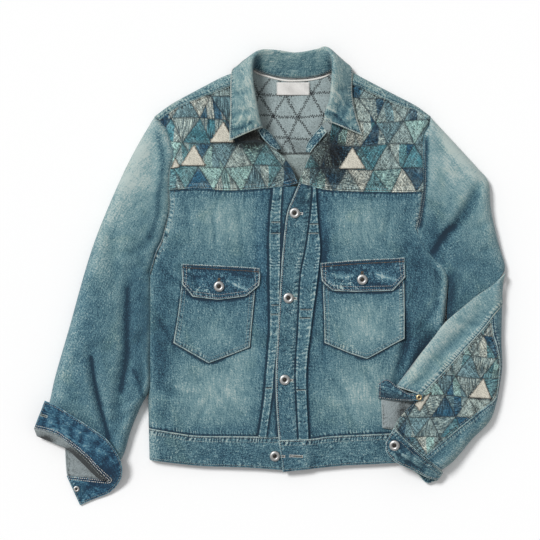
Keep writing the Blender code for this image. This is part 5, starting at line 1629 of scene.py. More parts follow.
@dataclass(frozen=True)
class Patchwork(ClothFinish):
    """Triangles of worn scraps in rows, stitched down along every edge, in their own order."""

    spot: tuple = (0.0, 0.0)    # a corner of the lattice, mm on the jacket's axes
    turn: float = 0.0           # degrees by which the rows are turned
    side: float = 45.0
    row: float = 39.0
    order: float = 0.0          # picks the arrangement of the scraps

    SCRAPS = (
        (0.00, (0.21, 0.285, 0.285)), (0.15, (0.115, 0.205, 0.235)), (0.28, (0.28, 0.35, 0.335)),
        (0.42, (0.085, 0.20, 0.225)), (0.53, (0.020, 0.085, 0.145)), (0.62, (0.22, 0.36, 0.345)),
        (0.74, (0.050, 0.165, 0.205)), (0.84, (0.38, 0.41, 0.37)), (0.92, (0.016, 0.055, 0.092)))
    FADED = (0.165, 0.235, 0.245)   # what every scrap fades towards
    STITCHED = (0.030, 0.045, 0.055)    # along the seam lines
    STRIP = 12.5                # width in mm of the strips that some triangles are pieced from
    WARP = ((2.6, 17.0, 29.0), (2.2, 23.0, 19.0))   # sway of the seam lines: size and lengths in mm

    def sway(self, places: np.ndarray) -> np.ndarray:
        """How far the lattice is pushed aside at places on it, in mm."""
        shift = [size * np.sin(places[:, 1 - axis] / long + np.sin(places[:, axis] / short))
                 for axis, (size, long, short) in enumerate(self.WARP)]
        return np.stack(shift, -1)

    def lattice(self, graph: Graph) -> bpy.types.NodeSocket:
        """Places in mm along and across the rows of the lattice, with the sway of its lines."""
        centre = [(value - middle) * MM for value, middle in zip(self.spot, MIDDLE)]
        flat = graph.add("Mapping", {"Vector": graph.add("TexCoord").outputs["Object"],
                                     "Location": (*centre, 0),
                                     "Rotation": (0, 0, radians(self.turn)),
                                     "Scale": (MM, MM, MM)}, vector_type="TEXTURE").outputs[0]
        parts = graph.parts(flat)
        moved = []
        for axis, (size, long, short) in enumerate(self.WARP):
            inner = graph.math("SINE", graph.math("DIVIDE", parts[axis], short))
            outer = graph.math("DIVIDE", parts[1 - axis], long)
            wave = graph.math("SINE", graph.total(outer, inner))
            moved.append(graph.total(parts[axis], (wave, size)))
        return graph.vector(*moved)

    def scraps(self, graph: Graph, flat, cell, chart) -> tuple:
        """Pick a scrap for each triangle, a third of them pieced from strips.

        Args:
            graph: the material's graph.
            flat: places on the lattice.
            cell: the number of the triangle.
            chart: the cloth's own map.

        Returns:
            The colour of the scrap, and its pattern of light and dark yarns from 0 to 1.
        """
        key = graph.add("VectorMath", {0: cell, 1: (self.order, 0.37, 0.71)}).outputs[0]
        strips = graph.math("FLOOR", graph.math("DIVIDE", graph.parts(flat)[0], self.STRIP))
        pieced = graph.math("GREATER_THAN", graph.chance(key, (2.1, 7.7, 4.4)), 0.66)
        pick = graph.chance(key, graph.vector(0.0, 0.0, graph.times(strips, pieced)))
        colour = graph.ramp(pick, self.SCRAPS, constant=True)
        faded = graph.span(graph.noise(chart, 48, 3.0), -0.5, 1.1, 0.0, 0.55)
        colour = graph.mix(faded, colour, self.FADED)

        def yarns(turn: float, fineness: float, length: float):
            """Streaks of yarn that run one way."""
            return graph.noise(graph.turned(flat, turn), 1, 2.0, 0.3, stretch=(fineness, length, 1))

        weave = graph.chance(key, (5.3, 2.9, 1.7))
        crossed = graph.math("MAXIMUM", yarns(38, 0.60, 0.07), yarns(-41, 0.55, 0.07))
        pattern = graph.mix(graph.math("LESS_THAN", weave, 0.6), yarns(3, 0.62, 0.05), crossed)
        crumpled = graph.math("GREATER_THAN", weave, 0.82)
        pattern = graph.mix(crumpled, pattern, yarns(84, 0.45, 0.16))
        return colour, graph.span(pattern, -0.65, 0.95)

    def dress(self, graph: Graph, shader: bpy.types.Node) -> None:
        """Colour each triangle's scrap and its yarns, and darken it along the stitching."""
        found = self.worn(graph)
        flat = self.lattice(graph)
        cells = graph.effect(triangle_lattice, Vector=flat, Side=self.side, Row=self.row)
        colour, pattern = self.scraps(graph, flat, cells["Cell"], found["chart"])
        dark = graph.tinted(colour, (0.28, 0.36, 0.42))
        light = graph.tinted(colour, (1.85, 1.75, 1.65))
        colour = graph.mix(pattern, dark, light)
        shade = graph.math("MULTIPLY_ADD", found["level"], 0.8, 0.1)
        shade = graph.span(shade, 0.0, 1.0, 0.04, 1.9)
        colour = graph.tinted(colour, graph.vector(shade, shade, shade))
        frayed = graph.noise(found["chart"], 420, 2.0)
        seam = graph.span(graph.total(cells["Gap"], (frayed, 0.8)), 0.0, 1.5, 0.60, 0.0)
        halo = graph.span(graph.total(cells["Gap"], (frayed, 2.6)), 0.6, 3.4, 0.30, 0.0)
        colour = graph.mix(graph.math("MAXIMUM", seam, halo), colour, self.STITCHED)
        pillow = graph.span(cells["Gap"], 0.0, 6.0, 0.0, 0.6)
        self.surface(graph, shader, colour, found, graph.total(pillow, (pattern, 0.18)))


@dataclass(frozen=True)
class Plain(ClothFinish):
    """Undyed or greyed cloth of one colour: insides, tape, label and cream patches."""

    colour: tuple = (0.37, 0.42, 0.42)
    hatch: float = 0.0          # strength of the darker yarns that show through

    def dress(self, graph: Graph, shader: bpy.types.Node) -> None:
        """Vary one colour by the grain and the wear, with darker yarns showing through."""
        found = self.worn(graph)
        low = tuple(value * 0.12 for value in self.colour)
        high = tuple(min(value * 1.35, 0.9) for value in self.colour)
        colour = graph.ramp(graph.math("ADD", found["level"], 0.0, clamp=True),
                            ((0.0, low), (0.5, self.colour), (1.0, high)))
        yarns = graph.noise(found["chart"], 1, 1.0, stretch=(260, 1100, 1))
        yarns = graph.span(yarns, 0.1, 1.2, 0.0, self.hatch)
        colour = graph.mix(yarns, colour, (0.09, 0.12, 0.14))
        self.surface(graph, shader, colour, found)


@dataclass(frozen=True)
class ThreadFinish(Finish):
    """Cotton sewing thread."""

    thread: Thread = Thread.PALE

    def dress(self, graph: Graph, shader: bpy.types.Node) -> None:
        """Vary the thread's colour along the seam."""
        place = graph.add("TexCoord").outputs["Object"]
        base = self.thread.value
        spots = graph.span(graph.noise(place, 240, 2.0), -1.2, 1.2)
        colour = graph.mix(spots, tuple(value * 0.6 for value in base),
                           tuple(min(value * 1.3, 0.8) for value in base))
        graph.put(colour, shader.inputs["Base Color"])
        graph.put(graph.math("MULTIPLY_ADD", spots, 0.1, 0.75), shader.inputs["Roughness"])


@dataclass(frozen=True)
class Metal(Finish):
    """Worn button metal: bright on the rims, dull and darker where it is not rubbed."""

    colour: tuple = (0.55, 0.54, 0.52)
    rough: float = 0.34

    def dress(self, graph: Graph, shader: bpy.types.Node) -> None:
        """Spots of tarnish change both the colour and the gloss."""
        place = graph.add("TexCoord").outputs["Object"]
        spots = graph.span(graph.noise(place, 700, 3.0), -0.6, 1.4)
        dull = tuple(value * 0.45 for value in self.colour)
        graph.put(graph.mix(spots, self.colour, dull), shader.inputs["Base Color"])
        graph.put(graph.math("MULTIPLY_ADD", spots, 0.25, self.rough), shader.inputs["Roughness"])
        scratch = graph.noise(place, 1600, 2.0)
        bump = graph.add("Bump", {"Height": scratch, "Distance": 0.03 * MM, "Strength": 0.6})
        graph.put(bump.outputs[0], shader.inputs["Normal"])
        shader.inputs["Metallic"].default_value = 1.0


BODY_DENIM = Denim("body_denim", "denim_body", fade=0.46, blue=0.15)
STRIP_DENIM = Denim("strip_denim", "denim_body", fade=0.44, blue=0.25, pits=0.20)
POCKET_DENIM = Denim("pocket_denim", "denim_body", fade=0.46, blue=0.2, pits=0.10)
SLEEVE_DENIM = Denim("sleeve_denim", "denim_body", fade=0.45, blue=0.15)
BAND_DENIM = Denim("band_denim", "denim_body", fade=0.45, blue=0.15, grain=1.2, pits=0.20)
CUFF_DENIM = Denim("cuff_denim", "denim_body", fade=0.43, grain=1.1, pits=0.30)
COLLAR_DENIM = Denim("collar_denim", "denim_faded", fade=0.68, grain=0.9, pits=0.20,
                     cast=(1.03, 1.0, 0.97))
PLACKET_DENIM = Denim("placket_denim", "denim_faded", fade=0.40, blue=0.25, grain=1.1, pits=0.22)
FOREARM_DENIM = Denim("forearm_denim", "denim_faded", fade=0.72)
FLAP_DENIM = Denim("flap_denim", "denim_dark", fade=0.24, blue=0.5, grain=1.4, pits=0.36)
TURNED_DENIM = Denim("turned_cuff_denim", "denim_dark", fade=0.28, blue=1.0, pits=0.22)
BACK_INSIDE = Plain("back_inside", "denim_body", colour=(0.32, 0.39, 0.38), hatch=0.5)
INSIDE = Plain("inside_denim", "denim_inside", colour=(0.31, 0.36, 0.37), hatch=0.5, grain=0.6)
QUILTED = Plain("quilted_inside", "quilted_inside", colour=(0.37, 0.45, 0.455), hatch=0.45,
                grain=0.5)
SHOULDER = Denim("shoulder_denim", "patchwork", fade=0.54, grain=1.5, pits=0.3,
                 cast=(0.98, 1.0, 0.98))
FACING = Denim("neck_facing", "patchwork", fade=0.50, grain=1.8, pits=0.4)
CUFF_END = Denim("cuff_end_denim", "denim_body", fade=0.17, blue=0.3, grain=1.2, pits=0.3)
CREAM = Plain("cream_cloth", "cream_cloth", colour=(0.69, 0.66, 0.56), hatch=0.5, grain=0.6)
TAPE = Plain("neck_tape_cloth", "cream_cloth", colour=(0.82, 0.80, 0.76), grain=0.2, pits=0.0)
LABEL = Plain("label_cloth", "label_cloth", colour=(0.80, 0.78, 0.75), grain=0.1, pits=0.0)
RIGHT_PATCHWORK = Patchwork("right_patchwork", "patchwork", spot=(-117.0, 180.0), order=3.0)
LEFT_PATCHWORK = Patchwork("left_patchwork", "patchwork", spot=(125.0, 176.0), order=7.0)
FOREARM_PATCHWORK = Patchwork("forearm_patchwork", "patchwork", spot=(322.0, -196.0), turn=-3.0,
                              side=40.0, row=34.0, order=12.0)
QUILTING = Patchwork("quilting_lines", "quilted_inside", spot=(6.0, 264.0), side=42.0, row=36.0)
SILVER = Metal("button_silver", "button_metal", colour=(0.58, 0.58, 0.57), rough=0.42)
# painted shade: the sunk centre of each button is near-black, standing for the shade inside its
# hole
RECESS_SHADE = Metal("button_recess", "button_metal", colour=(0.07, 0.065, 0.06), rough=0.5)
BRASS = Metal("rivet_brass", "rivet_metal", colour=(0.60, 0.48, 0.28), rough=0.38)


# ---------------------------------------------------------------- heights of the laid layers
BODY_EDGES = [RIGHT_SIDE, RIGHT_ARMHOLE, LEFT_SIDE, LEFT_ARMHOLE, RIGHT_SHOULDER_FOLD,
              LEFT_SHOULDER_FOLD]
BODY = Surface(BODY_EDGES, BODY_CROWN, BODY_SWELLS, BODY_FOLDS, BODY_CREASES, 0.5)
BODY_UNFOLDED = Surface(BODY_EDGES, BODY_CROWN, BODY_SWELLS, (), BODY_CREASES, 0.5)
RIGHT_SLEEVE = Surface([RIGHT_SLEEVE_OUTER, RIGHT_SLEEVE_INNER, RIGHT_ARMHOLE], RIGHT_SLEEVE_CROWN,
                       folds=RIGHT_SLEEVE_FOLDS, creases=RIGHT_SLEEVE_CREASES, loose=0.7)
LEFT_SLEEVE = Surface([LEFT_SLEEVE_OUTER, LEFT_SLEEVE_INNER, LEFT_ARMHOLE], LEFT_SLEEVE_CROWN,
                      folds=LEFT_SLEEVE_FOLDS, creases=LEFT_SLEEVE_CREASES, loose=0.6)
FOREARM = Surface([FOREARM_FOLD, FOREARM_OUTER], FOREARM_CROWN, folds=FOREARM_FOLDS,
                  creases=FOREARM_CREASES, loose=0.4)
RIGHT_FLANK = joined(RIGHT_SIDE, RIGHT_ARMHOLE)
LEFT_FLANK = joined(LEFT_SIDE, LEFT_ARMHOLE)
ELBOW_FOLD = Curve(FOREARM_FOLD).between((384, 6), (285, -74))


def on_floor(places: np.ndarray) -> np.ndarray:
    """Height of a layer that lies on the floor, lifted a little by its own creases."""
    return FLOOR + 0.25 + 0.25 * np.tanh(slack(places, 1.0))


def under_forearm(places: np.ndarray) -> np.ndarray:
    """Height of the forearm's lower layer: over the front and the upper arm, then the floor."""
    side, roll, hem = 297, 24, -292     # where the front below ends, its rounded edge, and its hem
    gap, more = 1.2, 1.6                # clearance over the front, and what its roll adds to that
    arm_height, elbow = 23.5, 10        # of the upper arm, and how far past the fold that holds
    x, y = places[..., 0], places[..., 1]
    inboard = np.stack([np.minimum(x, side - roll), np.maximum(y, hem)], -1)
    clear = STACK + gap + more * eased((x - 250) / 20)
    over_front = (BODY.smooth(inboard) + clear) * (1 - eased((x - side) / 26))
    over_arm = arm_height * (1 - eased((np.abs(ELBOW_FOLD.nearest(places)[0]) - elbow) / 28))
    over_arm = over_arm * eased((x - 240) / 40)
    return np.maximum(np.maximum(over_front, over_arm), FLOOR)


# ---------------------------------------------------------------- kinds of seam
YOKE_SEAM = Edge(pucker=0.34, pitch=5.2, reach=12, band=9, rise=0.9, rope=0.8, bare=0.7,
                 rows=(2.0, 7.6))
UNDER_SEAM = Edge(pucker=0.36, pitch=5.6, reach=14, rope=0.9)
WAIST_SEAM = Edge(pucker=0.40, pitch=5.2, reach=12, rope=1.3)
ARMHOLE = Edge(pucker=0.35, pitch=6.0, reach=15, rope=0.5, rows=(2.2, 9.0))
FELLED = Edge(pucker=0.30, pitch=5.0, reach=11, band=9, rise=0.7, rope=1.6, bare=0.6,
              rows=(2.0, 7.6))
TOPSTITCHED = Edge(pucker=0.28, pitch=4.8, reach=9, rope=0.9, bare=0.7, rows=(2.2,))
TWICE_STITCHED = Edge(pucker=0.30, pitch=4.8, reach=10, rope=1.2, bare=1.1, rows=(2.6, 7.8))
FLAP_EDGE = Edge(pucker=0.30, pitch=4.8, reach=10, rope=1.7, bare=1.7, rows=(2.6, 8.0),
                 thread=Thread.CREAM)
TURNED_EDGE = Edge(pucker=0.26, pitch=6.0, reach=9, rope=0.9, bare=1.1, rows=(2.4,),
                   thread=Thread.CREAM)
# a pleat's edge is painted dark, as the shade where its fold lies on the cloth below, with a paler
# line beside it
PLEAT_EDGE = Edge(pucker=0.26, pitch=7.4, reach=7, rope=1.1, bare=-1.0)


THREAD_SLOTS = {Thread.PALE: "denim_faded", Thread.CREAM: "cream_cloth"}


@dataclass
class Part:
    """A sub-assembly: it shapes its cloth pieces, sews them and makes the objects."""

    area: str
    HOLE_HALF = 1.35            # from a buttonhole's slit to the middle of its rows
    BAR_HALF = 2.0              # half the length of the bar at its end

    def __post_init__(self) -> None:
        """Start with no pieces and one empty Sewing for each thread."""
        self.pieces = []
        self.sewing = {thread: Sewing(f"{self.area}_{thread.name.lower()}_thread", thread)
                       for thread in Thread}

    def add(self, name: str, grid: np.ndarray, finish: ClothFinish, **settings) -> Cloth:
        """Add a cloth piece and sew its edges.

        Args:
            name: its CAD node.
            grid: its middle points.
            finish: its finish.
            settings: the other fields of Cloth.

        Returns:
            The piece.
        """
        piece = Cloth(name, grid, finish, **settings)
        piece.finish_edges(self.sewing)
        self.pieces.append(piece)
        return piece

    def shape(self) -> None:
        """Shape the pieces and sew them."""
        raise NotImplementedError

    def build(self) -> None:
        """Make every object of the part."""
        self.shape()
        for piece in self.pieces:
            piece.build()
        for thread, sewing in self.sewing.items():
            slot = THREAD_SLOTS.get(thread, "denim_dark")
            sewing.build(ThreadFinish(thread.name.lower() + "_cotton", slot, thread))

    def bar_tack(self, piece: Cloth, start: tuple, end: tuple, thread: Thread,
                 width: float = 2.2) -> None:
        """Sew a dense short bar across a piece.

        Args:
            piece: the cloth.
            start, end: the bar's ends, x and y.
            thread: the colour.
            width: the bar's width.
        """
        places = np.linspace(start, end, 12)
        for line, ups in piece.dropped(places):
            self.sewing[thread].zigzag(line, ups, width, 0.55, radius=0.24, ragged=0.12)

    def buttonhole(self, piece: Cloth, start: tuple, end: tuple,
                   thread: Thread = Thread.CREAM) -> None:
        """Sew round a slit: its dark gap, drawn as painted shade with near-black rods, a dense row
        on each side and a bar at its end.

        Args:
            piece: the cloth.
            start, end: the slit's ends, x and y.
            thread: the colour.
        """
        places = np.linspace(start, end, 14)
        run = places[-1] - places[0]
        aside = np.array([-run[1], run[0]]) / np.linalg.norm(run)
        # painted shade: a row of near-black rods stands for the dark opening of the slit
        for line, ups in piece.dropped(places):
            self.sewing[Thread.DARK].row(line, ups, pitch=2.0, length=2.6, radius=0.55)
        for way in (-1, 1):
            for line, ups in piece.dropped(places + aside * way * self.HOLE_HALF):
                self.sewing[thread].zigzag(line, ups, 1.7, 0.42, radius=0.2, ragged=0.15)
        bar = aside * self.BAR_HALF
        self.bar_tack(piece, places[-1] - bar, places[-1] + bar, thread)

    def quilt(self, piece: Cloth, finish: Patchwork, width: float, pitch: float,
              radius: float) -> None:
        """Sew dark zigzags along every line of a triangle lattice.

        Args:
            piece: the cloth to sew on.
            finish: gives the lattice.
            width: of each zigzag.
            pitch: advance of each stroke.
            radius: half the thread's thickness.
        """
        turn = radians(finish.turn)
        across_way, up_way = np.array([cos(turn), sin(turn)]), np.array([-sin(turn), cos(turn)])
        reach = np.arange(-240, 240, 1.5)
        slant = np.array([finish.side / 2, finish.row]) / np.hypot(finish.side / 2, finish.row)
        for number in range(-8, 9):
            level = np.stack([reach, np.full_like(reach, number * finish.row)], -1)
            rising, falling = (np.stack([number * finish.side + way * reach * slant[0],
                                         reach * slant[1]], -1) for way in (1, -1))
            for line in (level, rising, falling):
                spots = line - finish.sway(line)
                places = finish.spot + spots[:, :1] * across_way + spots[:, 1:] * up_way
                for run, ups in piece.dropped(places):
                    self.sewing[Thread.DARK].zigzag(run, ups, width, pitch, radius, 0.4)


# ---------------------------------------------------------------- the body
@dataclass
class Fronts(Part):
    """Both fronts, from side fold and armhole to the pleats, between waist seam and yoke."""

    area: str = "front"
    roll: float = 12.0          # width of the roll along the side fold
    overlap: tuple = (6.0, -8.0)    # how far each front runs under its pleat

    def shape(self) -> None:
        """Shape both fronts."""
        self.front("right_front", "l",
                   (RIGHT_FLANK.between((-198, -247), (-165, 141)),
                    Curve(RIGHT_PLEAT_OUTER).shifted(self.overlap[0]),
                    Curve(RIGHT_WAIST).between((-198, -247), (-14, -260)),
                    Curve(RIGHT_YOKE_HEM).between((-165, 141), (10, 146))),
                   rolled(185, near=self.roll),
                   Edge(pucker=0.5, pitch=7.4, reach=18, rope=1.9, bare=1.0, rows=(3.0, 10.5),
                        span=(0.7, 1.0), skip=len(TUCK_SHARES)),
                   self.outlines(RIGHT_PLEAT_OUTER, RIGHT_POCKET, RIGHT_YOKE_HEM))
        self.front("left_front", "r",
                   (Curve(LEFT_PLEAT_OUTER).shifted(self.overlap[1]),
                    LEFT_FLANK.between((288, -252), (250, 139)),
                    Curve(LEFT_WAIST).between((56, -264.5), (288, -252)),
                    Curve(LEFT_YOKE_HEM).between((68, 148), (250, 139))),
                   rolled(205, far=self.roll),
                   Edge(pucker=0.5, pitch=7.4, reach=16, rope=1.5, bare=0.8, rows=(3.0,),
                        span=(0.84, 1.0), skip=len(TUCK_SHARES)),
                   self.outlines(LEFT_PLEAT_OUTER, LEFT_POCKET, LEFT_YOKE_HEM) + LEFT_FRONT_SHADES)

    def front(self, name: str, outer: str, sides: tuple, columns: np.ndarray, armhole: Edge,
              shades: tuple) -> None:
        """Shape one front.

        Args:
            name: its CAD node.
            outer: l or r, its side along the fold and the armhole.
            sides: its left and right side, its bottom and top.
            columns: shares across.
            armhole: how its outer side is sewn.
            shades: its lines of shade.
        """
        places = across(*sides, columns, even(395, fine="<>"))
        self.add(name, tucked(drawn_in(laid(places, BODY)), outer), BODY_DENIM,
                 edges={"b": WAIST_SEAM, "t": UNDER_SEAM, outer: armhole}, tones=BODY_TONES,
                 shades=shades, inside=INSIDE, rests_on=("back_body",))

    @staticmethod
    def outlines(pleat: list, pocket: Sides, hem: list) -> tuple:
        """Lines of shade beside what lies on a front."""
        return ((pleat, 2.2, 0.85), (pleat, 9.0, 0.10), (pocket.left, 2.0, 0.6),
                (pocket.bottom, 2.4, 0.8), (pocket.right, 2.0, 0.8), (hem, 2.0, 0.55),
                (RIGHT_WAIST, 2.0, 0.5), (LEFT_WAIST, 2.0, 0.5))


@dataclass
class Yokes(Part):
    """Front yokes of patchwork, stitched down along every triangle."""

    area: str = "yoke"
    stitch_width: float = 2.9

    def shape(self) -> None:
        """Shape both yokes and quilt them."""
        right = self.yoke("right_yoke", RIGHT_PATCHWORK, "l",
                          (RIGHT_FLANK.between((-165, 141), (-181, 255)),
                           Curve(RIGHT_NECKLINE), Curve(RIGHT_YOKE_HEM), Curve(RIGHT_SHOULDER)),
                          rolled(170, near=12), even(120, fine="<>"))
        left = self.yoke("left_yoke", LEFT_PATCHWORK, "r",
                         (Curve(LEFT_NECKLINE),
                          LEFT_FLANK.between((250, 139), (261, 257)),
                          Curve(LEFT_YOKE_HEM), Curve(LEFT_SHOULDER)),
                         rolled(180, far=12), even(130, fine="<>"))
        for piece in (right, left):
            self.quilt(piece, piece.finish, self.stitch_width, 1.7, 0.18)

    def yoke(self, name: str, finish: Patchwork, outer: str, sides: tuple, columns: np.ndarray,
             heights: np.ndarray) -> Cloth:
        """Shape one yoke.

        Args:
            name: its CAD node.
            finish: its finish.
            outer: l or r, its side along the armhole.
            sides: its left and right side, its bottom and top.
            columns: shares across.
            heights: shares upwards.

        Returns:
            The piece.
        """
        armhole = Edge(pucker=0.4, pitch=8.2, reach=14, rope=0.5)
        return self.add(name, drawn_in(laid(across(*sides, columns, heights), BODY)), finish,
                        edges={"b": YOKE_SEAM, "t": UNDER_SEAM, outer: armhole},
                        tones=YOKE_TONES, rests_on=("back_yoke",))


@dataclass
class FrontStrips(Part):
    """Stitched pleats and the two button strips, which lie on each other down the front."""

    area: str = "strip"
    hidden_width: float = 12.0  # how far short of the left strip's seam the right one ends
    climb: float = 7.0          # over what width the left strip climbs onto the right one

    def shape(self) -> None:
        """Shape the pleats and strips, with their bar tacks and buttonholes."""
        waist_right, waist_left = Curve(RIGHT_WAIST), Curve(LEFT_WAIST)
        hem_right, hem_left = Curve(RIGHT_YOKE_HEM), Curve(LEFT_YOKE_HEM)
        inner, seam = Curve(RIGHT_PLEAT_INNER), Curve(LEFT_PLACKET_SEAM)
        both = {"l": PLEAT_EDGE, "r": PLEAT_EDGE}
        folded = Edge(pucker=0.2, pitch=6, reach=7, rope=0.3, bare=1.3, rows=(2.4,),
                      thread=Thread.CREAM)
        pleat = self.strip("right_pleat", (Curve(RIGHT_PLEAT_OUTER), inner,
                                           waist_right.between((-20, -260), (-5, -260)),
                                           hem_right.between((4, 145), (21, 147))),
                           even(16, 1.6, "<>"), edges=both, rests_on=("right_front",))
        self.pleat_tacks(pleat, RIGHT_BAR_TACKS)
        pleat = self.strip("left_pleat", (seam, Curve(LEFT_PLEAT_OUTER),
                                          waist_left.between((46, -265), (64, -264)),
                                          hem_left.between((68, 148), (76, 146))),
                           even(18, 1.6, "<>"), edges=both, rests_on=("left_front",))
        self.pleat_tacks(pleat, LEFT_BAR_TACKS)
        self.strip("right_placket", (inner, seam.shifted(-self.hidden_width),
                                     waist_right.between((-5, -260), (34, -261)),
                                     Curve([(21, 147), (56, 148)])),
                   even(34, 3.0), rests_on=("right_front",),
                   shades=((LEFT_FRONT_EDGE, 2.8, 0.65), (RIGHT_PLEAT_INNER, 2.3, 0.75)))
        placket = self.strip("left_placket", (Curve(LEFT_FRONT_EDGE), seam,
                                              waist_left.between((13, -266), (46, -265)),
                                              hem_left.between((47, 152.5), (68, 148))),
                             even(33, 1.9, "<>"), PLACKET_DENIM, PLACKET_TONES, self.climb,
                             edges={"l": folded, "r": PLEAT_EDGE},
                             shades=((LEFT_PLACKET_SEAM, 2.4, 0.75),),
                             rests_on=("right_placket", "left_front"))
        for button in FRONT_BUTTONS[:3]:
            self.buttonhole(placket, (button.x - 6, button.y + 1), (button.x + 13, button.y - 1))

    def strip(self, name: str, sides: tuple, columns: np.ndarray, finish: Denim = STRIP_DENIM,
              tones: list = STRIP_TONES, climb: float = 0.0, **settings) -> Cloth:
        """Lay one strip from the waist seam up to the yoke.

        Args:
            name: its CAD node.
            sides: its left and right side, its bottom and top.
            columns: shares across.
            finish: its finish.
            tones: its soft spots.
            climb: how far from its right side it comes to lie one layer higher, or 0 for never.
            settings: the other fields of Cloth.

        Returns:
            The piece.
        """
        places = across(*sides, columns, even(412, fine="<>"))
        lift = STACK
        if climb:
            lift = STACK + STACK * eased((places[:, -1:, 0] - places[..., 0]) / climb)
        return self.add(name, drawn_in(laid(places, BODY_UNFOLDED, lift)), finish, tones=tones,
                        **settings)

    def pleat_tacks(self, pleat: Cloth, table: tuple) -> None:
        """Sew the short bars that hold a pleat, a dark one beside each pale one."""
        for y, x, width in table:
            self.bar_tack(pleat, (x, y - 1.5), (x + width, y - 1.5), Thread.PALE, 1.5)
            self.bar_tack(pleat, (x, y), (x + width, y), Thread.DARK, 2.0)


@dataclass
class Back(Part):
    """Back panel on the floor and the back yoke, which comes over both shoulders."""

    area: str = "back"
    inset: float = 5.0          # how far the back stays inside the side folds
    yoke_inset: float = 1.5     # the same for the back yoke

    def shape(self) -> None:
        """Shape the panel, the yoke's inside and the strips that it sends over the shoulders."""
        right = RIGHT_FLANK.between((-198, -250), (-158, 201)).shifted(self.inset)
        left = LEFT_FLANK.between((288, -250), (249, 201)).shifted(-self.inset)
        places = across(right, left, Curve([(-193.8, -250), (283.8, -250)]),
                        Curve(BACK_YOKE_SEAM), even(470, HIDDEN_CELL), even(450, HIDDEN_CELL))
        self.add("back_body", drawn_in(laid(places, on_floor)), BACK_INSIDE, inside=BODY_DENIM)
        shares = np.linspace(0, 1, 40)
        right_fold = Curve(RIGHT_SHOULDER_FOLD).at(shares)[:, :2]
        left_fold = Curve(LEFT_SHOULDER_FOLD).at(shares[::-1])[:, :2]
        neck = Curve(NECK_SEAM).at(shares)[1:-1, :2]
        top = Curve(np.vstack([right_fold - (0, 2), neck, left_fold - (0, 2)]), smooth=False)
        right = RIGHT_FLANK.between((-158, 201), (-189, 262)).shifted(self.yoke_inset)
        left = LEFT_FLANK.between((249, 201), (262, 262)).shifted(-self.yoke_inset)
        places = across(right, left, Curve(BACK_YOKE_SEAM), top, top.shares, even(120, 3.0, "<"))
        seam = Edge(pucker=0.2, pitch=6.2, reach=10, rope=0.7, rows=(2.0, 8.5))
        inside = self.add("back_yoke", drawn_in(laid(places, on_floor), sides="b"), QUILTED,
                          edges={"b": seam}, tones=INSIDE_TONES,
                          shades=((BACK_YOKE_SEAM, 1.6, 0.6),))
        self.quilt(inside, QUILTING, 5.4, 1.9, 0.42)
        for name, seam, fold, ends in (
                ("right_shoulder_strip", RIGHT_SHOULDER, RIGHT_SHOULDER_FOLD,
                 ((-181, 255), (-62, 313))),
                ("left_shoulder_strip", LEFT_SHOULDER, LEFT_SHOULDER_FOLD,
                 ((261, 257), (133, 317)))):
            along = even(140)
            low = Curve(seam).between(*ends).at(along)[:, :2]
            high = Curve(fold).at(along)[:, :2]
            shares = 1 - rolled(24, 1.8, near=6)[::-1, None, None]
            places = high + (low - high) * (1 - shares)
            if places[0, 0, 0] > places[0, -1, 0]:
                places = places[:, ::-1]
            edge = Edge(pucker=0.4, pitch=6.6, reach=12, band=8, rise=0.5, rope=0.9,
                        rows=(1.8, 7.0))
            self.add(name, tucked(drawn_in(laid(places, BODY), 0.5, "b"), "t"), SHOULDER,
                     edges={"b": edge}, extra=True)


@dataclass
class Waistband(Part):
    """One strip round the hem, from the left front edge round the back to the right front edge."""

    area: str = "waistband"
    rise: float = 0.4           # above the body's surface
    over_rise: float = 4.4      # the same where it laps over the other end
    lap: tuple = (75.0, 20.0)   # where the lap begins, and over what width it climbs

    def front(self, seam: Curve, hem: Curve, shares: np.ndarray, marks: np.ndarray) -> np.ndarray:
        """Rows of a front stretch, from its start to its end.

        Args:
            seam, hem: its two edges.
            shares: across the band.
            marks: along the band.

        Returns:
            The grid.
        """
        a, b = seam.at(marks)[:, None, :2], hem.at(marks)[:, None, :2]
        places = a + (b - a) * shares[None, :, None]
        return np.concatenate([places, BODY(places)[..., None] + self.rise], -1)

    def shape(self) -> None:
        """Shape the band and its ends."""
        shares = even(50, 1.9, "<>")
        left = self.front(Curve(LEFT_WAIST).between((14, -266), (288, -252)),
                          Curve(LEFT_HEM[::-1]), shares, even(274, fine="<>"))
        climb = eased((self.lap[0] - left[..., 0]) / self.lap[1])
        left[..., 2] += (self.over_rise - self.rise) * climb
        right = self.front(Curve(RIGHT_WAIST).between((-197.5, -248), (42, -261)),
                           Curve(RIGHT_HEM[::-1]), shares, even(240, fine="<>"))
        back = []
        hem_x, hem_y = np.array(BACK_HEM).T
        for x in np.linspace(hem_x[-1], hem_x[0], 68):
            hem = np.interp(x, hem_x, hem_y)
            y = BACK_WAIST + (hem - BACK_WAIST) * shares
            back.append(np.stack([np.full_like(y, x), y, np.full_like(y, BAND / 2)], -1))
        turn = []
        for edge, back_end in ((left[-1], back[0]), (right[0], back[-1])):
            turn.append([edge + (back_end - edge) * (share ** 2, share ** 2, sin(share * pi / 2))
                         for share in (0.25, 0.5, 0.75)])
        grid = np.array([*left, *turn[0], *back, *turn[1][::-1], *right])
        edges = {"l": Edge(pucker=0.40, pitch=5.6, reach=13, rope=2.5, bare=1.2, rows=(2.4, 9.0)),
                 "r": Edge(pucker=0.30, pitch=6.4, reach=10, rope=0.9, rows=(3.2,)),
                 "b": TOPSTITCHED, "t": TOPSTITCHED}
        band = self.add("waistband", grid, BAND_DENIM, wall=BAND, edges=edges, tones=BAND_TONES,
                        rests_on=("left_front", "right_front"))
        self.buttonhole(band, (1, -291.5), (24, -292.5))
        self.buttonhole(band, (31, -291.5), (53, -292.5))


# ---------------------------------------------------------------- sleeves and cuffs
SLEEVE_TUCK = 3.0           # how far a sleeve runs under the body's edge


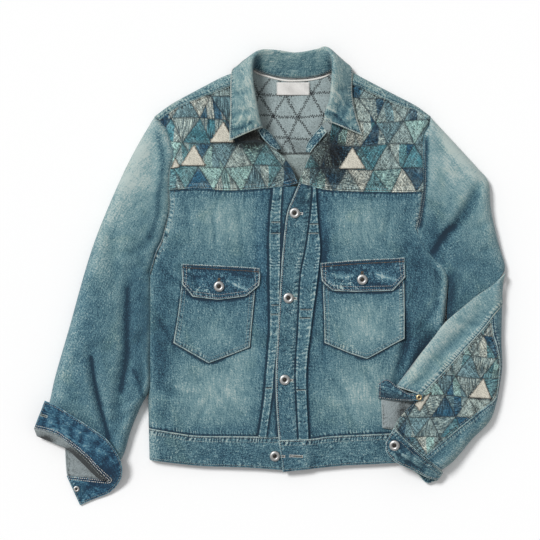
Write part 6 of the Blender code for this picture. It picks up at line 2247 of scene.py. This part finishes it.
def clear_of_body(places: np.ndarray, flank: Curve) -> np.ndarray:
    """Places of a sleeve, its armhole row apart, kept from running further under the body."""
    edge = flank.points
    limit = np.interp(places[1:, :, 1], edge[:, 1], edge[:, 0])
    above_cuff = places[1:, :, 1] > -200
    if edge[:, 0].mean() > 0:
        kept = np.maximum(places[1:, :, 0], limit - SLEEVE_TUCK)
    else:
        kept = np.minimum(places[1:, :, 0], limit + SLEEVE_TUCK)
    places[1:, :, 0] = np.where(above_cuff, kept, places[1:, :, 0])
    return places


def tube(top: np.ndarray, under: np.ndarray) -> np.ndarray:
    """Rings from a top grid and an under grid that share their first and last columns."""
    under = under.copy()
    under[:, 0], under[:, -1] = top[:, 0], top[:, -1]
    return np.concatenate([top, under[:, -2:0:-1]], 1)[::-1]


@dataclass
class Sleeves(Part):
    """Right sleeve from armhole to mouth, and the left upper arm that ends under the forearm."""

    area: str = "sleeve"
    armhole_tuck: tuple = (SLEEVE_TUCK, 1.4)    # the same at the armpit and above it

    def shape(self) -> None:
        """Shape both tubes."""
        armhole = self.armhole(RIGHT_ARMHOLE, (-189, 262), (-198, 5), (5, 60), 1)
        end, under_end = Curve(RIGHT_SLEEVE_MOUTH), Curve(RIGHT_SLEEVE_UNDER_END, smooth=False)
        mouth = Edge(pucker=0.5, pitch=8.0, reach=20, rope=0.4)
        self.sleeve("right_sleeve", RIGHT_SLEEVE, RIGHT_FLANK,
                    (Curve(RIGHT_SLEEVE_OUTER), Curve(RIGHT_SLEEVE_INNER), armhole),
                    (end, under_end), (17, 13), even(560, 2.4, "<>"),
                    edges={"t": ARMHOLE, "b": mouth}, shades=RIGHT_SLEEVE_SHADES)
        armhole = self.armhole(LEFT_ARMHOLE, (240, 80), (262, 262), (80, 115), -1)
        end = Curve(LEFT_SLEEVE_END)
        self.sleeve("left_sleeve", LEFT_SLEEVE, LEFT_FLANK,
                    (Curve(LEFT_SLEEVE_INNER), Curve(LEFT_SLEEVE_OUTER), armhole),
                    (end, end), (12, 17), even(250, 2.3, "<"),
                    edges={"t": ARMHOLE}, shades=LEFT_SLEEVE_SHADES)

    def armhole(self, table: list, first: tuple, last: tuple, heights: tuple, way: int) -> Curve:
        """Line of an armhole, moved under the body.

        Args:
            table: its points.
            first, last: where it starts and ends.
            heights: of the armpit, and where the shift has come down.
            way: 1 or -1, the way in x that leads under the body.

        Returns:
            The line.
        """
        line = Curve(table).between(first, last)
        line.points[:, 0] += way * np.interp(line.points[:, 1], heights, self.armhole_tuck)
        return line

    def sleeve(self, name: str, surface: Surface, flank: Curve, sides: tuple, ends: tuple,
               rolls: tuple, heights: np.ndarray, **settings) -> None:
        """Make a tube of a top and an under half.

        Args:
            name: its CAD node.
            surface: the height of its top.
            flank: the body's edge beside it.
            sides: its left and right side, and its armhole or lower line.
            ends: the last line of the top and that of the under half.
            rolls: widths of the rolls at its left and right side.
            heights: shares upwards.
            settings: the other fields of Cloth.
        """
        places = across(*sides, ends[0], rolled(150, 2.3, *rolls), heights)
        top = laid(clear_of_body(places, flank), surface)
        top[:, [0, -1], 2] = surface.smooth(places[:, [0, -1]])
        places = across(*sides, ends[1], rolled(150, HIDDEN_CELL, 8, 8), heights)
        under = laid(clear_of_body(places, flank), on_floor)
        self.add(name, tube(drawn_in(top, sides="b"), drawn_in(under, sides="b")), SLEEVE_DENIM,
                 ring=True, tones=SLEEVE_TONES, inside=INSIDE, bends=0.45, **settings)


@dataclass
class Forearm(Part):
    """Left forearm, folded over the front: pale strip, patchwork, outer edge and lower layer."""

    area: str = "forearm"
    fold_drop: float = 2.2      # how far the strip turns under at the elbow fold

    def shape(self) -> None:
        """Shape the four pieces and quilt the patchwork."""
        fold, outer, felled = Curve(FOREARM_FOLD), Curve(FOREARM_OUTER), Curve(FELLED_SEAM)
        places = across(Curve([(246, -192), (205, -178)]), outer.between((379, -45), (384, 6)),
                        felled, fold.between((205, -178), (384, 6)), even(240, fine="<>"),
                        rolled(48, 1.9, far=10))
        grid = drawn_in(laid(places, FOREARM), 0.4)
        grid = tucked(grid, "t", 2.5, grid[-1, :, 2:] - self.fold_drop)
        self.add("left_forearm_strip", grid, FOREARM_DENIM, tones=FOREARM_TONES,
                 edges={"b": FELLED, "l": TURNED_EDGE}, rests_on=("left_forearm_under",))
        upper = joined(OPENING_EDGE, FELLED_SEAM).between((201, -243), (360, -69))
        places = across(Curve(FOREARM_CUFF_SEAM).between((250, -291), (201, -243)),
                        Curve(PATCHWORK_OUTER), Curve(PATCHWORK_LOWER), upper,
                        even(170, fine="<>"), even(110, fine="<>"))
        sewn = Edge(pucker=0.35, pitch=5.8, reach=11, rope=0.7, rows=(2.4,))
        piece = self.add("left_forearm_patchwork", drawn_in(laid(places, FOREARM)),
                         FOREARM_PATCHWORK, tones=FOREARM_TONES, rests_on=("left_forearm_under",),
                         edges={"b": sewn, "t": sewn, "r": sewn, "l": UNDER_SEAM})
        self.quilt(piece, FOREARM_PATCHWORK, 2.7, 1.5, 0.17)
        lower = Curve(PATCHWORK_LOWER).at(np.linspace(0, 1, 60))
        side = Curve(PATCHWORK_OUTER).at(np.linspace(0, 1, 50))[1:]
        inner = Curve(np.vstack([lower, side]), smooth=False)
        places = across(Curve(FOREARM_CUFF_SEAM).between((279, -315), (250, -291)),
                        felled.between((379, -45), (360, -69)),
                        outer.between((279, -315), (379, -45)), inner, even(300, fine="<>"),
                        rolled(38, 1.9, near=12))
        grid = tucked(drawn_in(laid(places, FOREARM), 0.5), "b")
        self.add("left_forearm_edge", grid, SLEEVE_DENIM, tones=FOREARM_TONES,
                 edges={"t": FELLED, "l": UNDER_SEAM}, rests_on=("left_forearm_under",))
        elbow = fold.between((285, -74), (354, -20))
        columns = even(120, 3.4)
        places = across(Curve(FOREARM_UNDER_FOLD), Curve(FOREARM_UNDER_OUTER),
                        Curve(FOREARM_UNDER_END, smooth=False), elbow, columns, even(180, 3.4))
        grid = drawn_in(laid(places, under_forearm), 0.5, "t")
        grid[-1, :, 2] = elbow.at(columns)[:, 2] - 2.8
        self.add("left_forearm_under", grid, INSIDE, tones=INSIDE_TONES,
                 edges={"b": Edge(pucker=0.3, pitch=6, reach=10, rope=0.5, rows=(2.0,))},
                 rests_on=("left_front", "left_sleeve"))


def bowed(grid: np.ndarray, height: float, troughs: list) -> np.ndarray:
    """Grid swelled between its long edges and creased from outside.

    Args:
        grid: points, whose rows run across the piece.
        height: of the swelling in mm.
        troughs: creases on the jacket's axes.

    Returns:
        The changed grid.
    """
    out = normals(grid)
    share = np.linspace(0, 1, grid.shape[1])
    lift = np.ones(grid.shape[:2]) * height * np.sin(pi * share)
    lift += 0.35 * slack(grid, 1.0) * np.sin(pi * share)
    for crease in troughs:
        lift -= trough(crease, Curve(crease.path), grid) * (out[..., 2] > 0)
    return grid + out * lift[..., None]


@dataclass
class Cuffs(Part):
    """Cuffs: the right one open and turned back with its facing, the left one buttoned."""

    area: str = "cuff"
    bow: float = 0.9            # swelling of a cuff between its edges

    def shape(self) -> None:
        """Shape both cuffs, the facing and the free end."""
        grid = bowed(sections(RIGHT_CUFF, 150, 25)[::-1], self.bow, RIGHT_CUFF_CREASES)
        seam = Edge(pucker=0.5, pitch=7.2, reach=14, rope=1.0, bare=0.4, rows=(1.6, 5.4),
                    thread=Thread.CREAM, weight=0.7)
        hem = Edge(pucker=0.35, pitch=7.0, reach=10, rope=0.9, bare=1.0, rows=(3.0,))
        cuff = self.add("right_cuff", grid, TURNED_DENIM, wall=BAND, tones=CUFF_TONES,
                        bends=1.6, shades=RIGHT_CUFF_RUBS_AND_SHADE,
                        edges={"l": seam, "r": hem, "b": TOPSTITCHED, "t": TOPSTITCHED},
                        rests_on=("right_sleeve",))
        self.buttonhole(cuff, (-376, -223), (-362, -227), Thread.PALE)
        turned_in = []
        for row, inner in zip(RIGHT_CUFF, RIGHT_FACING):
            seam_edge, hem_edge = np.array(row[:3]), np.array(row[3:])
            away = (seam_edge - hem_edge) / np.linalg.norm(seam_edge - hem_edge)
            turned_in.append((*(seam_edge + 0.75 * away), *inner))
        self.add("right_sleeve_facing", sections(turned_in, 60, 14), INSIDE, wall=TRIM,
                 tones=FACING_SHADE_SPOTS, edges={"l": Edge(pucker=0.3, pitch=6, reach=8, rows=(3.0,))},
                 rests_on=("right_sleeve",))
        grid = bowed(sections(LEFT_CUFF, 130, 22), self.bow, LEFT_CUFF_CREASES)
        edge = Edge(pucker=0.35, pitch=6.2, reach=11, rope=1.1, bare=0.9, rows=(3.0,),
                    thread=Thread.CREAM)
        self.add("left_cuff", grid, CUFF_DENIM, wall=BAND, tones=CUFF_TONES, bends=1.5,
                 shades=LEFT_CUFF_RUBS_AND_SHADE,
                 edges={**dict.fromkeys("lrbt", edge), "l": TWICE_STITCHED},
                 rests_on=("left_front", "left_forearm_under"))
        table = [(row.x, row.near_y, row.near_z, row.x, row.ridge_y, row.ridge_z,
                  row.x, row.far_y, row.far_z) for row in LEFT_CUFF_FLAP]
        self.add("left_cuff_flap", sections(table, 44, 18)[::-1], CUFF_END, wall=BAND,
                 tones=CUFF_TONES, edges=dict.fromkeys("lrbt", edge), rests_on=("left_front",))


# ---------------------------------------------------------------- collar, neck and pockets
@dataclass
class Collar(Part):
    """Collar: stand up from the neck seam, rolled ridge, and the fall down to its outer edge."""

    area: str = "collar"
    clearance: float = 2.4      # of the fall's middle over the body
    shoulder_line: float = 322  # the fall is kept clear of the body below this height

    def shape(self) -> None:
        """Shape the collar, the fall kept clear of the yokes."""
        grid = sections(COLLAR_SECTIONS, 260, 34)[::-1]
        grid = bowed(grid, 0.6, COLLAR_CREASES)
        half = grid.shape[1] // 2
        fall = grid[:, half:]
        clear = BODY(fall[..., :2]) + self.clearance
        over_front = fall[..., 1] < self.shoulder_line
        fall[..., 2] = np.where(over_front, np.maximum(fall[..., 2], clear), fall[..., 2])
        self.add("collar", grid, COLLAR_DENIM, wall=COLLAR, tones=COLLAR_TONES, bends=1.1,
                 shades=COLLAR_RUBS_AND_SHADE,
                 edges={"r": TURNED_EDGE, "b": TURNED_EDGE, "t": TURNED_EDGE,
                        "l": Edge(pucker=0.3, pitch=6, reach=9, rope=0.6, rows=(2.2,))},
                 rests_on=("left_yoke", "right_yoke", "back_yoke"))


@dataclass
class Neck(Part):
    """Tape along the back of the neck, the blank label and the turned facings at the front."""

    area: str = "neck"
    tape_width: float = 3.2
    tape_height: float = 1.9
    label_x: tuple = (11, 65)
    label_y: tuple = (298, 319)
    label_lift: float = 0.6     # of the label over the tape's height
    FACING_TURN = ((0, 0.5, 1), (0.5, 3.5, 9.0))    # shares inwards, and drops under the yoke

    def shape(self) -> None:
        """Shape the four trims."""
        seam = Curve(NECK_SEAM).between((-28, 339), (100, 335))
        upper = seam.at(even(140))[:, :2] - (0, 1)
        grid = np.stack([upper - (0, self.tape_width * share) for share in (1, 0.75, 0.5, 0.25, 0)])
        height = self.tape_height + 0.25 * np.sin(np.linspace(0, pi, 5))[:, None, None]
        grid = np.concatenate([grid, np.ones((*grid.shape[:2], 1)) * height], -1)
        self.add("neck_tape", grid, TAPE, wall=TRIM, rests_on=("back_yoke",),
                 edges={"b": Edge(rows=(0.7,), thread=Thread.CREAM)})
        x, y = np.meshgrid(np.linspace(*self.label_x, 28), np.linspace(*self.label_y, 12))
        sag = 0.35 * np.sin((x + 0.6 * y) / 6.5) * np.sin(y / 5)
        label = self.add("label", np.stack([x, y, self.tape_height + self.label_lift + sag], -1),
                         LABEL, wall=TRIM, rests_on=("back_yoke",),
                         edges=dict.fromkeys("lrbt", Edge(pucker=0.12, pitch=4, reach=5)))
        for side in "lr":
            line, ups = label.inset(side, 1.2)
            self.sewing[Thread.PALE].zigzag(line, ups, 1.4, 1.1, radius=0.16)
        for name, (edge, inner) in NECK_FACINGS.items():
            shares = even(48)
            high, low = Curve(edge).at(shares), Curve(inner).at(shares)
            lines = []
            for share in np.linspace(0, 1, 8):
                places = high + (low - high) * share
                drop = np.interp(share, *self.FACING_TURN)
                lines.append(np.concatenate([places, (BODY.smooth(places) - drop)[:, None]], -1))
            grid = np.array(lines)
            grid = grid if normals(grid)[..., 2].mean() > 0 else grid[::-1]
            edge = Edge(pucker=0.2, pitch=6, reach=6, rope=1.2, bare=1.0)
            self.add(name, grid, FACING, wall=TRIM, tones=NECK_TONES, edges={"b": edge, "t": edge},
                     rests_on=("back_yoke",))


@dataclass
class Pockets(Part):
    """Patch pockets on the fronts and the pointed flaps over them."""

    area: str = "pocket"
    flap_rise: float = 18.0     # how far below its top edge a flap lies two layers up

    def shape(self) -> None:
        """Shape the pockets, then the flaps with their buttonholes."""
        for name, sides, flap in (("right_pocket", RIGHT_POCKET, RIGHT_FLAP),
                                  ("left_pocket", LEFT_POCKET, LEFT_FLAP)):
            places = sides.places(even(126, 2.0, "<>"), even(115, 2.0, "<>"))
            self.add(name, laid(places, BODY_UNFOLDED, STACK), POCKET_DENIM, wall=POCKET,
                     edges={side: TWICE_STITCHED for side in "lbr"}, tones=POCKET_TONES,
                     shades=((flap.bottom, 2.6, 0.85),),
                     rests_on=(name.replace("pocket", "front"),))
        for name, sides in (("right_pocket_flap", RIGHT_FLAP), ("left_pocket_flap", LEFT_FLAP)):
            places = sides.places(even(130, 1.9, "<>"), even(46, 1.7, "<>"))
            lift = STACK + STACK * eased((places[-1:, :, 1] - places[..., 1]) / self.flap_rise)
            top = Edge(pucker=0.14, pitch=5.6, reach=8, band=6.5, rise=0.5, rope=0.4, bare=1.1,
                       rows=(1.6,), thread=Thread.CREAM)
            below_top = Curve(sides.top).shifted(0, -5.5).points
            flap = self.add(name, laid(places, BODY_UNFOLDED, lift), FLAP_DENIM, tones=FLAP_TONES,
                            shades=((below_top, 2.6, 0.40), *FLAP_RUBS_AND_SHADE),
                            edges={**dict.fromkeys("lrb", FLAP_EDGE), "t": top},
                            rests_on=(name.replace("_flap", ""),))
            line, ups = flap.inset("t", 6.6)
            self.sewing[Thread.BROWN].row(line, ups, 2.6, 2.4, 0.5)
            button_name = name.replace("pocket_", "") + "_button"
            button = next(row for row in FRONT_BUTTONS if row.name == button_name)
            self.buttonhole(flap, (button.x, button.y - 8), (button.x, button.y + 12.5),
                            Thread.BROWN)


@dataclass
class CreamPatches(Part):
    """Cream triangles sewn on the patchwork with a dark zigzag round each."""

    area: str = "patch"
    tip: float = 0.97           # the apex is cut off this far up
    fray: float = 0.45          # how far the cut edges wander

    def shape(self) -> None:
        """Shape each patch from its base up to its apex."""
        for patch in CREAM_PATCHES:
            arm = patch.name in ("cream_patch_5", "cream_patch_6")
            a, b, c = (np.array(corner, dtype=float) for corner in patch.corners)
            if (b - a)[0] * (c - a)[1] - (b - a)[1] * (c - a)[0] < 0:
                b, c = c, b
            up = np.linspace(0, self.tip, 30)[:, None, None]
            along = np.linspace(0, 1, 32)[None, :, None]
            places = (a + (b - a) * along) * (1 - up) + c * up
            fray = np.sin(places[..., ::-1] * 1.9) + np.sin(places[..., ::-1] * 0.83 + 1)
            places = places + self.fray * fray * eased(np.abs(2 * along - 1) * 3 - 2)
            grid = laid(places, FOREARM if arm else BODY_UNFOLDED, STACK)
            piece = self.add(patch.name, grid, CREAM, wall=TRIM,
                             shades=[((a, b), 1.6, 0.3), ((b, c), 1.6, 0.3), ((c, a), 1.6, 0.3)],
                             rests_on=("left_forearm_patchwork",) if arm else ("left_yoke",))
            for side in "lrb":
                line, ups = piece.inset(side, 0.6)
                self.sewing[Thread.DARK].zigzag(line - ups * 0.1, ups, 2.2, 1.2, radius=0.17)


# ---------------------------------------------------------------- buttons
@dataclass
class Buttons:
    """Hollow-faced buttons, all turned from one model, and the two small rivets."""

    radius: float = 8.6
    rivet_radius: float = 5.0
    RIM = ((0.14, 0.13), (0.22, 0.06), (0.20, -0.07), (0.07, -0.16))    # up over the rim, then down
    CUFF_TILT = (-0.15, -0.1, 1)    # normal of the left cuff under its button
    NUB = ((0.14, 0.0), (0.05, 0.08), (0.06, 0.02))     # across the sunk centre and up the nub

    @staticmethod
    def step_in(steps: tuple, size: float) -> None:
        """Step the selected face inwards and up or down, by shares of the size."""
        for inset, rise in steps:
            bpy.ops.mesh.inset(thickness=inset * size, depth=0)
            bpy.ops.transform.translate(value=(0, 0, rise * size))

    def turned(self, name: str, radius: float, finish: Metal) -> bpy.types.Object:
        """Model one button at the origin: a domed ring round a sunk centre, painted near-black as
        the shade of its hole, with a small nub.

        Args:
            name: the model's name.
            radius: its outer radius in mm.
            finish: the finish of its rim.

        Returns:
            The model, in metres.
        """
        size = radius * MM
        bpy.ops.object.select_all(action="DESELECT")
        bpy.ops.mesh.primitive_cylinder_add(vertices=40, radius=size, depth=0.22 * size,
                                            location=(0, 0, 0.11 * size))
        thing = bpy.context.object
        thing.name = name
        mesh = thing.data
        mesh.materials.append(finish.material())
        mesh.materials.append(RECESS_SHADE.material())
        bpy.ops.object.mode_set(mode="EDIT")
        bpy.ops.mesh.select_mode(type="FACE")
        bpy.ops.mesh.select_all(action="DESELECT")
        bpy.ops.object.mode_set(mode="OBJECT")
        for face in mesh.polygons:
            face.select = face.normal.z > 0.9
        bpy.ops.object.mode_set(mode="EDIT")
        self.step_in(self.RIM, size)
        bpy.context.object.active_material_index = 1
        bpy.ops.object.material_slot_assign()
        self.step_in(self.NUB, size)
        bpy.ops.object.mode_set(mode="OBJECT")
        bevel = thing.modifiers.new("soft edges", "BEVEL")
        bevel.width = 0.045 * size
        bevel.segments = 2
        bevel.limit_method = "ANGLE"
        bpy.ops.object.modifier_apply(modifier=bevel.name)
        mesh.shade_smooth()
        return thing

    def placed(self, model: bpy.types.Object, name: str, slot: str, tilt: tuple) -> None:
        """Copy the model to a CAD button's place.

        Args:
            model: the modelled button.
            name: the CAD node that it replaces.
            slot: not used.
            tilt: the normal of the cloth there.
        """
        low, high = (np.array(corner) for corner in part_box(name))
        mesh = model.data.copy()
        mesh.name = name
        normal = Vector(tilt).normalized()
        turn = Vector((0, 0, 1)).rotation_difference(normal).to_matrix()
        points = np.array([turn @ vertex.co for vertex in mesh.vertices])
        points += (low + high) / 2 - (points.min(0) + points.max(0)) / 2
        mesh.vertices.foreach_set("co", points.ravel())
        mesh.update()
        thing = bpy.data.objects.new(name + "_metal", mesh)
        bpy.context.collection.objects.link(thing)
        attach(thing, "root")
        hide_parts(name)
        LOG.info("%s: %d faces", thing.name, len(mesh.polygons))

    def build(self) -> None:
        """Model the button and the rivets once, and copy them to their places."""
        button = self.turned("button_model", self.radius, SILVER)
        spots = [(row.name, (row.x, row.y), BODY_UNFOLDED) for row in FRONT_BUTTONS]
        spots += [("waist_button", WAIST_BUTTON, BODY)]
        for name, place, surface in spots:
            patch = np.array(place) + np.array([[(x, y) for x in (-6, 0, 6)] for y in (-6, 0, 6)])
            points = np.concatenate([patch, surface(patch)[..., None]], -1)
            self.placed(button, name, "button_metal", tuple(normals(points)[1, 1]))
        self.placed(button, "left_cuff_button", "button_metal", self.CUFF_TILT)
        for name, slot, finish in (("left_cuff_rivet", "rivet_metal", BRASS),
                                   ("right_cuff_tack", "button_metal", SILVER)):
            model = self.turned(name + "_model", self.rivet_radius, finish)
            self.placed(model, name, slot, (0, 0, 1))
            bpy.data.objects.remove(model)
        bpy.data.objects.remove(button)


# ---------------------------------------------------------------- floor, light and camera
@dataclass
class Studio:
    """White floor, soft light from the upper left and a camera straight above, in metres."""

    camera_height: float = 3.3215
    lens: float = 135.0
    frame_middle: float = 11.48     # mm up the jacket's own axis
    sky: float = 0.44
    sun: float = 2.28
    sun_softness: float = 17.0      # degrees across
    sun_from: tuple = (-0.52, 0.48, 0.85)
    floor_size: float = 14.0
    bounce: float = 0.75            # brightness of the floor to the light that it gives back

    def floor(self) -> None:
        """A wide sheet, white to the camera and a little darker to the light it gives back."""
        bpy.ops.object.select_all(action="DESELECT")
        bpy.ops.mesh.primitive_grid_add(x_subdivisions=4, y_subdivisions=4, size=self.floor_size)
        sheet = bpy.context.object
        sheet.name = "floor"
        made = bpy.data.materials.new("floor_white")
        made.use_nodes = True
        graph = Graph(made.node_tree)
        shader = made.node_tree.nodes["Principled BSDF"]
        path = graph.add("LightPath")
        seen = graph.math("MAXIMUM", path.outputs["Is Camera Ray"], path.outputs["Is Glossy Ray"])
        seen = graph.math("MAXIMUM", seen, path.outputs["Is Transmission Ray"])
        graph.put(graph.mix(seen, (self.bounce,) * 3, (1.0, 1.0, 1.0)), shader.inputs["Base Color"])
        shader.inputs["Roughness"].default_value = 1.0
        shader.inputs["Specular IOR Level"].default_value = 0.0
        sheet.data.materials.append(made)

    def light(self) -> None:
        """Even sky and one large soft lamp from the upper left."""
        world = bpy.data.worlds.new("studio")
        world.use_nodes = True
        background = world.node_tree.nodes["Background"]
        background.inputs["Color"].default_value = (1.0, 1.0, 1.0, 1.0)
        background.inputs["Strength"].default_value = self.sky
        bpy.context.scene.world = world
        lamp = bpy.data.lights.new("key", "SUN")
        lamp.energy = self.sun
        lamp.angle = radians(self.sun_softness)
        key = bpy.data.objects.new("key", lamp)
        key.rotation_euler = Vector(self.sun_from).to_track_quat("Z", "Y").to_euler()
        bpy.context.collection.objects.link(key)

    def camera(self) -> None:
        """Camera straight above the middle of the frame, with the collar at the top."""
        lens = bpy.data.cameras.new("camera")
        lens.lens = self.lens
        eye = bpy.data.objects.new("camera", lens)
        eye.location = (-MIDDLE[0] * MM, (self.frame_middle - MIDDLE[1]) * MM, self.camera_height)
        bpy.context.collection.objects.link(eye)
        bpy.context.scene.camera = eye

    def build(self) -> None:
        """Set up the floor, the lights and the camera."""
        self.floor()
        self.light()
        self.camera()
        bpy.context.scene.view_settings.view_transform = "Standard"


def main() -> None:
    """Build every part of the jacket and note the sizes."""
    logging.basicConfig(level=logging.INFO, format="%(name)s: %(message)s")
    for part in (Back(), Fronts(), FrontStrips(), Yokes(), Waistband(), Sleeves(), Forearm(),
                 Cuffs(), Collar(), Neck(), Pockets(), CreamPatches(), Buttons(), Studio()):
        LOG.info("making %s", type(part).__name__)
        part.build()


if __name__ == "__main__":
    main()
